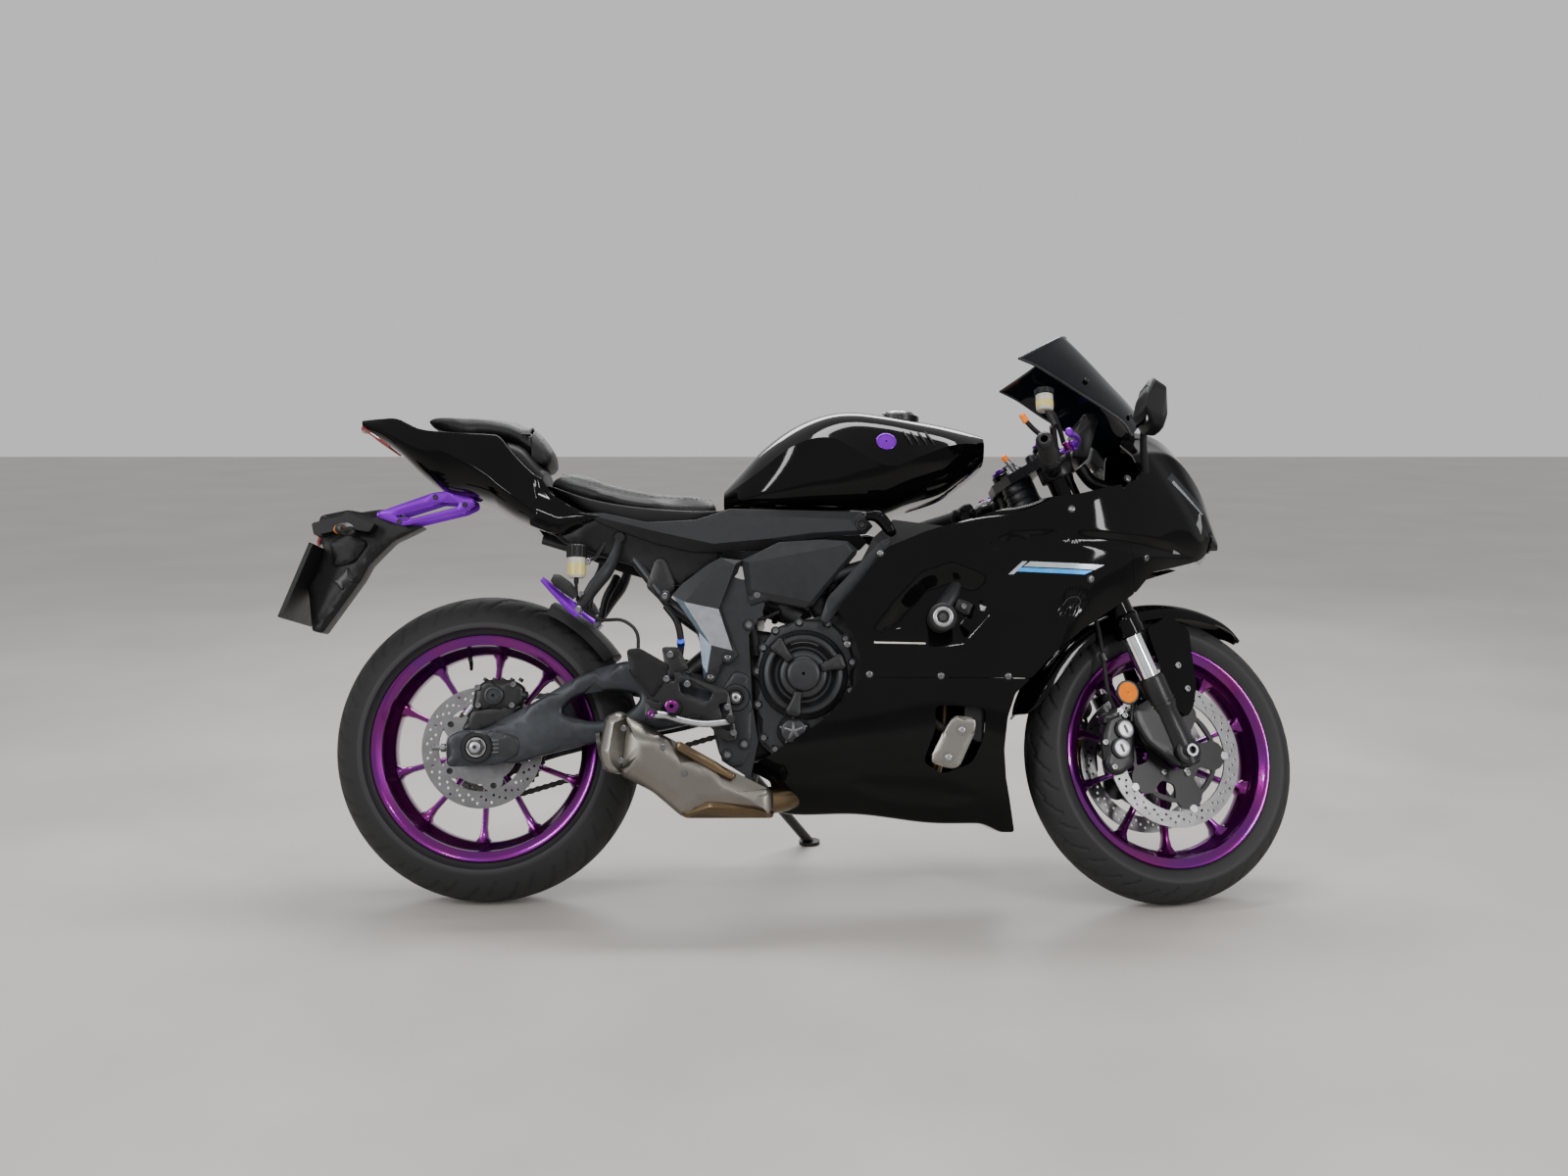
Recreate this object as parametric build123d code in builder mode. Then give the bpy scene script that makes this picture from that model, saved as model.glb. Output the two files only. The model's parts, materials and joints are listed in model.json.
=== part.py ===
from build123d import *
import math
import os

# Sport bike, built upright in its own bike frame and parked at the end.
# Bike frame: x forward from the rear axle, y to the rider's left, z up from the ground, millimetres.

# --- driving dimensions ---------------------------------------------------------------------
WHEELBASE = 1395.0
REAR_TYRE_R = 315.0
REAR_TYRE_W = 180.0
REAR_CROWN_R = 95.0
REAR_RIM_HALF = 70.0
FRONT_TYRE_R = 300.0
FRONT_TYRE_W = 120.0
FRONT_CROWN_R = 64.0
FRONT_RIM_HALF = 45.0
FLANGE_R = 231.0
FLANGE_T = 6.0
BEAD_SEAT_R = 216.0
WELL_R = 199.0
RIM_WALL = 5.0
TYRE_WALL = 11.0
SPOKES = 10
SPOKE_W = 15.0
SPOKE_DEPTH = 26.0
HUB_R = 40.0
AXLE_R = 12.5
AXLE_BORE_R = 8.0
RUN_CLEAR = 0.06

RAKE = 23.67
TRAIL = 90.0
STEER_REST = 18.0
LEAN = 14.5

FORK_HALF_SPAN = 103.0
FORK_TUBE_R = 20.5
FORK_OUTER_R = 27.0
STEM_R = 14.0
HEAD_R = 34.0
LOWER_CLAMP_H = 478.0
LOWER_CLAMP_T = 30.0
FORK_TOP_H = 688.0
FORK_PROUD = 33.0
UPPER_CLAMP_H = FORK_TOP_H - FORK_PROUD
UPPER_CLAMP_T = 20.0
BAR_DROP = 58.0
BAR_RISE = 38.0
FORK_SLEEVE_H = 255.0
BAR_HALF = 345.0
BAR_R = 11.0
GRIP_R = 16.5

FRONT_DISC_R = 149.0
FRONT_DISC_Y = 62.0
REAR_DISC_R = 122.5
REAR_DISC_Y = 90.0
DISC_T = 4.5

CHAIN_PITCH = 15.875
REAR_TEETH = 42
FRONT_TEETH = 16
CHAIN_Y = 108.0
CHAIN_W = 15.0
SPROCKET_T = 7.0
OUTPUT_X = 600.0
OUTPUT_Z = 425.0

PIVOT_X = 516.0
PIVOT_Z = 415.0
ARM_IN = 120.0
ARM_OUT = 146.0
FRAME_IN = 148.0
FRAME_OUT = 166.0
PIVOT_R = 10.0
BEAM_R = 16.0
BEAM_Y = 150.0
CASE_Y = 138.0
HEAD_Y = 112.0

COWL_WALL = 4.0
PANEL_GAP = 0.8
TOUCH = 0.3

STAND_PIVOT = (540.0, 196.0, 262.0)
STAND_FOOT_X = 671.0
STAND_FOOT_Y = 410.0
STAND_R = 11.0
STAND_HUB_R = 15.0
STAND_HUB_HALF = 11.0
STAND_PIN_R = 6.0
FOOT_R = 24.0
FOOT_T = 8.0

# --- frames of reference --------------------------------------------------------------------
RAKE_SIN = math.sin(math.radians(RAKE))
RAKE_COS = math.cos(math.radians(RAKE))
AXIS_DIR = Vector(-RAKE_SIN, 0, RAKE_COS)
AXIS_GROUND = Vector(WHEELBASE + TRAIL, 0, 0)
FRONT_AXLE = Vector(WHEELBASE, 0, FRONT_TYRE_R)
AXLE_H = (FRONT_AXLE - AXIS_GROUND).dot(AXIS_DIR)
STEER_ORIGIN = AXIS_GROUND + AXIS_DIR * AXLE_H
FORK_OFFSET = (FRONT_AXLE - STEER_ORIGIN).dot(Vector(RAKE_COS, 0, RAKE_SIN))
REAR_AXLE = Vector(0, 0, REAR_TYRE_R)
# Steering frame: local x forward off the steering axis, y left, z up along the axis.
STEER = Plane(origin=STEER_ORIGIN, x_dir=(RAKE_COS, 0, RAKE_SIN), z_dir=AXIS_DIR)


def steer_at(forward, left, up):
    """A point of the steering frame, given in the bike frame."""
    return STEER.from_local_coords((forward, left, up))


def wheel_plane(axle, degrees=90.0):
    """Sketch plane through an axle: local x along the axle, local y radial, at an angle up from forward."""
    angle = math.radians(degrees)
    return Plane(origin=axle, x_dir=(0, 1, 0), z_dir=(math.sin(angle), 0, -math.cos(angle)))


def wheel_axis(axle):
    return Axis(axle, (0, 1, 0))


# --- the parked stance ----------------------------------------------------------------------
LEAN_RAD = math.radians(LEAN)


def turned(point, degrees):
    """A bike-frame point or direction turned about the steering axis's direction."""
    a = math.radians(degrees)
    k = AXIS_DIR
    v = Vector(*point)
    return v * math.cos(a) + k.cross(v) * math.sin(a) + k * (k.dot(v) * (1 - math.cos(a)))


FRONT_HUB = AXIS_GROUND + turned(FRONT_AXLE - AXIS_GROUND, STEER_REST)
FRONT_SPIN = turned((0, 1, 0), STEER_REST)


def low_point(hub, spin, radius, crown_r, pitch):
    """Height of a tyre's lowest point after the pitch and the lean."""
    def height(v):
        return -v.Y * math.sin(LEAN_RAD) + math.cos(LEAN_RAD) * (v.Z * math.cos(pitch) - v.X * math.sin(pitch))
    tilt = height(spin)
    return height(hub) - (radius - crown_r) * math.sqrt(1 - tilt**2) - crown_r


pitch = 0.0
for _ in range(8):
    rear_low = low_point(REAR_AXLE, Vector(0, 1, 0), REAR_TYRE_R, REAR_CROWN_R, pitch)
    front_low = low_point(FRONT_HUB, FRONT_SPIN, FRONT_TYRE_R, FRONT_CROWN_R, pitch)
    pitch += (front_low - rear_low) / WHEELBASE
lean_part = Location((0, 0, 0), (1, 0, 0), -LEAN)
pitch_part = Location((0, 0, 0), (0, 1, 0), math.degrees(pitch))
LEANED = Location((0, 0, -rear_low)) * lean_part * pitch_part
UPRIGHT = LEANED.inverse()
GROUND = UPRIGHT * Plane.XY
STEERED = Location(AXIS_GROUND) * Location((0, 0, 0), tuple(AXIS_DIR), STEER_REST) * Location(-AXIS_GROUND)

foot_point = (UPRIGHT * Location((STAND_FOOT_X, STAND_FOOT_Y, 0))).position
leg_dir = (foot_point - Vector(*STAND_PIVOT)).normalized()
stand_axis = leg_dir.cross(Vector(-0.96, 0.25, -0.1)).normalized()
stand_low = Vector(*STAND_PIVOT) - stand_axis * (STAND_HUB_HALF + TOUCH)
stand_top = Vector(*STAND_PIVOT) + stand_axis * STAND_HUB_HALF
foot_plane = Plane(origin=foot_point, z_dir=GROUND.z_dir)

# --- shapes used more than once -------------------------------------------------------------
HOSE_SHARE = 0.45


def rod(start, end, radius, hole=0.0):
    """Round bar, or a tube with a hole, between two points."""
    reach = Vector(*end) - Vector(*start)
    with BuildPart() as bar:
        with BuildSketch(Plane(origin=start, z_dir=reach)):
            Circle(radius)
            if hole:
                Circle(hole, mode=Mode.SUBTRACT)
        extrude(amount=reach.length)
    return bar.part


def pipe(points, radius):
    """Round bar along straight runs, with a ball at each corner."""
    with BuildPart() as run:
        for start, end in zip(points, points[1:]):
            add(rod(start, end, radius))
        for corner in points[1:-1]:
            with Locations(corner):
                Sphere(radius)
    return run.part


def hose(points, radius):
    """Hose along straight runs, joined by arcs as large as the runs allow."""
    corners = [Vector(*p) for p in points]
    bends = []
    for before, corner, after in zip(corners, corners[1:], corners[2:]):
        back, ahead = corner - before, after - corner
        turn = math.radians(back.get_angle(ahead))
        bends.append(HOSE_SHARE * min(back.length, ahead.length) / math.tan(turn / 2))
    with BuildPart() as run:
        with BuildLine() as route:
            FilletPolyline(*corners, radius=bends)
        with BuildSketch(Plane(origin=corners[0], z_dir=corners[1] - corners[0])):
            Circle(radius)
        sweep(path=route.wires()[0])
    whole = math.pi * radius**2 * route.wires()[0].length
    print("hose bends", [round(b) for b in bends], "volume share", round(run.part.volume / whole, 4))
    return run.part


def plate(outline, y_low, y_high, corner=0.0):
    """Flat piece cut to an (x, z) outline, from y_low to y_high."""
    with BuildPart() as sheet:
        with BuildSketch(Plane.XZ.offset(-y_high)) as face:
            with BuildLine():
                Polyline(*outline, close=True)
            make_face()
            if corner:
                fillet(face.vertices(), corner)
        extrude(amount=y_high - y_low)
    return sheet.part


def cross_loft(sections, inset=0.0):
    """Loft of mirrored (y, z) half outlines at x stations, drawn in by inset."""
    with BuildPart() as form:
        for x, half in sections:
            left = [(y, z) for y, z in half]
            right = [(-y, z) for y, z in reversed(half) if y > 0]
            with BuildSketch(Plane(origin=(x, 0, 0), x_dir=(0, 1, 0), z_dir=(1, 0, 0))):
                with BuildLine():
                    Polyline(*left, *right, close=True)
                make_face()
                if inset:
                    offset(amount=-inset, kind=Kind.INTERSECTION)
        loft(ruled=True)
    return form.part


def both_sides(shape):
    """A shape and its mirror image across the middle of the bike."""
    with BuildPart() as pair:
        add(shape)
        mirror(shape, about=Plane.XZ)
    return pair.part


def ring(axle, radius, hole, y_low, y_high):
    """Flat ring round a wheel's axle."""
    with BuildPart() as band:
        with BuildSketch(Plane(origin=axle + Vector(0, y_high, 0), z_dir=(0, -1, 0))):
            Circle(radius)
            if hole:
                Circle(hole, mode=Mode.SUBTRACT)
        extrude(amount=y_high - y_low)
    return band.part


# --- wheels ---------------------------------------------------------------------------------
def tyre(axle, radius, width, crown_r, rim_half):
    """Hollow tyre: round crown, side walls down to the beads."""
    half = width / 2
    shoulder = radius - crown_r + math.sqrt(crown_r**2 - half**2)
    inner_half = half - 2 * TYRE_WALL
    bead = rim_half - TOUCH
    lip = rim_half + FLANGE_T
    seat = BEAD_SEAT_R + TOUCH
    with BuildPart() as carcass:
        with BuildSketch(wheel_plane(axle)):
            with BuildLine():
                ThreePointArc((-half, shoulder), (0, radius), (half, shoulder))
                Line((half, shoulder), (lip, FLANGE_R + 3))
                Line((lip, FLANGE_R + 3), (bead, FLANGE_R + 3))
                Line((bead, FLANGE_R + 3), (bead, seat))
                Line((bead, seat), (bead - TYRE_WALL, seat))
                Line((bead - TYRE_WALL, seat), (inner_half, shoulder - 4))
                ThreePointArc((inner_half, shoulder - 4), (0, radius - TYRE_WALL), (-inner_half, shoulder - 4))
                Line((-inner_half, shoulder - 4), (TYRE_WALL - bead, seat))
                Line((TYRE_WALL - bead, seat), (-bead, seat))
                Line((-bead, seat), (-bead, FLANGE_R + 3))
                Line((-bead, FLANGE_R + 3), (-lip, FLANGE_R + 3))
                Line((-lip, FLANGE_R + 3), (-half, shoulder))
            make_face()
        revolve(axis=wheel_axis(axle))
    return carcass.part


def rim(axle, half, hub_half):
    """Cast wheel: barrel with flanges and a well, spokes and a bored hub."""
    out = half + FLANGE_T
    barrel = [
        (-out, FLANGE_R), (-half, FLANGE_R), (-half, BEAD_SEAT_R), (-half * 0.62, BEAD_SEAT_R - 2),
        (-half * 0.42, WELL_R), (half * 0.42, WELL_R), (half * 0.62, BEAD_SEAT_R - 2), (half, BEAD_SEAT_R),
        (half, FLANGE_R), (out, FLANGE_R), (out, FLANGE_R - FLANGE_T), (half + 1, BEAD_SEAT_R - RIM_WALL),
        (half * 0.5, WELL_R - RIM_WALL), (-half * 0.5, WELL_R - RIM_WALL),
        (-half - 1, BEAD_SEAT_R - RIM_WALL), (-out, FLANGE_R - FLANGE_T),
    ]
    with BuildPart() as wheel:
        with BuildSketch(wheel_plane(axle)):
            with BuildLine():
                Polyline(*barrel, close=True)
            make_face()
        revolve(axis=wheel_axis(axle))
        with BuildSketch(Plane(origin=axle, x_dir=(1, 0, 0), z_dir=(0, -1, 0))):
            with PolarLocations(0, SPOKES):
                with Locations((0, (HUB_R + WELL_R - RIM_WALL) / 2)):
                    Rectangle(SPOKE_W, WELL_R - RIM_WALL - HUB_R + 8)
        extrude(amount=SPOKE_DEPTH / 2, both=True)
        add(ring(axle, HUB_R, 0, -hub_half, hub_half))
        add(ring(axle, AXLE_R + RUN_CLEAR, 0, -hub_half, hub_half), mode=Mode.SUBTRACT)
    return wheel.part


FRONT_HUB_HALF = FRONT_DISC_Y - DISC_T / 2
REAR_HUB_HALF = REAR_DISC_Y - DISC_T / 2

with BuildPart() as front_rim:
    add(rim(FRONT_AXLE, FRONT_RIM_HALF, FRONT_HUB_HALF))
with BuildPart() as front_tyre:
    add(tyre(FRONT_AXLE, FRONT_TYRE_R, FRONT_TYRE_W, FRONT_CROWN_R, FRONT_RIM_HALF))
with BuildPart() as rear_rim:
    add(rim(REAR_AXLE, REAR_RIM_HALF, REAR_HUB_HALF))
with BuildPart() as rear_tyre:
    add(tyre(REAR_AXLE, REAR_TYRE_R, REAR_TYRE_W, REAR_CROWN_R, REAR_RIM_HALF))


def disc(axle, radius, band, y):
    """Brake disc: a friction ring carried on a spider of arms."""
    low, high = y - DISC_T / 2, y + DISC_T / 2
    with BuildPart() as rotor:
        add(ring(axle, radius, radius - band, low, high))
        add(ring(axle, HUB_R, AXLE_R + 6, low, high))
        with BuildSketch(Plane(origin=axle + Vector(0, high, 0), x_dir=(1, 0, 0), z_dir=(0, -1, 0))):
            with PolarLocations(0, 5):
                with Locations((0, (HUB_R + radius - band) / 2)):
                    Rectangle(16, radius - band - HUB_R + 8)
        extrude(amount=DISC_T)
    return rotor.part


with BuildPart() as front_discs:
    add(both_sides(disc(FRONT_AXLE, FRONT_DISC_R, 34, FRONT_DISC_Y)))
with BuildPart() as rear_disc:
    add(disc(REAR_AXLE, REAR_DISC_R, 36, -REAR_DISC_Y))

PITCH_R = CHAIN_PITCH / (2 * math.sin(math.pi / REAR_TEETH))
DRIVE_R = CHAIN_PITCH / (2 * math.sin(math.pi / FRONT_TEETH))
with BuildPart() as rear_sprocket:
    add(ring(REAR_AXLE, PITCH_R - 6, 78, CHAIN_Y - SPROCKET_T / 2, CHAIN_Y + SPROCKET_T / 2))
    add(ring(REAR_AXLE, HUB_R, AXLE_R + 6, REAR_HUB_HALF, CHAIN_Y + SPROCKET_T / 2))
    with BuildSketch(Plane(origin=REAR_AXLE + Vector(0, CHAIN_Y + SPROCKET_T / 2, 0), z_dir=(0, -1, 0))):
        with PolarLocations(0, 6):
            with Locations((0, (HUB_R + 78) / 2)):
                Rectangle(18, 78 - HUB_R + 8)
    extrude(amount=SPROCKET_T)

with BuildPart() as rear_axle:
    add(rod((0, -ARM_OUT - 14, REAR_TYRE_R), (0, ARM_OUT + 14, REAR_TYRE_R), AXLE_R, AXLE_BORE_R))
    for side in (-1, 1):
        near, far = side * (ARM_OUT + TOUCH), side * (ARM_OUT + 14)
        add(rod((0, near, REAR_TYRE_R), (0, far, REAR_TYRE_R), AXLE_R + 7, AXLE_BORE_R))

# Chain: one closed band round both sprockets, open inside.
CHAIN_HALF = 7.0


def chain_loop(swell):
    """Outline of the chain's run, swollen or drawn in from its pitch line."""
    rear, front = PITCH_R + swell, DRIVE_R + swell
    run = Vector(OUTPUT_X, 0, OUTPUT_Z) - REAR_AXLE
    lean = math.atan2(run.Z, run.X)
    spread = math.acos((rear - front) / run.length)
    corners = []
    for centre, radius, turn in ((REAR_AXLE, rear, spread), (Vector(OUTPUT_X, 0, OUTPUT_Z), front, spread)):
        for sign in (1, -1):
            angle = lean + sign * turn
            corners.append((centre.X + radius * math.cos(angle), centre.Z + radius * math.sin(angle)))
    rear_top, rear_low, front_top, front_low = corners
    back = (-rear * math.cos(lean), REAR_TYRE_R - rear * math.sin(lean))
    nose = (OUTPUT_X + front * math.cos(lean), OUTPUT_Z + front * math.sin(lean))
    with BuildPart() as loop:
        with BuildSketch(Plane.XZ.offset(-CHAIN_Y - CHAIN_W / 2)):
            with BuildLine():
                ThreePointArc(rear_top, back, rear_low)
                Line(rear_low, front_low)
                ThreePointArc(front_low, nose, front_top)
                Line(front_top, rear_top)
            make_face()
        extrude(amount=CHAIN_W)
    return loop.part


with BuildPart() as drive_chain:
    add(chain_loop(CHAIN_HALF))
    add(chain_loop(-5.4), mode=Mode.SUBTRACT)

# --- swingarm and its fittings --------------------------------------------------------------
ARM_OUTLINE = [
    (-62, 292), (-62, 338), (14, 352), (120, 412), (208, 465), (300, 492), (400, 470), (540, 445),
    (545, 388), (500, 382), (380, 352), (236, 326), (130, 300), (74, 282),
]
SPOOL_X, SPOOL_Z, SPOOL_R, SPOOL_DEPTH = 48.0, 303.0, 3.4, 20.0
ARM_SLOT = [(160, 384), (190, 420), (270, 432), (330, 420), (300, 384), (230, 366)]
with BuildPart() as swingarm:
    add(plate(ARM_OUTLINE, ARM_IN, ARM_OUT))
    add(plate(ARM_SLOT, ARM_IN, ARM_OUT, 8), mode=Mode.SUBTRACT)
    mirror(about=Plane.XZ)
    with BuildSketch(Plane.XZ.offset(-ARM_OUT)):
        with Locations((PIVOT_X - 4, PIVOT_Z)):
            Circle(30)
    extrude(amount=2 * ARM_OUT)
    add(plate([(355, 376), (355, 425), (400, 430), (400, 372)], -ARM_IN, ARM_IN))
    add(rod((PIVOT_X, -ARM_OUT, PIVOT_Z), (PIVOT_X, ARM_OUT, PIVOT_Z), PIVOT_R + TOUCH), mode=Mode.SUBTRACT)
    add(rod((0, -ARM_OUT, REAR_TYRE_R), (0, ARM_OUT, REAR_TYRE_R), AXLE_R + TOUCH), mode=Mode.SUBTRACT)
    for side in (-1, 1):
        mouth, floor = side * ARM_OUT, side * (ARM_OUT - SPOOL_DEPTH)
        add(rod((SPOOL_X, floor, SPOOL_Z), (SPOOL_X, mouth, SPOOL_Z), SPOOL_R), mode=Mode.SUBTRACT)

# --- main frame -----------------------------------------------------------------------------
HEAD_LOW_H = LOWER_CLAMP_H + LOWER_CLAMP_T / 2 + 1
HEAD_TOP_H = UPPER_CLAMP_H - UPPER_CLAMP_T / 2 - 1
PIVOT_PLATE = [
    (560, 640), (500, 660), (452, 620), (430, 560), (462, 470), (474, 380), (488, 290), (545, 255),
    (560, 330), (548, 400), (540, 540), (572, 600),
]
CROSS_X, CROSS_Z, CROSS_R = 556.0, 585.0, 12.0
with BuildPart() as main_frame:
    add(rod(steer_at(0, 0, HEAD_LOW_H), steer_at(0, 0, HEAD_TOP_H), HEAD_R))
    for side in (-1, 1):
        beam = [steer_at(-30, side * 22, 584.4), (985, side * (BEAM_Y - 10), 742), (540, side * 157, 610)]
        brace = [steer_at(-31, side * 20, 567.4), (950, side * 128, 660), (905, side * 127, 612)]
        add(pipe(beam, BEAM_R))
        add(pipe(brace, 12))
        near, far = sorted((side * FRAME_IN, side * FRAME_OUT))
        add(plate(PIVOT_PLATE, near, far))
        near, far = sorted((side * (HEAD_Y + TOUCH), side * CASE_Y))
        add(rod((905, near, 612), (905, far, 612), 15))
    add(rod((PIVOT_X, -FRAME_OUT - 8, PIVOT_Z), (PIVOT_X, FRAME_OUT + 8, PIVOT_Z), PIVOT_R))
    add(rod((CROSS_X, -FRAME_OUT, CROSS_Z), (CROSS_X, FRAME_OUT, CROSS_Z), CROSS_R))
    add(rod(stand_low, stand_low - stand_axis * 14, STAND_HUB_R))
    add(rod(stand_low - stand_axis * 3, stand_top + stand_axis * 3, STAND_PIN_R))
    add(rod(stand_low - stand_axis * 8, (540, FRAME_OUT - 2, 262), 7))
    add(rod(steer_at(0, 0, HEAD_LOW_H - 1), steer_at(0, 0, HEAD_TOP_H + 1), STEM_R + RUN_CLEAR), mode=Mode.SUBTRACT)

RAIL = [(520, 130, 612), (440, 95, 722), (250, 95, 757), (66, 88, 806)]
RAIL_STAY = [(446, 136, 560), (372, 124, 612), (262, 95, 754)]
RAIL_R = 11.0


def to_side(points, side):
    """Points given for the left, taken to the left (1) or the right (-1)."""
    return [(x, side * y, z) for x, y, z in points]


with BuildPart() as subframe:
    for side in (-1, 1):
        add(pipe(to_side(RAIL, side), RAIL_R))
        add(pipe(to_side(RAIL_STAY, side), RAIL_R))
        for x, z in ((446, 560), (520, 612)):
            near, far = sorted((side * 122, side * (FRAME_IN - TOUCH)))
            add(rod((x, near, z), (x, far, z), 14))
        add(rod((66, side * 88, 806), (66, side * 88, 792), 8))
        add(rod((300, side * 95, 748), (300, side * 95, 789.9), 10))
    add(rod((90, -88, 798), (90, 88, 798), 9))
    add(rod((430, -95, 724), (430, 95, 724), 9))

# --- engine ---------------------------------------------------------------------------------
CASE_OUTLINE = [
    (560, 330), (552, 480), (600, 560), (700, 585), (850, 560), (885, 420), (866, 272), (620, 272),
]
SUMP_OUTLINE = [(640, 300), (660, 232), (820, 230), (850, 300)]
HEAD_OUTLINE = [(700, 570), (792, 745), (832, 782), (945, 768), (960, 700), (868, 500), (760, 500)]
PORT = Vector(930.6, 0, 636)
PORT_DIR = Vector(0.909, 0, -0.417)
with BuildPart() as engine_block:
    add(plate(CASE_OUTLINE, -CASE_Y, CASE_Y))
    add(plate(SUMP_OUTLINE, -88, 88))
    add(plate(HEAD_OUTLINE, -HEAD_Y, HEAD_Y))
    add(plate([(540, 352), (540, 494), (664, 494), (664, 352)], 97, CASE_Y + 1), mode=Mode.SUBTRACT)
    add(rod((OUTPUT_X, 96, OUTPUT_Z), (OUTPUT_X, CHAIN_Y + 4, OUTPUT_Z), DRIVE_R - 5.7))

CLUTCH_X, CLUTCH_Z, CLUTCH_R = 649.0, 462.0, 80.0
with BuildPart() as clutch_cover:
    add(rod((CLUTCH_X, -CASE_Y - TOUCH, CLUTCH_Z), (CLUTCH_X, -196, CLUTCH_Z), CLUTCH_R))
    chamfer(clutch_cover.faces().sort_by(Axis.Y)[0].edges(), 14)
    add(ring(Vector(CLUTCH_X, 0, CLUTCH_Z), 62, 34, -199, -190), mode=Mode.SUBTRACT)
    for turn in (20, 100, 262):
        angle = math.radians(turn)
        arm = Vector(math.cos(angle), 0, math.sin(angle))
        hub = Vector(CLUTCH_X, -190, CLUTCH_Z)
        add(rod(hub + arm * 30, hub + arm * 76, 8))
    add(rod((630, -CASE_Y - TOUCH, 357), (630, -170, 357), 24))
    add(plate([(575, 400), (720, 420), (690, 345), (590, 320)], -150, -CASE_Y - TOUCH))
with BuildPart() as generator_cover:
    add(rod((790, CASE_Y + TOUCH, 430), (790, 172, 430), 72))
    chamfer(generator_cover.faces().sort_by(Axis.Y)[-1].edges(), 12)
    add(plate([(574, 360), (574, 490), (640, 520), (760, 500), (760, 350), (640, 330)], CASE_Y + TOUCH, 152))

with BuildPart() as radiator:
    add(plate([(978, 640), (1012, 628), (1002, 330), (968, 342)], -165, 165))
    for side in (-1, 1):
        near, far = sorted((side * 84, side * 104))
        add(plate([(872.9, 470), (868.5, 499), (974, 499), (972, 470)], near, far))

with BuildPart() as exhaust_header:
    for side in (-1, 1):
        port = PORT + Vector(0, side * 50, 0)
        add(pipe([port + PORT_DIR * TOUCH, port + PORT_DIR * 22, (938, side * 50, 340), (898, side * 40, 208),
                  (590 + TOUCH, side * 40, 208)], 16))
        add(rod(port + PORT_DIR * TOUCH, port + PORT_DIR * 9, 27))
    add(rod((760, -40, 208), (760, 40, 208), 10))

MUFFLER_CAN = [
    (249, 310), (262, 376), (288, 386), (378, 336), (470, 272), (590, 232), (590, 180), (415, 180), (355, 228),
    (262, 268),
]
with BuildPart() as muffler:
    add(plate(MUFFLER_CAN, -236, -ARM_OUT - 4, 6))
    add(plate([(420, 182), (420, 262), (590, 232), (590, 182)], -ARM_OUT - 4, 70))

# --- rear shock, brake and guards -----------------------------------------------------------
SHOCK_FOOT = Vector(385, 0, 440.8)
SHOCK_TOP = Vector(CROSS_X, 0, CROSS_Z)
SHOCK_TOP -= (SHOCK_TOP - SHOCK_FOOT).normalized() * (12 + CROSS_R + TOUCH)
with BuildPart() as rear_shock:
    reach = (SHOCK_TOP - SHOCK_FOOT).normalized()
    add(rod(SHOCK_FOOT, SHOCK_TOP, 9))
    add(rod(SHOCK_FOOT + reach * 26, SHOCK_TOP - reach * 22, 28))
    for eye in (SHOCK_FOOT, SHOCK_TOP):
        add(rod(eye - Vector(0, 14, 0), eye + Vector(0, 14, 0), 12))

with BuildPart() as rear_caliper:
    add(plate([(-22, 294), (-22, 400), (-10, 452), (75, 452), (85, 405), (30, 340), (22, 294)], TOUCH - ARM_IN, -112))
    add(rod((0, -ARM_IN, REAR_TYRE_R), (0, -110, REAR_TYRE_R), AXLE_R + TOUCH), mode=Mode.SUBTRACT)
    add(plate([(-20, 405), (-10, 452), (75, 452), (85, 405), (60, 390), (0, 390)], -112, -REAR_DISC_Y - DISC_T / 2 - 2))
    add(plate([(-20, 442), (-10, 452), (75, 452), (85, 442)], -REAR_DISC_Y - DISC_T / 2 - 2, -72))
    add(plate([(-20, 405), (-10, 442), (75, 442), (85, 405), (60, 390), (0, 390)], -REAR_DISC_Y + DISC_T / 2 + 2, -72))

HUGGER_FROM, HUGGER_TO = 104.0, 38.0
HUGGER_GAP = 9.0
HUGGER_WALL = 4.0
HUGGER_DROP = 24.0
HUGGER_IN_R = REAR_TYRE_R + HUGGER_GAP
HUGGER_HALF = REAR_TYRE_W / 2 + 2


def arm_top(x):
    """Height just over the swingarm's top edge, ahead of its step."""
    (low_x, low_z), (high_x, high_z) = ARM_OUTLINE[4:6]
    return low_z + (high_z - low_z) * (x - low_x) / (high_x - low_x) + TOUCH


def hugger_point(rise, degrees):
    """(x, z) of a point of the hugger, by its rise over the inner face and its angle up from forward."""
    radius, angle = HUGGER_IN_R + rise, math.radians(degrees)
    return (radius * math.cos(angle), REAR_TYRE_R + radius * math.sin(angle))


with BuildPart() as rear_hugger:
    with BuildSketch(wheel_plane(REAR_AXLE, HUGGER_FROM)):
        with BuildLine():
            outer, inner = HUGGER_HALF + HUGGER_WALL, HUGGER_HALF
            top, roof, foot = HUGGER_IN_R + HUGGER_WALL, HUGGER_IN_R, HUGGER_IN_R - HUGGER_DROP
            Polyline((-outer, foot), (-outer, top), (outer, top), (outer, foot), (inner, foot), (inner, roof),
                     (-inner, roof), (-inner, foot), close=True)
        make_face()
    revolve(axis=wheel_axis(REAR_AXLE), revolution_arc=HUGGER_FROM - HUGGER_TO)
    for side in (-1, 1):
        near, far = sorted((side * HUGGER_HALF, side * (ARM_OUT - 6)))
        add(plate([(222, arm_top(222)), (252, arm_top(252)), hugger_point(0, HUGGER_TO),
                   hugger_point(-HUGGER_DROP, HUGGER_TO + 3)], near, far))

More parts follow.
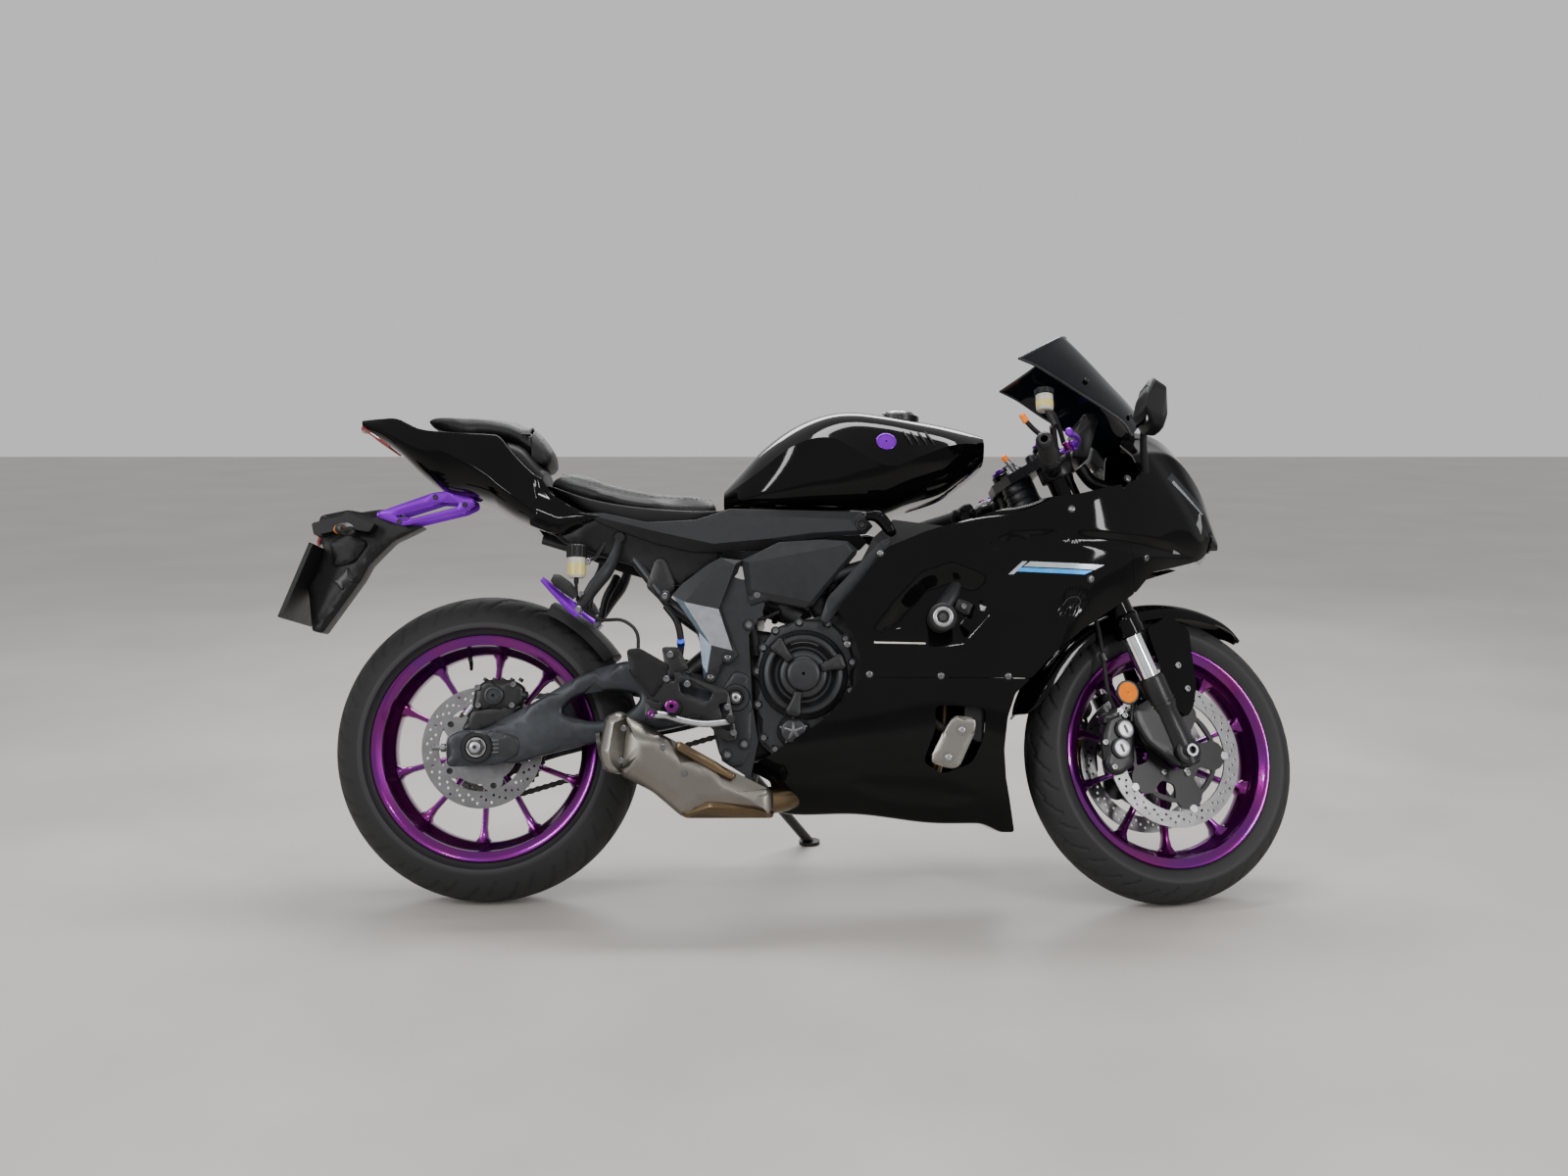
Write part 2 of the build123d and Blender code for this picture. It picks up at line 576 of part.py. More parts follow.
# --- tank and seats -------------------------------------------------------------------------
# x station, then (y, z) half outline from the underside's middle to the top's middle.
TANK_FLOOR = 802.0
COVER_IN = 118.0
TANK_SECTIONS = [
    (482, [(0, 812), (58, 812), (66, 824), (58, 842), (34, 852), (0, 856)]),
    (560, [(0, 806), (100, 806), (122, 826), (104, 890), (64, 926), (0, 940)]),
    (660, [(0, TANK_FLOOR), (128, TANK_FLOOR), (152, 850), (136, 940), (84, 990), (0, 1008)]),
    (760, [(0, TANK_FLOOR), (130, TANK_FLOOR), (158, 870), (140, 946), (88, 1000), (0, 1025)]),
    (900, [(0, 836), (112, 836), (146, 884), (134, 944), (84, 986), (0, 1005)]),
    (1022, [(0, 900), (66, 900), (92, 922), (88, 950), (60, 968), (0, 976)]),
]
CAP_X, CAP_R, CAP_Z = 850.0, 36.0, 1019.0
with BuildPart() as fuel_tank:
    add(cross_loft(TANK_SECTIONS))
    add(rod((CAP_X, 0, CAP_Z - 40), (CAP_X, 0, CAP_Z), CAP_R + 9))

with BuildPart() as fuel_cap:
    add(rod((CAP_X, 0, CAP_Z + TOUCH), (CAP_X, 0, CAP_Z + 7), CAP_R))
    with BuildSketch(Plane.XY.offset(CAP_Z + TOUCH)):
        with Locations((CAP_X + CAP_R, 0)):
            Rectangle(12, 16)
    extrude(amount=4)

SEAT_SECTIONS = [
    (112, [(0, 832), (96, 832), (104, 860), (92, 896), (0, 904)]),
    (180, [(0, 812), (112, 812), (124, 840), (104, 878), (0, 890)]),
    (280, [(0, 792), (122, 792), (134, 812), (112, 846), (0, 854)]),
    (380, [(0, 786), (108, 786), (120, 804), (98, 838), (0, 844)]),
    (478, [(0, 790), (62, 790), (72, 806), (62, 838), (0, 846)]),
]
with BuildPart() as rider_seat:
    add(cross_loft(SEAT_SECTIONS))

TAIL_SECTIONS = [
    (-281, [(0, 982), (16, 984), (24, 994), (20, 1004), (0, 1006)]),
    (-200, [(0, 936), (40, 940), (60, 965), (54, 998), (0, 1000)]),
    (-100, [(0, 848), (66, 852), (92, 900), (84, 960), (0, 968)]),
    (0, [(0, 820), (92, 822), (118, 872), (98, 950), (0, 958)]),
    (106, [(0, 756), (112, 760), (132, 810), (112, 900), (0, 912)]),
]
with BuildPart() as tail_cowl:
    add(cross_loft(TAIL_SECTIONS))
    TAIL_HOLLOW = [(x, half) for x, half in TAIL_SECTIONS[1:]] + [(107, TAIL_SECTIONS[-1][1])]
    add(cross_loft(TAIL_HOLLOW, COWL_WALL), mode=Mode.SUBTRACT)

PILLION_SECTIONS = [
    (-168, [(0, 1001), (30, 1001), (40, 1005), (30, 1010), (0, 1011)]),
    (-90, [(0, 968), (72, 966), (84, 984), (70, 1006), (0, 1014)]),
    (40, [(0, 948), (84, 946), (96, 964), (80, 996), (0, 1008)]),
    (102, [(0, 914), (78, 914), (90, 926), (76, 944), (0, 952)]),
]
with BuildPart() as pillion_seat:
    add(cross_loft(PILLION_SECTIONS))
    add(cross_loft(TAIL_SECTIONS), mode=Mode.SUBTRACT)

with BuildPart() as tail_lamp:
    add(plate([(-262, 984), (-282, 984), (-214, 918), (-196, 936)], -36, 36))
    add(cross_loft(TAIL_SECTIONS), mode=Mode.SUBTRACT)

HOLDER_HALF = 24.0


def tail_under(x, y):
    """Height just under the tail, between its third and fourth sections from the rear."""
    heights = []
    for _, half in TAIL_SECTIONS[2:4]:
        (_, keel), (edge_y, edge) = half[:2]
        heights.append(keel + (edge - keel) * y / edge_y)
    rear_x, front_x = TAIL_SECTIONS[2][0], TAIL_SECTIONS[3][0]
    return heights[0] + (heights[1] - heights[0]) * (x - rear_x) / (front_x - rear_x) - TOUCH


with BuildPart() as plate_bracket:
    for side in (-1, 1):
        near, far = sorted((side * (HOLDER_HALF + TOUCH), side * (HOLDER_HALF + 4)))
        seat_y = HOLDER_HALF + TOUCH
        add(plate([(-112, 844), (-98, tail_under(-98, seat_y)), (-40, tail_under(-40, seat_y)), (-60, 812),
                   (-190, 780), (-240, 800), (-170, 812)], near, far))
    add(plate([(-190, 784), (-236, 802), (-236, 806), (-190, 788)], -HOLDER_HALF - 1, HOLDER_HALF + 1))

with BuildPart() as plate_holder:
    add(plate([(-371, 778), (-360, 800), (-306, 812), (-238, 800), (-190, 780), (-145, 779), (-209, 746), (-258, 695),
               (-273, 665), (-351, 552), (-373, 556), (-384.4, 650), (-353.6, 730)], -HOLDER_HALF, HOLDER_HALF))
    for side in (-1, 1):
        add(rod((-285, side * HOLDER_HALF, 760), (-285, side * 140, 756), 9))
        add(rod((-305, side * 140, 756), (-255, side * 140, 756), 14))
with BuildPart() as number_plate:
    add(plate([(-354, 730), (-358, 733), (-418, 577), (-414, 574)], -105, 105))

# --- fairings -------------------------------------------------------------------------------
# One outer form, from the belly's tail to the nose; the panels are cut from its wall.
HULL = [
    (528, [(0, 212), (66, 214), (118, 250), (138, 300), (150, 460), (158, 600), (160, 700), (0, 704)]),
    (620, [(0, 182), (84, 184), (150, 250), (168, 330), (184, 460), (192, 600), (190, 720), (0, 724)]),
    (760, [(0, 182), (95, 184), (158, 250), (182, 330), (200, 460), (208, 600), (205, 745), (0, 749)]),
    (900, [(0, 166), (100, 168), (160, 250), (186, 330), (208, 460), (220, 600), (220, 765), (0, 769)]),
    (1000, [(0, 165), (100, 167), (158, 250), (184, 330), (204, 460), (218, 600), (222, 785), (0, 789)]),
    (1100, [(0, 163), (95, 165), (150, 250), (176, 330), (196, 460), (212, 600), (220, 800), (0, 830)]),
    (1200, [(0, 438), (120, 440), (180, 540), (198, 620), (208, 700), (212, 790), (198, 850), (0, 930)]),
    (1300, [(0, 588), (146, 590), (166, 650), (178, 700), (184, 760), (182, 820), (162, 905), (0, 985)]),
    (1400, [(0, 666), (86, 668), (108, 700), (124, 740), (134, 790), (128, 845), (104, 920), (0, 968)]),
    (1470, [(0, 688), (40, 690), (62, 712), (76, 740), (83, 775), (80, 815), (55, 862), (0, 886)]),
    (1519, [(0, 727), (8, 728), (14, 733), (18, 738), (19, 742), (18, 748), (12, 755), (0, 760)]),
]
HOLLOW = [(515, HULL[0][1])] + HULL[1:-1] + [(1508, HULL[-1][1])]


with BuildPart() as skin:
    add(cross_loft(HULL))
    add(cross_loft(HOLLOW, COWL_WALL), mode=Mode.SUBTRACT)


NOSE_SIDE = [
    (1316, 628), (1355, 673), (1444, 698), (1475, 709), (1493, 728), (1530, 736), (1530, 760), (1495, 850),
    (1470, 905), (1410, 985), (1340, 990), (1305, 945), (1325, 880), (1322, 848), (1290, 835),
]
SIDE_PANEL = [
    (1290 - PANEL_GAP, 835), (1202, 823), (1097, 808), (999, 774), (895, 745), (814, 712), (700, 575), (759, 476),
    (765, 455), (1099, 455), (1316 - PANEL_GAP, 628),
]
LOWER_PANEL = [
    (765, 455 - PANEL_GAP), (1099, 455 - PANEL_GAP), (1067, 425), (1052, 378), (1046, 315), (1075, 150),
    (606, 150), (600, 250), (556, 284), (690, 355), (730, 394), (754, 438),
]


def panel(outline, y_low, y_high):
    """The part of the fairing's wall that lies inside a side-view outline."""
    with BuildPart() as piece:
        add(skin)
        add(plate(outline, y_low, y_high), mode=Mode.INTERSECT)
    return piece.part


with BuildPart() as upper_cowl:
    add(panel(NOSE_SIDE, -260, 260))
with BuildPart() as side_panels:
    add(panel(SIDE_PANEL, 90, 260))
    add(rod((918, 90, 569), (918, 260, 569), 34), mode=Mode.SUBTRACT)
    mirror(about=Plane.XZ)
SIDE_WINDOW = [(908, 401), (1009, 397), (1006, 338), (983, 288), (925, 266), (886, 289), (910, 356)]
with BuildPart() as lower_cowl:
    add(panel(LOWER_PANEL, -260, 260))
    add(plate(SIDE_WINDOW, -260, -100), mode=Mode.SUBTRACT)

CAP_OUTLINE = [(946, 382), (991, 377), (993, 357), (957, 279), (940, 276), (903, 288), (901, 298), (931, 360)]
with BuildPart() as side_cap:
    add(plate(CAP_OUTLINE, -176, -166.5, 4))
    add(rod((938, -147, 326), (938, -168, 326), 11))
    add(plate([(822, 296), (822, 344), (950, 352), (962, 300)], -148, -CASE_Y - TOUCH))

# --- screen, lamp, mirrors and dash ---------------------------------------------------------
# Height, front x, side x and half width of each bow of the screen.
SCREEN_BOWS = [(890, 1464, 1343, 142), (1080, 1298, 1120, 152), (1200, 1190, 985, 120)]
SCREEN_SIDE = [
    (1480, 890), (1480, 1100), (1205, 1200), (1200, 1186), (1087, 1110), (1101, 1080), (1296, 962), (1322, 890),
]
SCREEN_T = 3.0


def screen_form(inset):
    with BuildPart() as dome:
        for z, front, side_x, half in SCREEN_BOWS:
            with BuildSketch(Plane.XY.offset(z)):
                with BuildLine():
                    ThreePointArc((side_x, half - inset), (front - inset, 0), (side_x, inset - half))
                    Line((side_x, inset - half), (side_x - 40, inset - half))
                    Line((side_x - 40, inset - half), (side_x - 40, half - inset))
                    Line((side_x - 40, half - inset), (side_x, half - inset))
                make_face()
        loft(ruled=True)
    return dome.part


with BuildPart() as windscreen:
    add(screen_form(0))
    add(screen_form(SCREEN_T), mode=Mode.SUBTRACT)
    add(plate(SCREEN_SIDE, -200, 200), mode=Mode.INTERSECT)
    add(cross_loft(HULL, -TOUCH), mode=Mode.SUBTRACT)

with BuildPart() as inner_form:
    add(cross_loft(HOLLOW, COWL_WALL + TOUCH))
with BuildPart() as head_lamp:
    add(inner_form)
    add(plate([(1404, 700), (1404, 850), (1490, 850), (1490, 700)], -140, 140), mode=Mode.INTERSECT)
with BuildPart() as instrument_panel:
    add(plate([(1228, 905), (1236, 962), (1350, 1000), (1350, 935)], -20, 20))
    add(inner_form, mode=Mode.INTERSECT)
    add(plate([(1215, 925), (1240, 1005), (1256, 1000), (1232, 920)], -80, 80))
with BuildPart() as mirrors:
    for side in (-1, 1):
        near, far = sorted((side * 225, side * 345))
        add(plate([(1305, 945), (1312, 1020), (1328, 1028), (1338, 1010), (1334, 944), (1318, 930)], near, far, 3))
        add(rod((1346, side * 130, 868), (1322, side * 240, 950), 10))
    add(cross_loft(HULL, -TOUCH), mode=Mode.SUBTRACT)

# --- side covers, pivot covers and controls -------------------------------------------------
SIDE_COVER = [(498, 799), (767, 794), (788, 765), (779, 752), (629, 733), (468, 713), (300, 752), (240, 780), (430, 775)]
AIRBOX = [(530, 689), (600, 728), (690, 732), (735, 728), (668, 614), (600, 640), (537, 633)]
PIVOT_COVER = [(387, 619), (406, 639), (458, 679), (523, 689), (482, 597), (505, 525), (450, 460), (440, 540)]
with BuildPart() as side_covers:
    add(plate(SIDE_COVER, COVER_IN, COVER_IN + 20))
    mirror(about=Plane.XZ)
with BuildPart() as airbox:
    add(plate(AIRBOX, -128, 128))
    add(plate([(600, 690), (620, TANK_FLOOR - TOUCH), (750, TANK_FLOOR - TOUCH), (735, 700)],
              TOUCH - COVER_IN, COVER_IN - TOUCH))
    for side in (-1, 1):
        near, far = sorted((side * 120, side * (152.9 - BEAM_R - TOUCH)))
        add(rod((640, near, 639.7), (640, far, 639.7), 8))
with BuildPart() as pivot_covers:
    add(plate(PIVOT_COVER, FRAME_OUT + TOUCH, FRAME_OUT + 16))
    mirror(about=Plane.XZ)

HANGER = [(299, 506), (418, 456), (500, 430), (520, 330), (498, 326), (440, 380), (395, 378), (372, 400), (384, 440)]
with BuildPart() as footrests:
    add(plate(HANGER, FRAME_OUT + 20, FRAME_OUT + 28))
    for x, z in ((500, 395), (512, 345)):
        add(rod((x, FRAME_OUT + TOUCH, z), (x, FRAME_OUT + 22, z), 9))
    add(rod((395, FRAME_OUT + 24, 394), (395, 275, 394), 12))
    mirror(about=Plane.XZ)
with BuildPart() as foot_levers:
    add(pipe([(505, -206, 372), (440, -212, 362), (352, -214, 380)], 7))
    add(rod((505, -FRAME_OUT - 28 - TOUCH, 372), (505, -216, 372), 10))
    add(pipe([(505, 206, 372), (600, 212, 352), (625, 214, 356)], 7))
    add(rod((505, FRAME_OUT + 28 + TOUCH, 372), (505, 216, 372), 10))
with BuildPart() as passenger_footrests:
    for side in (-1, 1):
        add(pipe([(262, side * 98, 745), (250, side * 150, 700), (203, side * 170, 603)], 11))
        add(rod((203, side * 165, 603), (175, side * 262, 612), 12))
        for points in (RAIL, RAIL_STAY):
            add(pipe(to_side(points, side), RAIL_R + TOUCH), mode=Mode.SUBTRACT)

with BuildPart() as rear_reservoir:
    add(rod((192, -150, 655), (192, -150, 716), 19))
    add(rod((192, -150, 716), (192, -150, 722), 21))
    add(plate([(184, 688), (200, 688), (200, 780), (184, 784)], -108, -104.2))
    add(plate([(184, 688), (200, 688), (200, 694), (184, 694)], -140, -104.2))
with BuildPart() as rear_brake_hose:
    add(hose([(192, -150, 655 - TOUCH), (192, -150, 622), (204, -138, 592), (240, -144, 570), (290, -176, 570),
              (322, -190, 545), (322, -190, 497.8 + TOUCH)], 3.5))
with BuildPart() as crash_bobbins:
    for side in (-1, 1):
        add(rod((918, side * 212, 569), (918, side * 270, 569), 28))
        add(rod((905, side * (HEAD_Y + TOUCH), 566), (905, side * 214, 566), 11))

# --- front end ------------------------------------------------------------------------------
def steer_block(outline, h_low, h_high):
    """Plate square to the steering axis, from a (forward, left) outline."""
    with BuildPart() as block:
        with BuildSketch(STEER.offset(h_low)):
            with BuildLine():
                Polyline(*outline, close=True)
            make_face()
        extrude(amount=h_high - h_low)
    return block.part


YOKE = [(-34, -40), (-34, 40), (4, 138), (66, 138), (72, 60), (50, 0), (72, -60), (66, -138), (4, -138)]
with BuildPart() as triple_clamps:
    for middle, thick in ((LOWER_CLAMP_H, LOWER_CLAMP_T), (UPPER_CLAMP_H, UPPER_CLAMP_T)):
        add(steer_block(YOKE, middle - thick / 2, middle + thick / 2))
    add(rod(steer_at(0, 0, LOWER_CLAMP_H), steer_at(0, 0, FORK_TOP_H), STEM_R))
    for side in (-1, 1):
        foot = steer_at(FORK_OFFSET, side * FORK_HALF_SPAN, LOWER_CLAMP_H - 40)
        top = steer_at(FORK_OFFSET, side * FORK_HALF_SPAN, UPPER_CLAMP_H + 30)
        add(rod(foot, top, FORK_OUTER_R + 0.05), mode=Mode.SUBTRACT)

def side_block(outline, y_low, y_high):
    """Plate seen from the side, cut to an outline along and up the steering axis."""
    with BuildPart() as block:
        with BuildSketch(Plane(origin=STEER_ORIGIN, x_dir=STEER.x_dir, z_dir=(0, -1, 0)).offset(-y_high)):
            with BuildLine():
                Polyline(*outline, close=True)
            make_face()
        extrude(amount=y_high - y_low)
    return block.part


CASTING_H, CASTING_R = 165.0, 25.0
CALIPER_TOP = 118.0
CALIPER = [
    (-30, 84), (-34, CALIPER_TOP), (-76, CALIPER_TOP), (-106, 94), (-128, 40), (-124, 24), (-66, 22), (-51, 58),
]
CALIPER_LUGS = [
    [(-32.2, 80.7), (38, 62), (38, 40), (-43.7, 66.5)],
    [(-54.7, 48.3), (38, 14), (38, -10), (-62.7, 29.1)],
]
REFLECTOR_H, REFLECTOR_R = 156.0, 24.0
CALIPER_IN, CALIPER_OUT = 68.0, 98.0
FENDER_OUT = 76.7
FENDER_LUG = [(1338, 372), (1335, 420), (1385, 446), (1415, 456), (1442, 442), (1430, 412), (1390, 385)]
FENDER_FLAP = [(1344, 560), (1400, 590), (1442, 560), (1450, 440), (1436, 400), (1390, 392), (1372, 470)]
with BuildPart() as fork_legs:
    for side in (-1, 1):
        y = side * FORK_HALF_SPAN
        add(rod(steer_at(FORK_OFFSET, y, FORK_SLEEVE_H), steer_at(FORK_OFFSET, y, FORK_TOP_H), FORK_OUTER_R))
        add(rod(steer_at(FORK_OFFSET, y, 20), steer_at(FORK_OFFSET, y, FORK_SLEEVE_H), FORK_TUBE_R))
        add(rod(steer_at(FORK_OFFSET, y, -30), steer_at(FORK_OFFSET, y, CASTING_H), CASTING_R))
        near, far = sorted((side * 82, side * CALIPER_OUT))
        for lug in CALIPER_LUGS:
            add(side_block(lug, near, far))
        add(side_block([(-24, 148), (-24, 164), (38, 160), (38, 144)], *sorted((side * 88, side * 98))))
        add(rod(steer_at(-24, side * 96, REFLECTOR_H), steer_at(-24, side * 106, REFLECTOR_H), REFLECTOR_R))
        near, far = sorted((side * (FENDER_OUT + TOUCH), side * (FENDER_OUT + 10)))
        add(plate(FENDER_LUG, near, far))
    add(rod(FRONT_AXLE + Vector(0, -140, 0), FRONT_AXLE + Vector(0, 140, 0), AXLE_R + TOUCH), mode=Mode.SUBTRACT)
with BuildPart() as front_axle:
    add(rod(FRONT_AXLE + Vector(0, -138, 0), FRONT_AXLE + Vector(0, 138, 0), AXLE_R, AXLE_BORE_R))

with BuildPart() as front_calipers:
    add(side_block(CALIPER, CALIPER_IN, CALIPER_OUT))
    for a, h in ((-62, 92), (-87, 60)):
        add(rod(steer_at(a, CALIPER_OUT - 1, h), steer_at(a, CALIPER_OUT + 6, h), 17))
    mirror(about=Plane.XZ)

FRONT_HOSE = [(-6, 60, LOWER_CLAMP_H - LOWER_CLAMP_T / 2 - TOUCH), (-4, 62, 400), (0, 74, 320), (-30, 84, 240),
              (-52, 80, 172), (-52, 80, CALIPER_TOP + TOUCH)]
with BuildPart() as front_brake_hoses:
    add(hose([steer_at(*corner) for corner in FRONT_HOSE], 4.5))
    mirror(about=Plane.XZ)

BAR_BORE_R, BAR_BORE_DEPTH = 7.0, 45.0
RESERVOIR_Y, RESERVOIR_R, RESERVOIR_H = -240.0, 17.0, 44.0
CLIP_H = FORK_TOP_H - BAR_DROP
BAR_INNER = (FORK_OFFSET - 24, FORK_HALF_SPAN + 26, CLIP_H)
BAR_END = (-99, BAR_HALF, CLIP_H + BAR_RISE)


def bar_point(side, inward):
    """Point of a handlebar's centre line, measured inward from its end."""
    tip = steer_at(BAR_END[0], side * BAR_END[1], BAR_END[2])
    root = steer_at(BAR_INNER[0], side * BAR_INNER[1], BAR_INNER[2])
    return tip + (root - tip).normalized() * inward


with BuildPart() as clip_ons:
    for side in (-1, 1):
        y = side * FORK_HALF_SPAN
        add(rod(steer_at(FORK_OFFSET, y, CLIP_H - 18), steer_at(FORK_OFFSET, y, CLIP_H + 10), FORK_OUTER_R + 9))
        add(rod(steer_at(BAR_INNER[0], side * BAR_INNER[1], BAR_INNER[2]), bar_point(side, 0), BAR_R))
        add(rod(bar_point(side, 135), bar_point(side, 5), GRIP_R))
        add(rod(steer_at(FORK_OFFSET, y, CLIP_H - 30), steer_at(FORK_OFFSET, y, CLIP_H + 30), FORK_OUTER_R + 0.05),
            mode=Mode.SUBTRACT)
        add(rod(bar_point(side, BAR_BORE_DEPTH), bar_point(side, 0), BAR_BORE_R), mode=Mode.SUBTRACT)
    cup = CLIP_H + 106
    add(rod(steer_at(-2, RESERVOIR_Y, cup), steer_at(-2, RESERVOIR_Y, cup + RESERVOIR_H), RESERVOIR_R))
    add(rod(steer_at(-2, RESERVOIR_Y, cup + RESERVOIR_H - 10), steer_at(-2, RESERVOIR_Y, cup + RESERVOIR_H),
            RESERVOIR_R + 2))
    add(rod(steer_at(-44, RESERVOIR_Y, CLIP_H + 20), steer_at(-4, RESERVOIR_Y, cup + 4), 6))
with BuildPart() as hand_levers:
    for side in (-1, 1):
        add(pipe([steer_at(14, side * 190, CLIP_H + 20), steer_at(48, side * 200, CLIP_H + 22),
                  steer_at(-30, side * 325, CLIP_H + 34)], 5))
        add(rod(steer_at(4, side * 186, CLIP_H + 6), steer_at(4, side * 186, CLIP_H + 30), 12))
    add(clip_ons, mode=Mode.SUBTRACT)

FENDER_FROM, FENDER_TO = 164.0, 56.0
with BuildPart() as front_fender:
    with BuildSketch(wheel_plane(FRONT_AXLE, FENDER_FROM)):
        with BuildLine():
            Polyline((-70, 285), (-60, 312), (0, 326), (60, 312), (70, 285), (66, 285), (57, 309), (0, 322), (-57, 309),
                     (-66, 285), close=True)
        make_face()
    revolve(axis=wheel_axis(FRONT_AXLE), revolution_arc=FENDER_FROM - FENDER_TO)
    add(plate(FENDER_FLAP, 66, FENDER_OUT))
    mirror(about=Plane.XZ)

# --- side stand -----------------------------------------------------------------------------
with BuildPart() as side_stand:
    add(rod(STAND_PIVOT, foot_point + GROUND.z_dir * FOOT_T / 2, STAND_R))
    add(rod(Vector(*STAND_PIVOT) - stand_axis * STAND_HUB_HALF, stand_top, STAND_HUB_R))
    add(rod(stand_low, stand_top + stand_axis, STAND_PIN_R + RUN_CLEAR), mode=Mode.SUBTRACT)
    with BuildSketch(foot_plane):
        Circle(FOOT_R)
    extrude(amount=FOOT_T)
    split(bisect_by=foot_plane, keep=Keep.TOP)

# --- parked and written ---------------------------------------------------------------------
FIXED = [
    (main_frame, "main_frame"), (subframe, "subframe"), (engine_block, "engine_block"),
    (clutch_cover, "clutch_cover"), (generator_cover, "generator_cover"), (radiator, "radiator"),
    (exhaust_header, "exhaust_header"), (muffler, "muffler"), (swingarm, "swingarm"),
    (rear_shock, "rear_shock"), (rear_axle, "rear_axle"), (drive_chain, "drive_chain"),
    (rear_hugger, "rear_hugger"), (fuel_tank, "fuel_tank"), (fuel_cap, "fuel_cap"),
    (rider_seat, "rider_seat"), (pillion_seat, "pillion_seat"), (tail_cowl, "tail_cowl"),
    (tail_lamp, "tail_lamp"), (plate_bracket, "plate_bracket"), (plate_holder, "plate_holder"),
    (number_plate, "number_plate"), (upper_cowl, "upper_cowl"), (side_panels, "side_panels"),
    (lower_cowl, "lower_cowl"), (head_lamp, "head_lamp"), (windscreen, "windscreen"),
    (instrument_panel, "instrument_panel"), (mirrors, "mirrors"), (side_covers, "side_covers"),
    (airbox, "airbox"), (pivot_covers, "pivot_covers"), (footrests, "footrests"),
    (foot_levers, "foot_levers"), (passenger_footrests, "passenger_footrests"),
    (rear_caliper, "rear_caliper"), (rear_reservoir, "rear_reservoir"), (crash_bobbins, "crash_bobbins"),
    (rear_brake_hose, "rear_brake_hose"), (side_cap, "side_cap"),
    (rear_rim, "rear_rim"), (rear_tyre, "rear_tyre"), (rear_disc, "rear_disc"),
    (rear_sprocket, "rear_sprocket"), (side_stand, "side_stand"),
]
TURNING = [
    (triple_clamps, "triple_clamps"), (fork_legs, "fork_legs"), (clip_ons, "clip_ons"),
    (hand_levers, "hand_levers"), (front_fender, "front_fender"), (front_calipers, "front_calipers"),
    (front_axle, "front_axle"), (front_rim, "front_rim"), (front_tyre, "front_tyre"),
    (front_discs, "front_discs"), (front_brake_hoses, "front_brake_hoses"),
]
placed = [(piece.part.moved(LEANED), name) for piece, name in FIXED]
placed += [(piece.part.moved(LEANED * STEERED), name) for piece, name in TURNING]
box = Compound([shape for shape, name in placed]).bounding_box()
CENTRED = Location((-box.center().X, -box.center().Y, 0))

os.makedirs("parts", exist_ok=True)
for shape, name in placed:
    part = shape.moved(CENTRED)
    part.label = name
    export_step(part, f"parts/{name}.step")
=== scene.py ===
import json
import math

import bmesh
import bpy
from mathutils import Matrix, Vector, bvhtree, geometry


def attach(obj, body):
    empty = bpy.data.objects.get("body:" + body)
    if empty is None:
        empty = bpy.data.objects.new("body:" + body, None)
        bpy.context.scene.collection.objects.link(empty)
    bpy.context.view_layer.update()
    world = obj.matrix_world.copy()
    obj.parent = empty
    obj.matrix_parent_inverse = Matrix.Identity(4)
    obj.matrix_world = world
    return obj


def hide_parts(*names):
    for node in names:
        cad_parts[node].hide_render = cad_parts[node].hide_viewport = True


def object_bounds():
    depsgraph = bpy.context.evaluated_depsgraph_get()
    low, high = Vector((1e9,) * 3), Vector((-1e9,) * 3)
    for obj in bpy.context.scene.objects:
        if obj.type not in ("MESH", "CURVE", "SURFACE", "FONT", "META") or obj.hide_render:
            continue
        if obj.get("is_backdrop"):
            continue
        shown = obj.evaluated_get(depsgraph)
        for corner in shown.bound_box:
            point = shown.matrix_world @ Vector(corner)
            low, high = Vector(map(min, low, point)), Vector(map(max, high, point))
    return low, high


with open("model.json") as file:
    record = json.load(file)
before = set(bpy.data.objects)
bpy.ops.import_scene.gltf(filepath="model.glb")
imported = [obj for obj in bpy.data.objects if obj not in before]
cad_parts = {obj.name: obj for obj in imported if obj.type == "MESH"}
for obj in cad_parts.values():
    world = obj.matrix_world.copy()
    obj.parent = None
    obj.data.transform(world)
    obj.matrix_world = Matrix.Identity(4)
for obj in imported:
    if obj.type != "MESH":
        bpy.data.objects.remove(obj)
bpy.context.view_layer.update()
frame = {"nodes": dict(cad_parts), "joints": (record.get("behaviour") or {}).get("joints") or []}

# Sport bike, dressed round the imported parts. Lengths in the tables are millimetres in the bike frame:
# x forward from the rear axle, y to the rider's left, z up from the ground, bike upright, steering straight.

# --- frames of reference --------------------------------------------------------------------
MM = 0.001
RAKE = math.radians(23.67)
STEER_REST = math.radians(18.0)
REAR_R, FRONT_R = 315.0, 300.0
WHEELBASE, TRAIL = 1395.0, 90.0
JOINTS = {j["name"]: j for j in frame["joints"]}


def joint_place(name):
    """Point and direction of a joint in the frame."""
    joint = JOINTS[name]
    return Vector(joint["pos_m"]), Vector(joint["axis"]).normalized()


rear_hub, side_dir = joint_place("rear_wheel_spin")
head_point, steer_dir = joint_place("steering_head")
fork_dir = side_dir.cross(steer_dir)
ahead_dir = fork_dir * math.cos(RAKE) - steer_dir * math.sin(RAKE)
up_dir = fork_dir * math.sin(RAKE) + steer_dir * math.cos(RAKE)
ground_point = rear_hub - up_dir * REAR_R * MM


def basis(x_dir, y_dir, z_dir, origin):
    """Matrix that carries the axes to these directions at an origin."""
    rows = [[x_dir[i], y_dir[i], z_dir[i], origin[i]] for i in range(3)]
    return Matrix(rows + [[0, 0, 0, 1]])


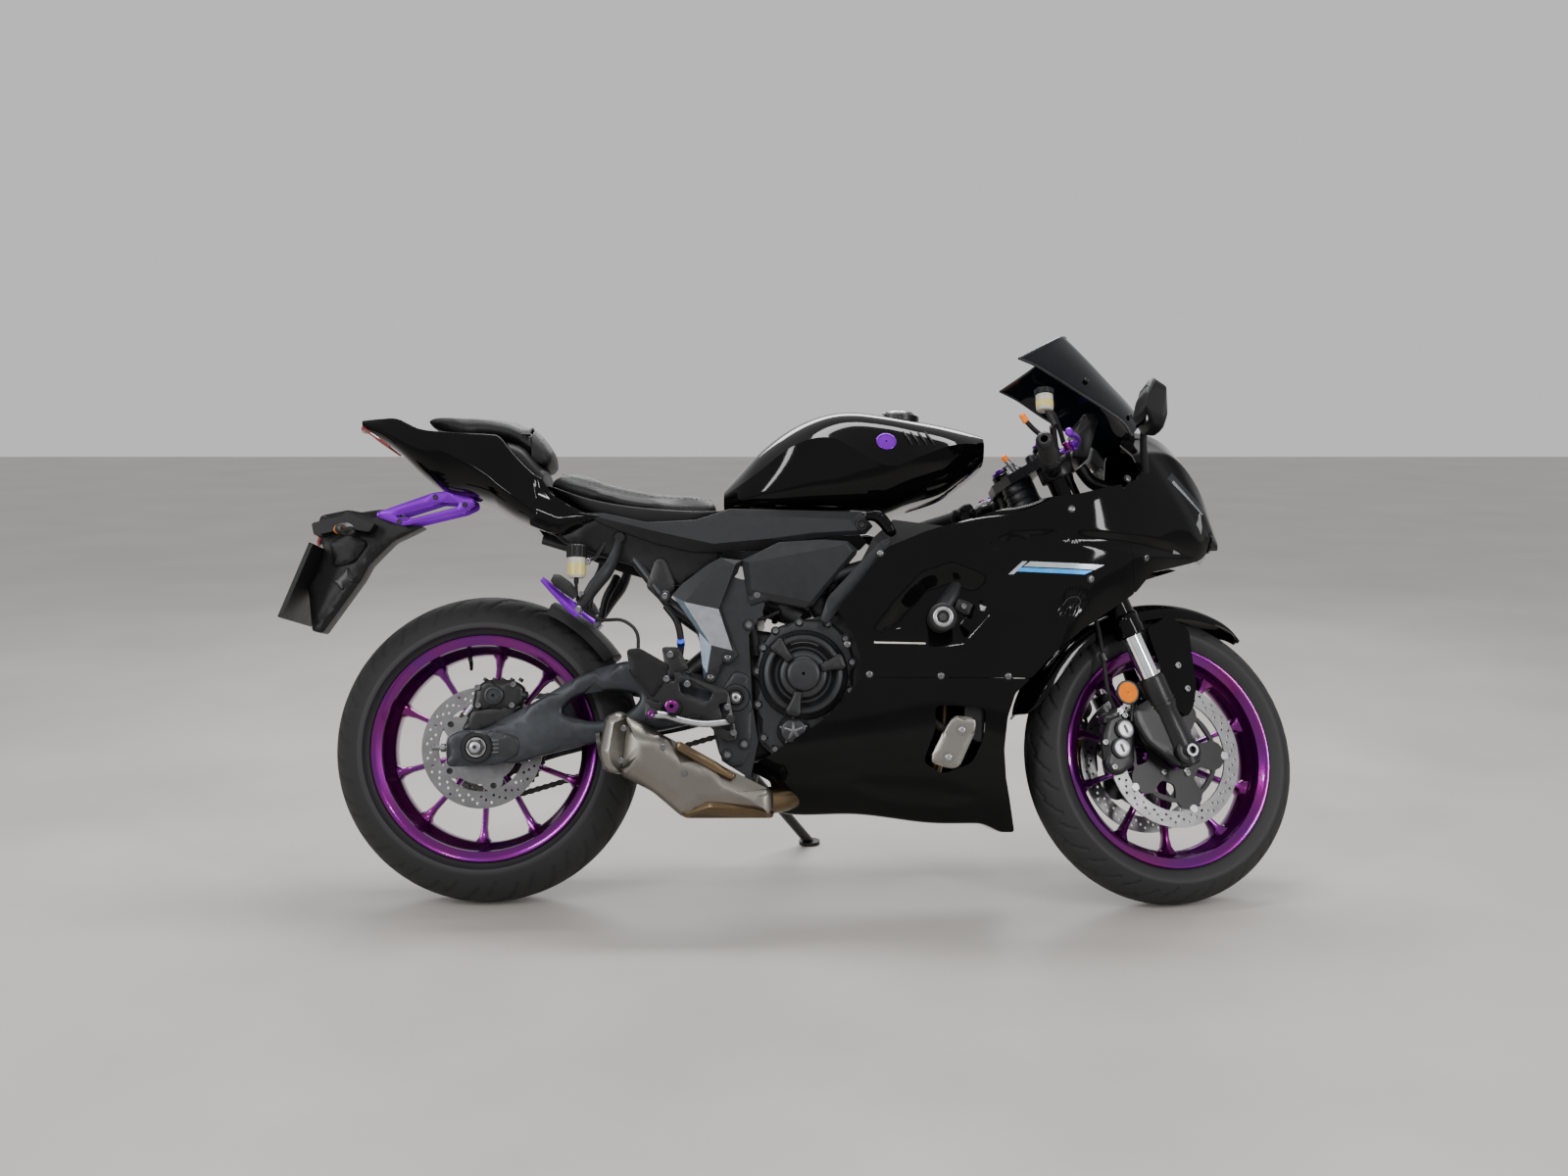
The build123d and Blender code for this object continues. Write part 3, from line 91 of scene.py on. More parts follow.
BIKE = basis(ahead_dir, side_dir, up_dir, ground_point) @ Matrix.Scale(MM, 4)
to_stop = Matrix.Rotation(STEER_REST, 4, steer_dir)
TURNED = Matrix.Translation(head_point) @ to_stop @ Matrix.Translation(-head_point) @ BIKE
AXIS_GROUND = Vector((WHEELBASE + TRAIL, 0, 0))
AXIS_DIR = Vector((-math.sin(RAKE), 0, math.cos(RAKE)))
FORK_DIR = Vector((math.cos(RAKE), 0, math.sin(RAKE)))
FRONT_AXLE = Vector((WHEELBASE, 0, FRONT_R))
REAR_AXLE = Vector((0, 0, REAR_R))
STEER_ORIGIN = AXIS_GROUND + AXIS_DIR * (FRONT_AXLE - AXIS_GROUND).dot(AXIS_DIR)
FORK_OFFSET = (FRONT_AXLE - STEER_ORIGIN).dot(FORK_DIR)
FORK_Y = 103.0


def steer_at(forward, left, up):
    """Point of the steering frame, in the bike frame with the steering straight."""
    return STEER_ORIGIN + FORK_DIR * forward + Vector((0, left, 0)) + AXIS_DIR * up


# --- materials ------------------------------------------------------------------------------
MATERIALS = {}


def finish(name, color, rough, metallic=0.0, second=None, spot=60.0, mix=0.5, bump=0.0, grain=400.0, **sockets):
    """Principled material with a mottled colour, an uneven roughness and a fine bump, all procedural."""
    mat = bpy.data.materials.new(name)
    mat.use_nodes = True
    tree = mat.node_tree
    nodes, links = tree.nodes, tree.links
    shader = nodes["Principled BSDF"]
    place = nodes.new("ShaderNodeTexCoord")
    blotch = nodes.new("ShaderNodeTexNoise")
    blotch.inputs["Scale"].default_value = spot
    blotch.inputs["Detail"].default_value = 5.0
    links.new(place.outputs["Object"], blotch.inputs["Vector"])
    ramp = nodes.new("ShaderNodeValToRGB")
    low, high = ramp.color_ramp.elements
    low.position, high.position = 0.5 - mix / 2, 0.5 + mix / 2
    low.color = (*color, 1)
    high.color = (*(second or tuple(min(1, c * 1.25 + 0.001) for c in color)), 1)
    links.new(blotch.outputs["Fac"], ramp.inputs["Fac"])
    links.new(ramp.outputs["Color"], shader.inputs["Base Color"])
    spread = nodes.new("ShaderNodeMapRange")
    spread.inputs["To Min"].default_value = rough * 0.85
    spread.inputs["To Max"].default_value = min(1.0, rough * 1.2)
    links.new(blotch.outputs["Fac"], spread.inputs["Value"])
    links.new(spread.outputs["Result"], shader.inputs["Roughness"])
    shader.inputs["Metallic"].default_value = metallic
    if bump:
        fine = nodes.new("ShaderNodeTexNoise")
        fine.inputs["Scale"].default_value = grain
        fine.inputs["Detail"].default_value = 3.0
        links.new(place.outputs["Object"], fine.inputs["Vector"])
        relief = nodes.new("ShaderNodeBump")
        relief.inputs["Strength"].default_value = bump
        relief.inputs["Distance"].default_value = 0.0006
        links.new(fine.outputs["Fac"], relief.inputs["Height"])
        links.new(relief.outputs["Normal"], shader.inputs["Normal"])
    for key, value in sockets.items():
        shader.inputs[key.replace("_", " ")].default_value = value
    MATERIALS[name] = mat
    return mat


finish("paint_black", (0.0012, 0.0012, 0.0014), 0.06, bump=0.015, grain=700, spot=8, Specular_IOR_Level=0.17)
finish("plastic_black", (0.005, 0.005, 0.0055), 0.42, bump=0.15, grain=1600, Specular_IOR_Level=0.22)
finish("cover_grey", (0.014, 0.0145, 0.016), 0.42, metallic=0.1, bump=0.2, grain=1800, Specular_IOR_Level=0.3)
finish("frame_grey", (0.016, 0.0165, 0.019), 0.36, metallic=0.45, bump=0.14, grain=1300)
finish("arm_grey", (0.024, 0.0265, 0.031), 0.36, metallic=0.55, bump=0.12, grain=1200)
finish("facet_silver", (0.3, 0.31, 0.33), 0.28, metallic=0.85, bump=0.1, grain=1500)
finish("engine_black", (0.007, 0.007, 0.0075), 0.42, metallic=0.2, bump=0.3, grain=1100)
finish("cover_black", (0.016, 0.0165, 0.018), 0.38, metallic=0.35, bump=0.15, grain=1500)
finish("metal_black", (0.006, 0.006, 0.0065), 0.34, metallic=0.1, bump=0.1, grain=900, Specular_IOR_Level=0.4)
finish("candy", (0.11, 0.001, 0.17), 0.22, metallic=0.9, second=(0.17, 0.001, 0.13), spot=9, mix=0.4, bump=0.02,
       Coat_Weight=0.5, Coat_Roughness=0.05)
finish("violet", (0.14, 0.001, 0.37), 0.28, metallic=0.5, second=(0.17, 0.002, 0.42), spot=6, Specular_IOR_Level=0.2)
finish("tread", (0.011, 0.011, 0.0115), 0.68, bump=0.35, grain=900, spot=30, Specular_IOR_Level=0.4)
finish("sidewall", (0.014, 0.014, 0.0148), 0.58, bump=0.2, grain=1200, spot=20, Specular_IOR_Level=0.4)
finish("rubber", (0.007, 0.007, 0.007), 0.62, bump=0.25, grain=900, Specular_IOR_Level=0.35)
finish("steel", (0.16, 0.16, 0.165), 0.3, metallic=1.0, bump=0.06, grain=2200)
finish("disc_steel", (0.24, 0.24, 0.25), 0.3, metallic=1.0, second=(0.15, 0.147, 0.143), spot=40, bump=0.08, grain=2600)
finish("blued_edge", (0.16, 0.2, 0.25), 0.3, metallic=0.8, bump=0.1, grain=1500)
finish("muffler_cap", (0.26, 0.245, 0.22), 0.32, metallic=0.95, second=(0.21, 0.198, 0.18), spot=14, bump=0.06,
       grain=2400)
finish("dark_steel", (0.06, 0.058, 0.056), 0.42, metallic=0.9, bump=0.12, grain=1400)
finish("chrome", (0.75, 0.76, 0.78), 0.08, metallic=1.0)
finish("alloy", (0.34, 0.34, 0.355), 0.32, metallic=1.0, bump=0.08, grain=1600)
finish("muffler_skin", (0.2, 0.185, 0.163), 0.36, metallic=0.95, second=(0.16, 0.147, 0.13), spot=14, bump=0.06,
       grain=2400)
finish("heat_gold", (0.24, 0.165, 0.085), 0.28, metallic=1.0, second=(0.1, 0.075, 0.055), spot=18, mix=0.7)
finish("leather", (0.005, 0.005, 0.0055), 0.46, bump=0.4, grain=1400, spot=30, Specular_IOR_Level=0.28)
finish("lens_amber", (0.72, 0.16, 0.0), 0.22, second=(0.8, 0.22, 0.0), bump=0.6, grain=500, Specular_IOR_Level=0.3)
finish("lens_red", (0.16, 0.003, 0.004), 0.15, Coat_Weight=0.6)
finish("lens_clear", (0.75, 0.77, 0.8), 0.05, Transmission_Weight=0.8)
finish("screen_smoke", (0.002, 0.003, 0.0045), 0.05, Transmission_Weight=0.2, Specular_IOR_Level=0.2)
finish("bottle", (0.55, 0.53, 0.42), 0.35, second=(0.62, 0.6, 0.52), Transmission_Weight=0.25)
finish("rib_grey", (0.1, 0.1, 0.105), 0.34, metallic=0.6, bump=0.1, grain=1500)
finish("thread", (0.02, 0.02, 0.021), 0.6, bump=0.2, grain=3000)
finish("alloy_dark", (0.12, 0.12, 0.125), 0.4, metallic=0.9, bump=0.1, grain=1600)
finish("screen_edge", (0.012, 0.013, 0.015), 0.2)
finish("bottle_fluid", (0.5, 0.42, 0.12), 0.3, second=(0.58, 0.5, 0.2))
finish("mirror_glass", (0.8, 0.82, 0.85), 0.03, metallic=1.0)
finish("dial_glow", (0.25, 0.32, 0.36), 0.3, second=(0.3, 0.38, 0.42))
finish("plate_white", (0.72, 0.72, 0.7), 0.4, bump=0.04)
finish("screen_dark", (0.004, 0.005, 0.006), 0.12)
finish("red_button", (0.5, 0.012, 0.01), 0.35)
finish("orange_fluid", (0.75, 0.18, 0.005), 0.35, Specular_IOR_Level=0.3)
finish("stripe_silver", (0.42, 0.45, 0.48), 0.25, metallic=0.7)
finish("stripe_blue", (0.03, 0.3, 0.75), 0.25, metallic=0.3)
# pale warm colour for a painted highlight along the lip under the fairing's recess
finish("edge_white", (0.62, 0.6, 0.52), 0.3)
finish("blue_metal", (0.02, 0.05, 0.4), 0.3, metallic=0.8)


# --- shapes ---------------------------------------------------------------------------------
class Piece:
    """Collects shapes, each with its own material, into one mesh."""

    def __init__(self):
        self.verts, self.faces, self.picks, self.names = [], [], [], []

    def add(self, shape, material):
        verts, faces = shape
        if material not in self.names:
            self.names.append(material)
        start = len(self.verts)
        self.verts += [Vector(v) for v in verts]
        self.faces += [[start + i for i in face] for face in faces]
        self.picks += [self.names.index(material)] * len(faces)
        return self

    def steer(self, shape, material):
        """Adds a shape given as (forward, left, up) in the steering frame."""
        verts, faces = shape
        return self.add(([steer_at(*v) for v in verts], faces), material)

    def mirrored(self):
        """Adds the mirror image of everything so far."""
        start = len(self.verts)
        self.verts += [Vector((v.x, -v.y, v.z)) for v in self.verts]
        self.faces += [[start + i for i in reversed(face)] for face in self.faces]
        self.picks += list(self.picks)
        return self

    def done(self, name, body="root", slot=None, replaces=(), place=None, bevel=0.0, crease=32.0, weld=True):
        """Makes the object, rides it on its body, and shades edges under the crease angle smoothly."""
        mesh = bpy.data.meshes.new(name)
        mesh.from_pydata(self.verts, [], self.faces)
        for index, material in enumerate(self.picks):
            mesh.polygons[index].material_index = material
        for material in self.names:
            mesh.materials.append(MATERIALS[material])
        work = bmesh.new()
        work.from_mesh(mesh)
        if weld:
            bmesh.ops.remove_doubles(work, verts=work.verts, dist=0.01)
        work.transform(place or BIKE)
        bmesh.ops.recalc_face_normals(work, faces=work.faces)
        limit = math.radians(crease)
        for edge in work.edges:
            edge.smooth = len(edge.link_faces) == 2 and edge.calc_face_angle(0) < limit
        for face in work.faces:
            face.smooth = True
        work.to_mesh(mesh)
        work.free()
        piece = bpy.data.objects.new(name, mesh)
        bpy.context.scene.collection.objects.link(piece)
        if bevel:
            round_off = piece.modifiers.new("edges", "BEVEL")
            round_off.width = bevel * MM
            round_off.segments = 2
            round_off.limit_method = "ANGLE"
            round_off.angle_limit = math.radians(40)
            round_off.harden_normals = False
        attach(piece, body)
        if replaces:
            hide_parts(*replaces)
        return piece


def moved(shape, matrix):
    """Shape carried by a matrix."""
    verts, faces = shape
    return [matrix @ Vector(v) for v in verts], faces


def joined(*shapes):
    """Several shapes as one."""
    verts, faces = [], []
    for more_verts, more_faces in shapes:
        start = len(verts)
        verts += list(more_verts)
        faces += [[start + i for i in face] for face in more_faces]
    return verts, faces


def grid_faces(rows, columns, wrap_rows=False, wrap_columns=False):
    """Quads over rows x columns of points held row by row."""
    faces = []
    for i in range(rows if wrap_rows else rows - 1):
        for j in range(columns if wrap_columns else columns - 1):
            i2, j2 = (i + 1) % rows, (j + 1) % columns
            faces.append([i * columns + j, i2 * columns + j, i2 * columns + j2, i * columns + j2])
    return faces


def capped(rows):
    """Closed form over rings of points, with a cap on each end."""
    width = len(rows[0])
    verts = [p for row in rows for p in row]
    faces = grid_faces(len(rows), width, False, True)
    return verts, faces + [list(range(width)), [len(verts) - width + i for i in range(width)][::-1]]


def lathe(profile, steps=96, centre=(0, 0, 0), axis=(0, 1, 0), closed=True):
    """Turns (along, radius) points about an axis through the centre."""
    along = Vector(axis).normalized()
    across = along.orthogonal().normalized() if abs(along.y) < 0.99 else Vector((1, 0, 0))
    third = along.cross(across)
    verts = []
    for step in range(steps):
        angle = 2 * math.pi * step / steps
        out = across * math.cos(angle) + third * math.sin(angle)
        verts += [Vector(centre) + along * a + out * r for a, r in profile]
    return verts, grid_faces(steps, len(profile), True, closed)


def disc(profile, steps, centre, axis=(0, 1, 0)):
    """Turned form whose profile starts and ends next to the axis."""
    return lathe(profile, steps, centre, axis, closed=False)


def rod(start, end, radius, steps=20, end_radius=None, round_off=0.0):
    """Solid round bar or cone between two points."""
    start, end = Vector(start), Vector(end)
    length = (end - start).length
    tip = radius if end_radius is None else end_radius
    cut = round_off
    profile = [(0, 0.01), (0, radius - cut), (cut, radius), (length - cut, tip), (length, tip - cut), (length, 0.01)]
    return disc(profile, steps, start, end - start)


def catmull(a, b, c, d, t):
    """Point between b and c on a smooth curve through all four."""
    return 0.5 * (2 * b + (c - a) * t + (2 * a - 5 * b + 4 * c - d) * t * t + (3 * b - a - 3 * c + d) * t**3)


def smooth_path(points, steps=6, closed=False):
    """Points along a smooth curve through the given ones."""
    pts = [Vector(p) for p in points]
    count = len(pts)
    path = []
    for i in range(count if closed else count - 1):
        if closed:
            a, b, c, d = (pts[(i + k) % count] for k in (-1, 0, 1, 2))
        else:
            b, c = pts[i], pts[i + 1]
            a = pts[i - 1] if i else b * 2 - c
            d = pts[i + 2] if i + 2 < count else c * 2 - b
        path += [catmull(a, b, c, d, k / steps) for k in range(steps)]
    return path if closed else path + [pts[-1]]


def tube(points, radius, sides=14, steps=6, flat=1.0, smooth=True):
    """Round or flattened bar along a smooth path; radius may be one value or one for each point."""
    path = smooth_path(points, steps) if smooth else [Vector(p) for p in points]
    radii = [radius] * len(points) if isinstance(radius, (int, float)) else list(radius)
    verts = []
    normal = (path[1] - path[0]).orthogonal().normalized()
    for index, point in enumerate(path):
        ahead = path[min(index + 1, len(path) - 1)] - path[max(index - 1, 0)]
        ahead.normalize()
        normal = (normal - ahead * normal.dot(ahead)).normalized()
        third = ahead.cross(normal)
        place = index / (steps if smooth else 1)
        low = min(int(place), len(radii) - 1)
        high = min(low + 1, len(radii) - 1)
        r = radii[low] + (radii[high] - radii[low]) * (place - low)
        for side in range(sides):
            angle = 2 * math.pi * side / sides
            verts.append(point + (normal * math.cos(angle) + third * math.sin(angle) * flat) * r)
    faces = grid_faces(len(path), sides, False, True)
    faces += [list(range(sides))[::-1], [len(verts) - sides + i for i in range(sides)]]
    return verts, faces


def circle(x, z, radius, steps=20):
    """Outline of a circle."""
    return [(x + radius * math.cos(2 * math.pi * i / steps), z + radius * math.sin(2 * math.pi * i / steps))
            for i in range(steps)]


def rounded(outline, radius, steps=4):
    """Outline with each corner rounded as far as its two edges allow."""
    result = []
    count = len(outline)
    for i in range(count):
        before, corner, after = (Vector(outline[(i + k) % count][:2]) for k in (-1, 0, 1))
        back, ahead = before - corner, after - corner
        reach = min(radius, back.length * 0.45, ahead.length * 0.45)
        start, end = corner + back.normalized() * reach, corner + ahead.normalized() * reach
        for k in range(steps + 1):
            t = k / steps
            result.append(tuple(start * (1 - t) ** 2 + corner * 2 * t * (1 - t) + end * t**2))
    return result


def inside(point, loop):
    """Whether a point lies in a closed outline."""
    x, z = point
    hit = False
    for (x1, z1), (x2, z2) in zip(loop, loop[1:] + loop[:1]):
        if (z1 > z) != (z2 > z) and x < (x2 - x1) * (z - z1) / (z2 - z1) + x1:
            hit = not hit
    return hit


def fill(loops, extra=()):
    """Triangles over the first loop, less the others; extra points shape the inside."""
    verts = [Vector(p[:2]) for loop in loops for p in loop]
    edges, start = [], 0
    for loop in loops:
        edges += [(start + i, start + (i + 1) % len(loop)) for i in range(len(loop))]
        start += len(loop)
    verts += [Vector(p) for p in extra]
    out, _, faces, *_ = geometry.delaunay_2d_cdt(verts, edges, [], 1, 1e-4)
    kept = []
    for face in faces:
        middle = sum((out[i] for i in face), Vector((0, 0))) / len(face)
        flat = [tuple(p[:2]) for p in loops[0]]
        if inside(middle, flat) and not any(inside(middle, [tuple(p[:2]) for p in hole]) for hole in loops[1:]):
            kept.append(face)
    return out, kept


def walled(back, front, loops, caps):
    """Closed form between two copies of a filled outline."""
    count = len(back)
    faces = list(caps) + [[count + i for i in reversed(face)] for face in caps]
    start = 0
    for loop in loops:
        for i in range(len(loop)):
            a, b = start + i, start + (i + 1) % len(loop)
            faces.append([a, b, count + b, count + a])
        start += len(loop)
    return back + front, faces


def slab(loops, y_low, y_high):
    """Flat piece cut to an (x, z) outline with holes, from y_low to y_high."""
    if isinstance(loops[0][0], (int, float)):
        loops = [loops]
    flat, caps = fill(loops)
    return walled([(p.x, y_low, p.y) for p in flat], [(p.x, y_high, p.y) for p in flat], loops, caps)


def bolt(place, direction, radius=6.0, height=4.0):
    """Round screw head with a recess."""
    along = Vector(direction).normalized()
    shape = [(0, radius), (height * 0.75, radius), (height, radius * 0.82), (height, radius * 0.5),
             (height * 0.4, radius * 0.45), (height * 0.4, 0.01)]
    return disc(shape, 12, place, along)


def bolts(places, side=-1, radius=6.0, height=4.0):
    """Screw heads that face one side."""
    return joined(*[bolt(p, (0, side, 0), radius, height) for p in places])


# --- camera, light and floor ----------------------------------------------------------------
LENS, SENSOR = 37.45, 36.0
CAMERA_FROM_REAR_HUB = Vector((0.6112, -3.3107, 0.8198))
CAMERA_TILT = math.radians(-8.30)
camera_data = bpy.data.cameras.new("camera")
camera_data.lens, camera_data.sensor_width = LENS, SENSOR
camera = bpy.data.objects.new("camera", camera_data)
camera.location = rear_hub + CAMERA_FROM_REAR_HUB
camera.rotation_euler = (math.pi / 2 + CAMERA_TILT, 0, 0)
bpy.context.scene.collection.objects.link(camera)
bpy.context.scene.camera = camera

FLOOR_COLOR = (0.4, 0.38, 0.35)
finish("floor", FLOOR_COLOR, 0.5, spot=1.5, bump=0.03, grain=60)
floor_mesh = bpy.data.meshes.new("floor")
FLOOR_REACH = 14.0
floor_mesh.from_pydata([(x * FLOOR_REACH, y * FLOOR_REACH, 0) for x, y in ((-1, -1), (1, -1), (1, 1), (-1, 1))], [],
                       [(0, 1, 2, 3)])
floor_mesh.materials.append(MATERIALS["floor"])
floor = bpy.data.objects.new("floor", floor_mesh)
bpy.context.scene.collection.objects.link(floor)
floor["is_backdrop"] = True

WORLD_COLOR, WORLD_STRENGTH = (0.82, 0.82, 0.83, 1), 0.82
world = bpy.data.worlds.new("studio")
world.use_nodes = True
background = world.node_tree.nodes["Background"]
background.inputs["Color"].default_value = WORLD_COLOR
background.inputs["Strength"].default_value = WORLD_STRENGTH
bpy.context.scene.world = world
# name, place, aim, width, height, watts, shown in reflections
LIGHTS = [
    ("over", (0.0, 0.7, 3.3), (0.0, 0.0, 0.5), 2.6, 0.5, 90, True),
    ("front_left", (-2.6, -3.0, 2.2), (-0.2, 0.0, 0.6), 0.3, 1.8, 60, True),
    ("front_right", (2.8, -2.8, 2.0), (0.3, 0.0, 0.6), 0.3, 1.8, 60, True),
    ("low_front", (0.2, -3.6, 0.9), (0.0, 0.0, 0.4), 3.0, 0.5, 26, False),
    ("behind", (0.0, 3.2, 2.4), (0.0, 0.0, 0.5), 3.0, 0.8, 60, True),
    ("spark_left", (-0.9, -3.4, 2.9), (0.0, 0.0, 0.7), 0.3, 0.16, 12, True),
    ("spark_right", (0.7, -3.2, 2.6), (0.2, 0.0, 0.6), 0.2, 0.2, 8, True),
]
for name, place, aim, width, height, watts, shown in LIGHTS:
    light = bpy.data.lights.new(name, "AREA")
    light.shape, light.size, light.size_y, light.energy = "RECTANGLE", width, height, watts
    lamp = bpy.data.objects.new(name, light)
    lamp.visible_glossy = shown
    lamp.location = place
    lamp.rotation_euler = (Vector(aim) - Vector(place)).to_track_quat("-Z", "Y").to_euler()
    bpy.context.scene.collection.objects.link(lamp)

# --- wheels ---------------------------------------------------------------------------------
SPOKE_PAIR = 16.4
GROOVE_DEPTH, GROOVE_HALF = 3.2, 2.6
TYRE_STEPS, CROWN_ROWS, WALL_COLUMNS = 560, 44, 5


def tyre(axle, radius, width, crown, bead, groove_sets):
    """Tyre with a round crown, a bead that hides in the rim and slanted tread grooves."""
    half = width / 2
    shoulder = radius - crown + math.sqrt(crown**2 - half**2)
    shape = [(-bead + 1, 229), (-bead - 2, 234), (-bead - 7, 240)]
    low_angle = math.asin(half / crown)
    shape += [(-half + 1.5, shoulder - 6)]
    for k in range(CROWN_ROWS + 1):
        angle = -low_angle + 2 * low_angle * k / CROWN_ROWS
        shape.append((crown * math.sin(angle), radius - crown + crown * math.cos(angle)))
    shape += [(half - 1.5, shoulder - 6), (bead + 7, 240), (bead + 2, 234), (bead - 1, 229)]
    pitch = 2 * math.pi / groove_sets
    marks = [((0.05, 0.1), (0.5, 0.42)), ((0.55, 0.36), (0.95, 0.78)), ((0.15, 0.6), (0.42, 0.86))]
    verts = []
    for step in range(TYRE_STEPS):
        angle = 2 * math.pi * step / TYRE_STEPS
        out = Vector((math.cos(angle), 0, math.sin(angle)))
        for across, r in shape:
            share = abs(across) / half
            phase = (angle / pitch + (0.5 if across < 0 else 0.0)) % 1.0
            depth = 0.0
            if r > shoulder + 2:
                for (p0, s0), (p1, s1) in marks:
                    a, b = Vector((p0, s0)), Vector((p1, s1))
                    unit = Vector((pitch * radius, half))
                    point = Vector((phase, share))
                    run = b - a
                    t = max(0.0, min(1.0, (point - a).dot(run) / run.length_squared))
                    gap = (point - a - run * t) * unit
                    if gap.length < GROOVE_HALF:
                        depth = GROOVE_DEPTH
            verts.append(axle + Vector((0, across, 0)) + out * (r - depth))
    return verts, grid_faces(TYRE_STEPS, len(shape), True, False), len(shape)


def dress_tyre(name, node, body, place, *sizes):
    """Tyre with its tread and its walls in their own rubber, and a lining."""
    verts, faces, columns = tyre(*sizes)
    wall = Piece()
    on_tread = [WALL_COLUMNS <= i % (columns - 1) <= columns - WALL_COLUMNS - 2 for i in range(len(faces))]
    tread_faces = [face for face, tread in zip(faces, on_tread) if tread]
    wall_faces = [face for face, tread in zip(faces, on_tread) if not tread]
    wall.add((verts, tread_faces), "tread")
    wall.add((verts, wall_faces), "sidewall")
    axle, radius, _, _, bead, _ = sizes
    inner = [(-bead + 1, 229), (-bead + 8, 240), (0, radius - 14), (bead - 8, 240), (bead - 1, 229)]
    wall.add(disc(inner, 96, axle), "sidewall")
    return wall.done(name, body, "tyre", [node], place, crease=50)


def wheel(axle, half, hub_half, phase, name, node, body, place):
    """Cast wheel: rolled flanges, drop centre, five pairs of thin spokes and a hub."""
    piece = Piece()
    barrel = [
        (-half - 6, 225), (-half - 6.5, 229), (-half - 4, 231.5), (-half - 1, 230), (-half + 1, 222), (-half + 5, 217),
        (-half * 0.66, 214), (-half * 0.42, 200), (half * 0.42, 200), (half * 0.66, 214), (half - 5, 217),
        (half - 1, 222), (half + 1, 230), (half + 4, 231.5), (half + 6.5, 229), (half + 6, 225), (half + 3, 219),
        (half - 2, 210), (half * 0.62, 207), (half * 0.4, 196), (half * 0.2, 192), (-half * 0.2, 192),
        (-half * 0.4, 196), (-half * 0.62, 207), (-half + 2, 210), (-half - 3, 219),
    ]
    piece.add(lathe(barrel, 192, axle), "candy")
    for pair in range(5):
        for sign in (-1, 1):
            angle = math.radians(phase + 72 * pair + sign * SPOKE_PAIR)
            out = Vector((math.cos(angle), 0, math.sin(angle)))
            turn = Vector((-math.sin(angle), 0, math.cos(angle)))
            rings = []
            # radius along the spoke, half width, half depth
            for r, wide, deep in [(30, 15, 24), (46, 11, 21), (70, 7.5, 15), (120, 6.2, 12), (165, 6.6, 13),
                                  (183, 10, 17), (194, 19, 21), (199, 27, 23)]:
                centre = axle + out * r - turn * sign * max(0, (60 - r)) * 0.12
                ring = []
                for k in range(12):
                    a = 2 * math.pi * k / 12
                    c, s = math.cos(a), math.sin(a)
                    squash = (abs(c) ** 3 + abs(s) ** 3) ** (-1 / 3)
                    ring.append(centre + turn * wide * c * squash + Vector((0, deep * s * squash, 0)))
                rings.append(ring)
            piece.add(capped(rings), "candy")
    hub = [(-hub_half, 13), (-hub_half, 36), (-hub_half + 4, 40), (-30, 38), (-24, 46), (0, 44), (24, 46), (30, 38),
           (hub_half - 4, 40), (hub_half, 36), (hub_half, 13)]
    piece.add(lathe(hub, 64, axle), "candy")
    valve = Vector((math.cos(math.radians(phase + 36)), 0, math.sin(math.radians(phase + 36))))
    piece.add(tube([axle + valve * 196, axle + valve * 182, axle + valve * 168 + Vector((0, -14, 0))], [5, 4.4, 3.6],
                   10), "metal_black")
    return piece.done(name, body, "candy_purple", [node], place, crease=40)


dress_tyre("rear_tyre_tread", "rear_tyre", "rear_wheel", BIKE, REAR_AXLE, REAR_R, 180, 95, 70, 22)
dress_tyre("front_tyre_tread", "front_tyre", "front_wheel", TURNED, FRONT_AXLE, FRONT_R, 120, 64, 45, 20)
REAR_PHASE, FRONT_PHASE = 68.0, 38.0
wheel(REAR_AXLE, 70, 87.7, REAR_PHASE, "rear_rim_cast", "rear_rim", "rear_wheel", BIKE)
wheel(FRONT_AXLE, 45, 59.7, FRONT_PHASE, "front_rim_cast", "front_rim", "front_wheel", TURNED)


def drilled(axle, outer, inner, y, thick, rows, count):
    """Friction ring with slanting rows of cooling holes."""
    holes = []
    for k in range(count):
        for row in range(rows):
            r = inner + (outer - inner) * (0.2 + 0.6 * (row + 0.5) / rows)
            a = 2 * math.pi * (k + row * 0.37) / count
            holes.append(circle(axle.x + r * math.cos(a), axle.z + r * math.sin(a), 3.0, 8))
    return slab([circle(axle.x, axle.z, outer, 128), circle(axle.x, axle.z, inner, 96)] + holes, y - thick / 2,
                y + thick / 2)


front_discs = Piece()
front_discs.add(drilled(FRONT_AXLE, 149, 116, 62, 4.5, 3, 28), "disc_steel")
star = []
for k in range(80):
    a = 2 * math.pi * k / 80
    r = 98 + 18 * max(0.0, math.cos(5 * a)) ** 0.7
    star.append((FRONT_AXLE.x + r * math.cos(a), FRONT_AXLE.z + r * math.sin(a)))
windows = []
for k in range(5):
    a = math.radians(72 * k + 36)
    out = Vector((math.cos(a), math.sin(a)))
    turn = Vector((-out.y, out.x))
    mid = Vector((FRONT_AXLE.x, FRONT_AXLE.z)) + out * 72
    windows.append(rounded([tuple(mid + out * p + turn * q) for p, q in ((16, -26), (16, 26), (-12, 15), (-12, -15))],
                           8))
front_discs.add(slab([star, circle(FRONT_AXLE.x, FRONT_AXLE.z, 30, 40)] + windows, 57.5, 64.5), "metal_black")
for k in range(5):
    a = math.radians(72 * k)
    place = FRONT_AXLE + Vector((116 * math.cos(a), 66, 116 * math.sin(a)))
    front_discs.add(rod(place - Vector((0, 8, 0)), place, 9, 18, round_off=1), "alloy")
    place = FRONT_AXLE + Vector((46 * math.cos(a + 0.3), 64.5, 46 * math.sin(a + 0.3)))
    front_discs.add(bolt(place, (0, 1, 0), 6.5, 4), "steel")
front_discs.mirrored().done("front_discs_drilled", "front_wheel", "disc_steel", ["front_discs"], TURNED)

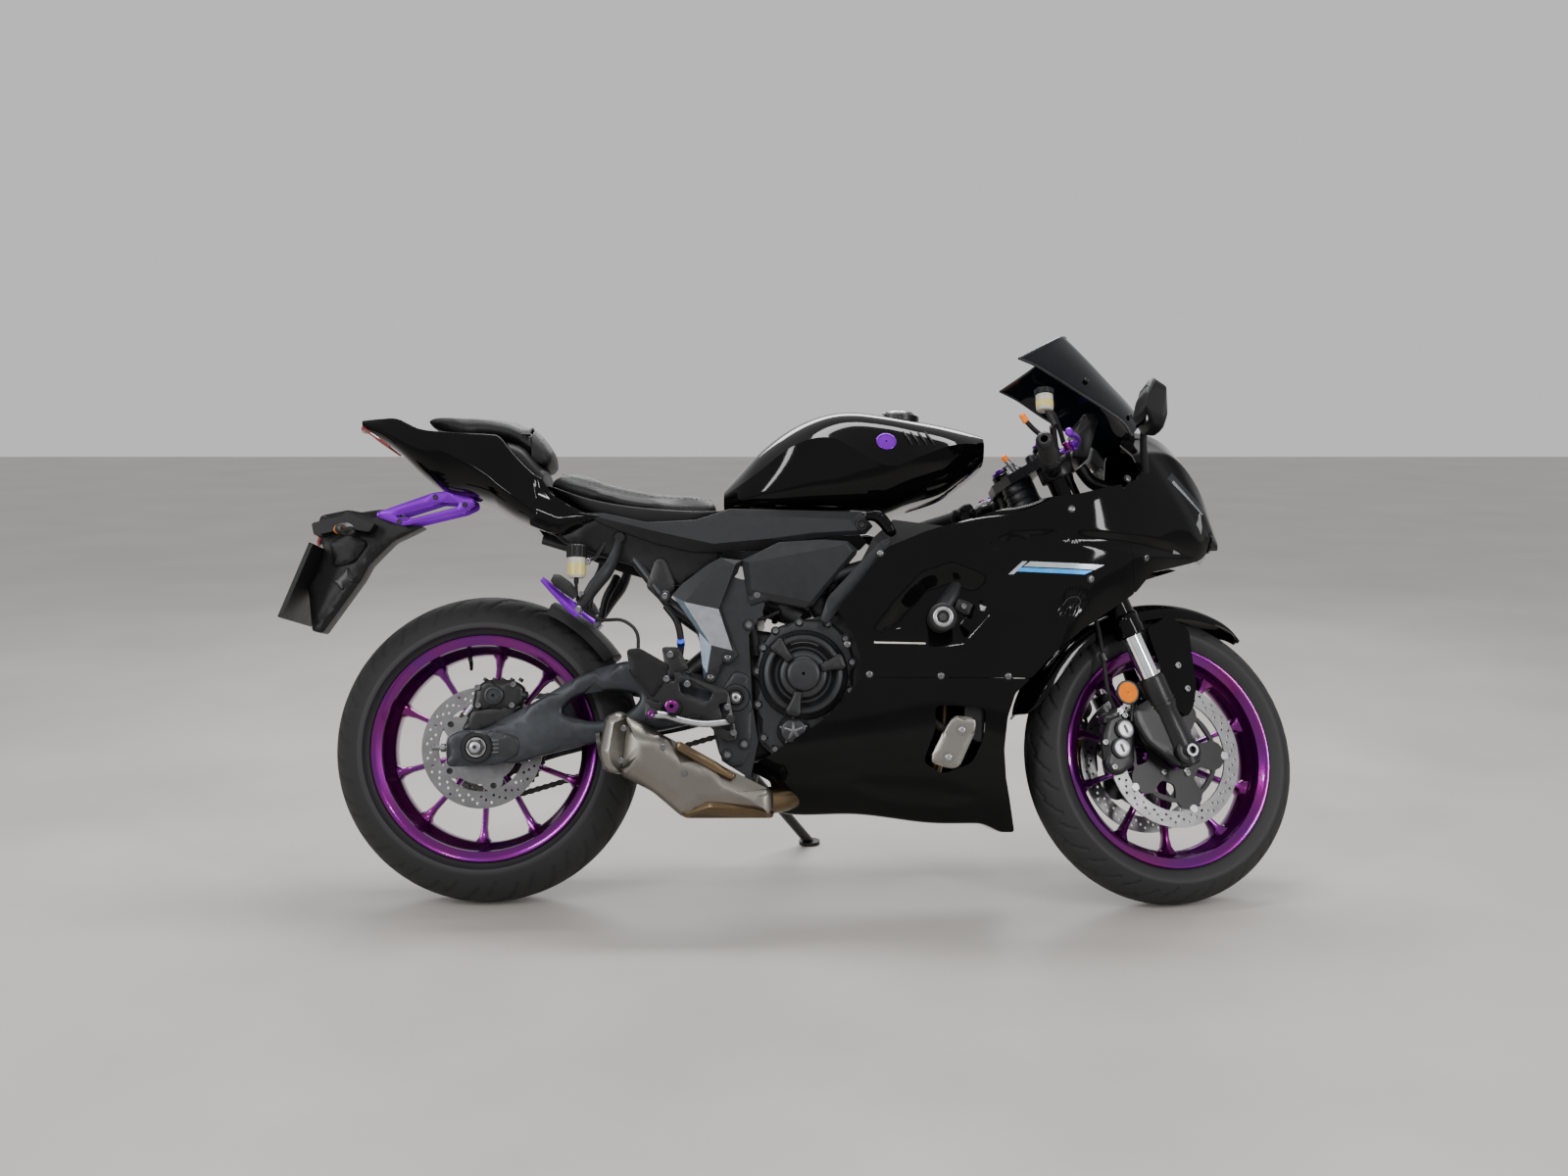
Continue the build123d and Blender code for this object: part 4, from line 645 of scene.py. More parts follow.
rear_disc = Piece()
rear_disc.add(drilled(REAR_AXLE, 122.5, 88, -90, 4.5, 3, 24), "disc_steel")
rear_star = []
for k in range(80):
    a = 2 * math.pi * k / 80
    r = 74 + 17 * max(0.0, math.cos(5 * a)) ** 0.7
    rear_star.append((r * math.cos(a), REAR_R + r * math.sin(a)))
rear_disc.add(slab([rear_star, circle(0, REAR_R, 26, 40)], -93.2, -87.8), "disc_steel")
rear_disc.add(bolts([(80 * math.cos(math.radians(72 * k)), -93.2, REAR_R + 80 * math.sin(math.radians(72 * k)))
                     for k in range(5)], -1, 6, 3), "metal_black")
rear_disc.done("rear_disc_drilled", "rear_wheel", "disc_steel", ["rear_disc"])

teeth = []
for k in range(84):
    a = 2 * math.pi * k / 84
    r = 99.0 if k % 2 else 104.5
    teeth.append((r * math.cos(a), REAR_R + r * math.sin(a)))
sprocket_holes = [circle(76 * math.cos(math.radians(60 * k)), REAR_R + 76 * math.sin(math.radians(60 * k)), 13, 16)
                  for k in range(6)]
sprocket = Piece()
sprocket.add(slab([teeth, circle(0, REAR_R, 30, 32)] + sprocket_holes, 104.5, 111.5), "dark_steel")
sprocket.add(lathe([(88, 20), (88, 42), (104, 52), (104, 20)], 48, REAR_AXLE), "metal_black")
sprocket.add(bolts([(50 * math.cos(math.radians(60 * k + 30)), 111.5, REAR_R + 50 * math.sin(math.radians(60 * k + 30)))
                    for k in range(6)], 1, 7, 6), "steel")
sprocket.done("rear_sprocket_toothed", "rear_wheel", "disc_steel", ["rear_sprocket"])

# --- finishes of the carried-over nodes -----------------------------------------------------
NODE_FINISH = {
    "frame_grey": "main_frame subframe triple_clamps",
    "arm_grey": "swingarm",
    "engine_black": "engine_block",
    "cover_black": "clutch_cover generator_cover",
    "cover_grey": "side_covers airbox pivot_covers",
    "metal_black": "radiator fork_legs front_calipers rear_caliper footrests foot_levers passenger_footrests side_stand"
                   " crash_bobbins rear_shock",
    "paint_black": "fuel_tank tail_cowl upper_cowl side_panels lower_cowl front_fender",
    "plastic_black": "rear_hugger plate_holder instrument_panel mirrors",
    "rubber": "clip_ons front_brake_hoses rear_brake_hose",
    "violet": "plate_bracket hand_levers",
    "alloy": "rear_axle front_axle side_cap",
    "dark_steel": "drive_chain rear_sprocket fuel_cap",
    "disc_steel": "front_discs rear_disc",
    "muffler_skin": "muffler",
    "heat_gold": "exhaust_header",
    "leather": "rider_seat pillion_seat",
    "lens_red": "tail_lamp",
    "lens_clear": "head_lamp",
    "screen_smoke": "windscreen",
    "plate_white": "number_plate",
    "bottle": "rear_reservoir",
    "tread": "front_tyre rear_tyre",
    "candy": "front_rim rear_rim",
}
for material, names in NODE_FINISH.items():
    for name in names.split():
        node = frame["nodes"][name]
        if not node.material_slots:
            node.data.materials.append(MATERIALS[material])
        for place in node.material_slots:
            place.material = MATERIALS[material]


# --- bodywork helpers -----------------------------------------------------------------------
def soft_line(points, count):
    """Samples of a smooth line that starts and ends on its end points and rounds its corners."""
    pts = [Vector(p) for p in points]
    pts = [pts[0]] * 2 + pts + [pts[-1]] * 2
    spans = len(pts) - 3
    line = []
    for k in range(count):
        s = k / (count - 1) * spans
        i = min(int(s), spans - 1)
        t = s - i
        a, b, c, d = pts[i:i + 4]
        line.append((a * (1 - t) ** 3 + b * (3 * t**3 - 6 * t**2 + 4) + c * (3 * t + 3 * t**2 - 3 * t**3 + 1)
                     + d * t**3) / 6)
    return line


def between(rows, steps):
    """Rows of points carried smoothly from each given row to the next."""
    fine = []
    for i in range(len(rows) - 1):
        b, c = rows[i], rows[i + 1]
        a = rows[i - 1] if i else [p * 2 - q for p, q in zip(b, c)]
        d = rows[i + 2] if i + 2 < len(rows) else [p * 2 - q for p, q in zip(c, b)]
        fine += [[catmull(*quad, k / steps) for quad in zip(a, b, c, d)] for k in range(steps)]
    return fine + [rows[-1]]


def soft_rows(sections, columns, steps):
    """Rows of (x, y, z) points: sections rounded across, and carried smoothly from one to the next."""
    return between([[Vector((x, p[0], p[1])) for p in soft_line(half, columns)] for x, half in sections], steps)


def mirrored_loft(sections, columns=40, steps=8, relief=None):
    """Closed form lofted through mirrored half outlines, with an optional relief moving each point."""
    rows = soft_rows(sections, columns, steps)
    if relief:
        rows = [[relief(p) for p in row] for row in rows]
    return capped([row + [Vector((p.x, -p.y, p.z)) for p in reversed(row[1:-1])] for row in rows])


def drawn_in(sections, wall):
    """Half outlines moved inwards by a wall's thickness."""
    result = []
    for x, half in sections:
        middle = (half[0][1] + half[-1][1]) / 2
        inner = []
        for y, z in half:
            inner.append((max(0.0, y - wall) if y else 0.0, z + wall * (1 if z < middle else -1)))
        result.append((x, inner))
    return result


def shape_object(shape):
    """Object that holds a shape, welded and facing outwards."""
    mesh = bpy.data.meshes.new("cutting")
    mesh.from_pydata([tuple(v) for v in shape[0]], [], shape[1])
    work = bmesh.new()
    work.from_mesh(mesh)
    bmesh.ops.remove_doubles(work, verts=work.verts, dist=0.001)
    bmesh.ops.recalc_face_normals(work, faces=work.faces)
    work.to_mesh(mesh)
    work.free()
    made = bpy.data.objects.new("cutting", mesh)
    bpy.context.scene.collection.objects.link(made)
    return made


def cut(shape, tool, how="INTERSECT"):
    """Boolean of two closed shapes."""
    base, other = shape_object(shape), shape_object(tool)
    step = base.modifiers.new("cut", "BOOLEAN")
    step.operation, step.object, step.solver = how, other, "EXACT"
    graph = bpy.context.evaluated_depsgraph_get()
    mesh = base.evaluated_get(graph).to_mesh()
    result = [v.co.copy() for v in mesh.vertices], [list(p.vertices) for p in mesh.polygons]
    base.evaluated_get(graph).to_mesh_clear()
    for made in (base, other):
        mesh = made.data
        bpy.data.objects.remove(made)
        bpy.data.meshes.remove(mesh)
    return result


def smooth_step(low, high, value):
    """Rises smoothly from 0 at low to 1 at high."""
    t = max(0.0, min(1.0, (value - low) / (high - low)))
    return t * t * (3 - 2 * t)


def stretch_gap(x, z, start, end):
    """Distance from a point to a straight stretch, and the stretch's side that the point is on."""
    (x1, z1), (x2, z2) = start, end
    run = Vector((x2 - x1, z2 - z1))
    t = max(0.0, min(1.0, Vector((x - x1, z - z1)).dot(run) / run.length_squared))
    sign = 1 if run.x * (z - z1) - run.y * (x - x1) >= 0 else -1
    return math.hypot(x - x1 - run.x * t, z - z1 - run.y * t), sign


def edge_distance(x, z, loop):
    """Distance from a point to a closed outline, positive inside it."""
    best = min(stretch_gap(x, z, a, b)[0] for a, b in zip(loop, loop[1:] + loop[:1]))
    return best if inside((x, z), loop) else -best


def line_distance(x, z, line):
    """Signed distance from a point to an open line, positive above it."""
    gap, sign = min((stretch_gap(x, z, a, b) for a, b in zip(line, line[1:])), key=lambda found: found[0])
    return gap * sign


# --- fairing --------------------------------------------------------------------------------
HULL = [
    (528, [(0, 212), (66, 214), (118, 250), (138, 300), (150, 460), (158, 600), (160, 700), (0, 704)]),
    (620, [(0, 182), (84, 184), (150, 250), (168, 330), (184, 460), (192, 600), (190, 720), (0, 724)]),
    (760, [(0, 182), (95, 184), (158, 250), (182, 330), (200, 460), (208, 600), (205, 745), (0, 749)]),
    (900, [(0, 166), (100, 168), (160, 250), (186, 330), (208, 460), (220, 600), (220, 765), (0, 769)]),
    (1000, [(0, 165), (100, 167), (158, 250), (184, 330), (204, 460), (218, 600), (222, 785), (0, 789)]),
    (1100, [(0, 163), (95, 165), (150, 250), (176, 330), (196, 460), (212, 600), (220, 800), (0, 830)]),
    (1200, [(0, 438), (120, 440), (180, 540), (198, 620), (208, 700), (212, 790), (198, 850), (0, 930)]),
    (1300, [(0, 588), (146, 590), (166, 650), (178, 700), (184, 760), (182, 820), (162, 905), (0, 985)]),
    (1400, [(0, 666), (86, 668), (108, 700), (124, 740), (134, 790), (128, 845), (104, 920), (0, 972)]),
    (1470, [(0, 688), (40, 690), (62, 712), (76, 740), (83, 775), (80, 815), (55, 862), (0, 888)]),
    (1519, [(0, 727), (8, 728), (14, 733), (18, 738), (19, 742), (18, 748), (12, 755), (0, 760)]),
]


def hull_sections(sections):
    """Doubles the corners next to the belly and the roof, so that they stay tight."""
    return [(x, [half[0], half[1], half[1]] + half[2:-2] + [half[-2], half[-2], half[-1]]) for x, half in sections]


RECESS = [(800, 540), (885, 530), (960, 540), (1004, 590), (996, 640), (940, 662), (884, 642), (836, 590)]
CHANNEL = [(1010, 716), (1083, 721), (1143, 727), (1313, 711), (1448, 712), (1396, 728), (1336, 736), (1244, 741),
           (1134, 744), (1060, 738)]
BELLY_POCKET = [(770, 262), (930, 254), (990, 224), (950, 206), (800, 220), (752, 244)]
NOSE_RIDGE = [(1329, 972), (1369, 933), (1397, 894), (1439, 826), (1471, 778), (1504, 732)]
SIGNAL_SPOT = (1180, 604)


def hull_relief(p):
    """Recess round the crash bobbin, channel along the nose and shallow pockets of the fairing's sides."""
    x, y, z = p
    if y < 45:
        return p
    move = -20 * smooth_step(-26, 24, edge_distance(x, z, RECESS))
    move -= 6 * smooth_step(-8, 10, edge_distance(x, z, CHANNEL))
    move -= 6 * smooth_step(-12, 20, edge_distance(x, z, BELLY_POCKET))
    if 1300 < x < 1515:
        crest = line_distance(x, z, NOSE_RIDGE)
        move -= 5 * smooth_step(-34, -4, crest) * (1 - smooth_step(4, 26, crest)) * smooth_step(1300, 1340, x)
    spot = math.hypot(x - SIGNAL_SPOT[0], (z - SIGNAL_SPOT[1]) * 1.7)
    move -= 5 * (1 - smooth_step(18, 34, spot))
    return Vector((x, max(0.0, y + move), z))


NOSE_SIDE = [
    (1316, 628), (1355, 673), (1444, 698), (1475, 709), (1493, 728), (1530, 736), (1530, 760), (1495, 850),
    (1470, 905), (1410, 985), (1340, 995), (1305, 945), (1318, 900), (1332, 872), (1326, 862), (1300, 849),
    (1289, 835),
]
SIDE_PANEL = [
    (1288, 846), (1202, 823), (1097, 808), (999, 774), (895, 745), (814, 712), (762, 645), (716, 588), (748, 540),
    (762, 490), (765, 455), (1099, 455), (1140, 500), (1206, 555), (1262, 592), (1315, 628),
]
LOWER_PANEL = [
    (765, 454), (1098, 454), (1067, 425), (1052, 378), (1046, 315), (1051, 260), (1075, 150), (606, 150),
    (590, 205), (584, 250), (535, 275), (580, 300), (676, 363), (717, 396), (751, 440),
]
SIDE_WINDOW = rounded([(908, 401), (1009, 397), (1006, 338), (983, 288), (925, 266), (886, 289), (910, 356)], 14)

hull_outer = mirrored_loft(hull_sections(HULL), 190, 16, hull_relief)
hull_inner = mirrored_loft(hull_sections(drawn_in([(518, HULL[0][1])] + HULL[1:-1] + [(1510, HULL[-1][1])], 5.0)), 90,
                           9, hull_relief)
hull_shell = cut(hull_outer, hull_inner, "DIFFERENCE")
for name, node, outline, low, both in (
    ("nose_cowl", "upper_cowl", NOSE_SIDE, -260, False),
    ("side_fairing", "side_panels", SIDE_PANEL, 70, True),
    ("belly_cowl", "lower_cowl", LOWER_PANEL, -260, False),
):
    shape = cut(hull_shell, slab(rounded(outline, 6, 2), low, 260))
    if name == "belly_cowl":
        shape = cut(shape, slab(SIDE_WINDOW, -260, -90), "DIFFERENCE")
    piece = Piece().add(shape, "paint_black")
    if both:
        piece.mirrored()
    piece.done(name, "root", "gloss_black", [node], crease=28)

# --- tank -----------------------------------------------------------------------------------
# x, then half outline: floor middle, floor edge, lower side, crease, upper side, shoulder, top middle
TANK = [
    (484, [(0, 812), (50, 812), (60, 824), (56, 838), (44, 848), (26, 853), (0, 856)]),
    (520, [(0, 808), (84, 808), (98, 826), (92, 856), (72, 876), (40, 892), (0, 900)]),
    (560, [(0, 806), (104, 806), (122, 832), (114, 882), (90, 914), (52, 934), (0, 942)]),
    (610, [(0, 803), (118, 803), (138, 842), (136, 918), (108, 950), (64, 972), (0, 983)]),
    (660, [(0, 803), (124, 803), (148, 850), (152, 940), (122, 972), (76, 996), (0, 1010)]),
    (710, [(0, 803), (126, 803), (152, 856), (158, 941), (126, 984), (80, 1010), (0, 1025)]),
    (760, [(0, 803), (126, 803), (154, 860), (162, 914), (130, 980), (84, 1012), (0, 1028)]),
    (820, [(0, 805), (124, 805), (154, 852), (164, 884), (134, 966), (88, 1004), (0, 1021)]),
    (880, [(0, 824), (116, 824), (148, 866), (160, 902), (134, 956), (88, 994), (0, 1011)]),
    (940, [(0, 844), (100, 844), (136, 880), (148, 927), (126, 956), (82, 984), (0, 1000)]),
    (985, [(0, 874), (80, 874), (112, 900), (124, 938), (104, 958), (68, 976), (0, 988)]),
    (1022, [(0, 904), (64, 904), (88, 918), (94, 940), (80, 957), (52, 968), (0, 977)]),
]
TANK_TIGHT = [(x, half[:2] + [half[2], half[3], half[3], half[3]] + half[4:]) for x, half in TANK]
CAP_X, CAP_SEAT_Z = 850, 1019


def filler_dip(point):
    """Sinks the tank's skin below the filler's neck and seat."""
    reach = math.hypot(point.x - CAP_X, point.y)
    if point.z < CAP_SEAT_Z - 30 or reach > 60:
        return point
    depth = 15 - 13.4 * smooth_step(32, 38, reach) - 7 * smooth_step(47, 60, reach)
    return Vector((point.x, point.y, min(point.z, CAP_SEAT_Z - depth)))


tank = Piece()
tank_shape = mirrored_loft(TANK_TIGHT, 72, 10, filler_dip)
tank.add(tank_shape, "paint_black")
tank.add(disc([(0, 45), (38, 45), (40, 43), (40, 27), (39, 25), (27, 24), (27, 0.5)], 64, (CAP_X, 0, CAP_SEAT_Z - 40),
               (0, 0, 1)), "metal_black")
tank.done("tank_shell", "root", "gloss_black", ["fuel_tank"], crease=34)
cap = Piece()
cap.add(disc([(0, 0.5), (0, 35), (4, 36), (6, 34.5), (6.5, 30), (5, 28.5), (5, 12), (7, 11), (7, 0.5)], 64,
              (850, 0, 1019.3), (0, 0, 1)), "alloy")
cap.add(slab(rounded([(884, 1019.4), (893, 1019.4), (893, 1023.2), (884, 1023.2)], 1.5, 2), -8, 8), "alloy")
for k in range(6):
    a = math.radians(60 * k + 30)
    cap.add(bolt((850 + 29 * math.cos(a), 29 * math.sin(a), 1025), (0, 0, 1), 3.4, 2.4), "dark_steel")
cap.add(rod((850, 0, 1026), (850, 0, 1027.6), 6, 24, round_off=0.5), "steel")
cap.done("cap_lid", "fuel_cap", "bright_metal", ["fuel_cap"], crease=40)

# --- tail -----------------------------------------------------------------------------------
TAIL = [
    (-283, [(0, 984), (12, 985), (20, 992), (22, 998), (18, 1003), (0, 1006)]),
    (-240, [(0, 960), (26, 962), (42, 974), (44, 990), (38, 1003), (0, 1008)]),
    (-200, [(0, 932), (40, 934), (58, 946), (62, 972), (54, 1000), (0, 1004)]),
    (-150, [(0, 884), (54, 888), (76, 922), (80, 950), (72, 976), (0, 984)]),
    (-100, [(0, 848), (66, 852), (88, 906), (94, 928), (84, 968), (0, 972)]),
    (-50, [(0, 838), (80, 841), (104, 888), (108, 902), (92, 964), (0, 968)]),
    (0, [(0, 821), (92, 823), (116, 858), (120, 870), (98, 961), (0, 964)]),
    (22, [(0, 806), (96, 808), (121, 840), (125, 852), (101, 955), (0, 960)]),
    (50, [(0, 788), (102, 790), (126, 818), (130, 832), (105, 922), (0, 936)]),
    (80, [(0, 772), (107, 775), (130, 798), (133, 812), (109, 890), (0, 912)]),
    (106, [(0, 757), (112, 760), (134, 780), (136, 796), (112, 868), (0, 888)]),
]
TAIL_TIGHT = [(x, half[:2] + [half[2], half[3], half[3]] + half[4:5] * 2 + half[5:]) for x, half in TAIL]
tail_shape = mirrored_loft(TAIL_TIGHT, 56, 8)
tail_room = mirrored_loft(drawn_in(TAIL_TIGHT[3:-1] + [(120, TAIL_TIGHT[-1][1])], 5.0), 56, 8)
tail_shape = cut(tail_shape, tail_room, "DIFFERENCE")
Piece().add(tail_shape, "paint_black").done("tail_shell", "root", "gloss_black", ["tail_cowl"], crease=30)

lamp = Piece()
for side in (-1, 1):
    edge = [(-279, 20 * side, 988), (-262, 33 * side, 973), (-240, 43 * side, 958), (-216, 52 * side, 941)]
    lamp.add(tube(edge, [2, 3, 3, 2], 10), "lens_red")
lamp.add(tube([(-281, -20, 986), (-284, 0, 984), (-281, 20, 986)], 4, 10), "lens_red")
lamp.done("tail_light_strip", "root", "tail_red", ["tail_lamp"])

# --- front mudguard -------------------------------------------------------------------------
# angle up from forward, roof radius, half width, radius of the lower edge
GUARD = [
    (51, 334, 10, 331), (56, 337, 30, 322), (62, 335, 48, 312), (70, 331, 60, 300), (80, 328, 68, 290),
    (92, 326, 72, 284), (108, 325, 74, 280), (126, 325, 74, 284), (142, 327, 72, 290), (154, 330, 68, 298),
    (162, 333, 58, 308), (166, 336, 40, 322),
]


def guard_rows(inset):
    """Rows across the mudguard's skin, one wall thickness further in for its inside."""
    rows = []
    for angle, roof, half, foot in GUARD:
        line = [(half, foot), (half * 1.0, foot + (roof - foot) * 0.35), (half * 0.95, roof - 14),
                (half * 0.62, roof - 5), (0, roof)]
        if inset:
            line = [(max(0, y - inset), r - (inset if r > foot + 3 else 0)) for y, r in line]
        rows.append([Vector((angle, p[0], p[1])) for p in soft_line(line, 16)])
    placed = []
    for row in between(rows, 6):
        half_row = [FRONT_AXLE + Vector((math.cos(math.radians(p.x)) * p.z, -p.y, math.sin(math.radians(p.x)) * p.z))
                    for p in row]
        placed.append(half_row + [Vector((p.x, -p.y, p.z)) for p in reversed(half_row[:-1])])
    return placed


outer_rows, inner_rows = guard_rows(0), guard_rows(3.5)
guard = Piece()
guard.add(capped([outer + inner[::-1] for outer, inner in zip(outer_rows, inner_rows)]), "paint_black")
FLAP = rounded([(1344, 560), (1400, 590), (1442, 560), (1450, 440), (1440, 398), (1424, 376), (1400, 392),
                (1372, 470)], 10)
for side in (-1, 1):
    guard.add(slab(FLAP, *sorted((side * 70, side * 76.5))), "paint_black")
    guard.add(bolts([(1410, side * 76.5, 484), (1428, side * 76.5, 436)], side, 7, 4), "steel")
guard.done("mudguard", "steering", "gloss_black", ["front_fender"], TURNED, crease=35)

# --- screen ---------------------------------------------------------------------------------
# centre line point, then side edge point, for rows from the cowl to the top
SCREEN = [
    ((1360, 1006), (1318, 140, 952)), ((1332, 1040), (1292, 147, 985)), ((1300, 1077), (1240, 152, 1018)),
    ((1262, 1122), (1180, 155, 1056)), ((1232, 1156), (1130, 153, 1090)), ((1207, 1184), (1089, 148, 1110)),
]
SCREEN_COLUMNS = 49
screen_rows = []
for (cx, cz), (sx, sy, sz) in SCREEN:
    row = []
    for k in range(SCREEN_COLUMNS):
        s = 2 * k / (SCREEN_COLUMNS - 1) - 1
        bulge = abs(s) ** 2.4
        ridge = 3.5 * math.exp(-((abs(s) - 0.42) / 0.09) ** 2)
        row.append(Vector((cx + (sx - cx) * bulge - ridge * 0.4, s * sy * (1 + 0.16 * (1 - abs(s))),
                           cz + (sz - cz) * bulge + ridge)))
    screen_rows.append(row)
fine = between(screen_rows, 6)
skin_verts = [p for row in fine for p in row]
skin_faces = grid_faces(len(fine), SCREEN_COLUMNS)
back_verts = [p + Vector((-2.4, 0, -2.0)) for p in skin_verts]
count = len(skin_verts)
last_row, last_column = len(fine) - 1, SCREEN_COLUMNS - 1
walk = [(0, k) for k in range(SCREEN_COLUMNS)] + [(r, last_column) for r in range(1, last_row + 1)]
walk += [(last_row, k) for k in range(last_column - 1, -1, -1)] + [(r, 0) for r in range(last_row - 1, 0, -1)]
rim = [SCREEN_COLUMNS * r + k for r, k in walk]
faces = skin_faces + [[count + i for i in reversed(f)] for f in skin_faces]
faces += [[a, b, count + b, count + a] for a, b in zip(rim, rim[1:] + rim[:1])]
screen = Piece()
screen.add((skin_verts + back_verts, faces), "screen_smoke")
screen.done("screen_bubble", "root", "smoked_screen", ["windscreen"], crease=60)
screen_trim = Piece()
for edge in ([row[0] for row in fine[::5]] + [fine[-1][0]], fine[-1][::6],
             [row[-1] for row in fine[::5]] + [fine[-1][-1]]):
    screen_trim.add(tube(edge, 2.6, 8, 3), "screen_edge")
for side in (-1, 1):
    for row in (4, 16):
        p = fine[row][24 + side * 20]
        screen_trim.add(bolt(p + Vector((2, side * 1.5, 2)), (0.5, side * 0.6, 0.6), 6, 3), "metal_black")
screen_trim.done("screen_rim", "root", "gloss_black")


# --- cast and moulded side parts ------------------------------------------------------------
def panel(outline, y_back, y_face, edge=6.0, step=10.0, holes=(), ridge=None, both=False):
    """Plate cut to an (x, z) outline whose face is rounded over at its edges and may be shaped by a ridge."""
    loops = [[tuple(p) for p in outline]] + [[tuple(p) for p in hole] for hole in holes]
    xs, zs = [p[0] for p in loops[0]], [p[1] for p in loops[0]]
    extra = []
    for share in (0.12, 0.4, 1.0):
        for loop in loops:
            for i in range(len(loop)):
                a, b = Vector(loop[i - 1]), Vector(loop[(i + 1) % len(loop)])
                run = (b - a).normalized()
                for turn in (1, -1):
                    p = Vector(loop[i]) + Vector((-run.y, run.x)) * turn * edge * share
                    if min(signed_gap(p, loops)) > edge * share * 0.8:
                        extra.append(p)
    rows, columns = int((max(zs) - min(zs)) / step) + 1, int((max(xs) - min(xs)) / step) + 1
    for i in range(rows):
        for j in range(columns):
            p = Vector((min(xs) + (j + 0.5) * step, min(zs) + (i + 0.5) * step))
            if min(signed_gap(p, loops)) > edge + step * 0.4:
                extra.append(p)
    flat, caps = fill(loops, extra)
    side = 1 if y_face > y_back else -1
    front, back = [], []
    for p in flat:
        gap = max(0.0, min(signed_gap(p, loops)))
        fall = edge - math.sqrt(max(0.0, edge**2 - (edge - gap) ** 2)) if gap < edge else 0.0
        lift = ridge(p.x, p.y) if ridge else 0.0
        front.append((p.x, y_face - side * (fall - lift), p.y))
        back.append((p.x, y_back + side * (fall if both else 0.0), p.y))
    return walled(back, front, loops, caps)


def signed_gap(p, loops):
    """Distances from a point to an outline and its holes, positive where there is material."""
    gaps = [edge_distance(p.x, p.y, loops[0])]
    return gaps + [-edge_distance(p.x, p.y, hole) for hole in loops[1:]]


def faceted(piece, rim, inner, y_rim, y_back, plates):
    """Adds flat facets over rim and inner points, with walls from the rim to the back."""
    verts = [(x, y_rim, z) for x, z in rim] + [(x, y, z) for x, z, y in inner]
    count = len(rim)
    back = len(verts)
    verts += [(x, y_back, z) for x, z in rim]
    walls = [[i, (i + 1) % count, back + (i + 1) % count, back + i] for i in range(count)]
    walls.append([back + i for i in range(count)])
    made = {}
    for material, faces in plates:
        made.setdefault(material, []).extend([list(f) for f in faces])
    made.setdefault(plates[0][0], []).extend(walls)
    for material, faces in made.items():
        used = sorted({i for f in faces for i in f})
        spot = {old: new for new, old in enumerate(used)}
        piece.add(([verts[i] for i in used], [[spot[i] for i in f] for f in faces]), material)


# pivot covers: dark upper facet, brushed middle, narrow steel edge
cover = Piece()
PIVOT_RIM = [(387, 619), (406, 641), (458, 681), (483, 694), (525, 689), (517, 664), (498, 641), (484, 597), (507, 527),
             (519, 500), (505, 484), (493, 484), (478, 455), (466, 442), (452, 450), (448, 480), (440, 545)]
PIVOT_TOP = [(412, 604, 182), (462, 662, 182), (512, 680, 181), (480, 590, 183), (508, 508, 182), (466, 518, 183),
             (458, 462, 180), (484, 480, 180)]
n = len(PIVOT_RIM)
faceted(cover, PIVOT_RIM, PIVOT_TOP, 174, 166.5, [
    ("cover_grey", [(0, 1, n + 1, n), (1, 2, 3, n + 2, n + 1), (3, 4, n + 2), (4, 5, 6, n + 3, n + 2), (6, 7, n + 3),
                    (n, n + 1, n + 2, n + 3), (7, 8, n + 4, n + 3), (8, 9, 10, 11, n + 4), (n + 4, 11, 12, n + 7),
                    (n + 5, n + 4, n + 7, n + 6), (n + 7, 12, 13, n + 6), (13, 14, n + 6)]),
    ("facet_silver", [(n, n + 3, n + 4, n + 5)]),
    ("blued_edge", [(0, n, n + 5, 16), (16, n + 5, n + 6, 15), (15, n + 6, 14)]),
])
for x, z in ((499, 494), (465, 455)):
    cover.add(disc([(0, 3), (0, 11), (6, 12), (9, 10), (9, 7.5), (6, 7), (6, 3)], 28, (x, 176, z)), "cover_grey")
    cover.add(bolt((x, 180, z), (0, 1, 0), 6.5, 4), "steel")
cover.mirrored().done("pivot_cover_facets", "root", "frame_grey", ["pivot_covers"], crease=12, bevel=0.8)

# side covers under the seat and tank
cover = Piece()
SIDE_RIM = [(205, 790), (244, 790), (330, 772), (430, 777), (500, 800), (640, 798), (766, 795), (790, 766), (775, 750),
            (700, 744), (629, 733), (560, 716), (468, 710), (420, 712), (350, 728), (280, 752), (232, 772)]
SIDE_TOP = [(246, 778, 133), (350, 752, 139), (466, 727, 140), (580, 738, 140), (668, 750, 139), (762, 756, 138),
            (745, 778, 137), (640, 782, 137), (505, 783, 136), (420, 764, 136), (340, 766, 135)]
n = len(SIDE_RIM)
faceted(cover, SIDE_RIM, SIDE_TOP, 131, 119, [
    ("cover_grey", [(0, 1, n), (1, 2, n + 10, n), (2, 3, n + 9, n + 10), (3, 4, n + 8, n + 9), (4, 5, n + 7, n + 8),
                    (5, 6, n + 6, n + 7), (6, 7, n + 5, n + 6), (n, n + 10, n + 1), (n + 10, n + 9, n + 2, n + 1),
                    (n + 9, n + 8, n + 3, n + 2), (n + 8, n + 7, n + 4, n + 3), (n + 7, n + 6, n + 5, n + 4),
                    (7, 8, n + 5), (8, 9, n + 4, n + 5), (9, 10, n + 3, n + 4)]),
    ("plastic_black", [(10, 11, 12, n + 2, n + 3), (12, 13, 14, n + 1, n + 2), (14, 15, n, n + 1), (15, 16, 0, n)]),
])
cover.add(disc([(0, 3), (0, 12), (4, 12.5), (6, 10.5), (6, 8), (3, 7.5), (3, 3)], 28, (767, 136, 767)),
          "cover_grey")
cover.add(bolt((767, 138, 767), (0, 1, 0), 6.5, 3.5), "dark_steel")
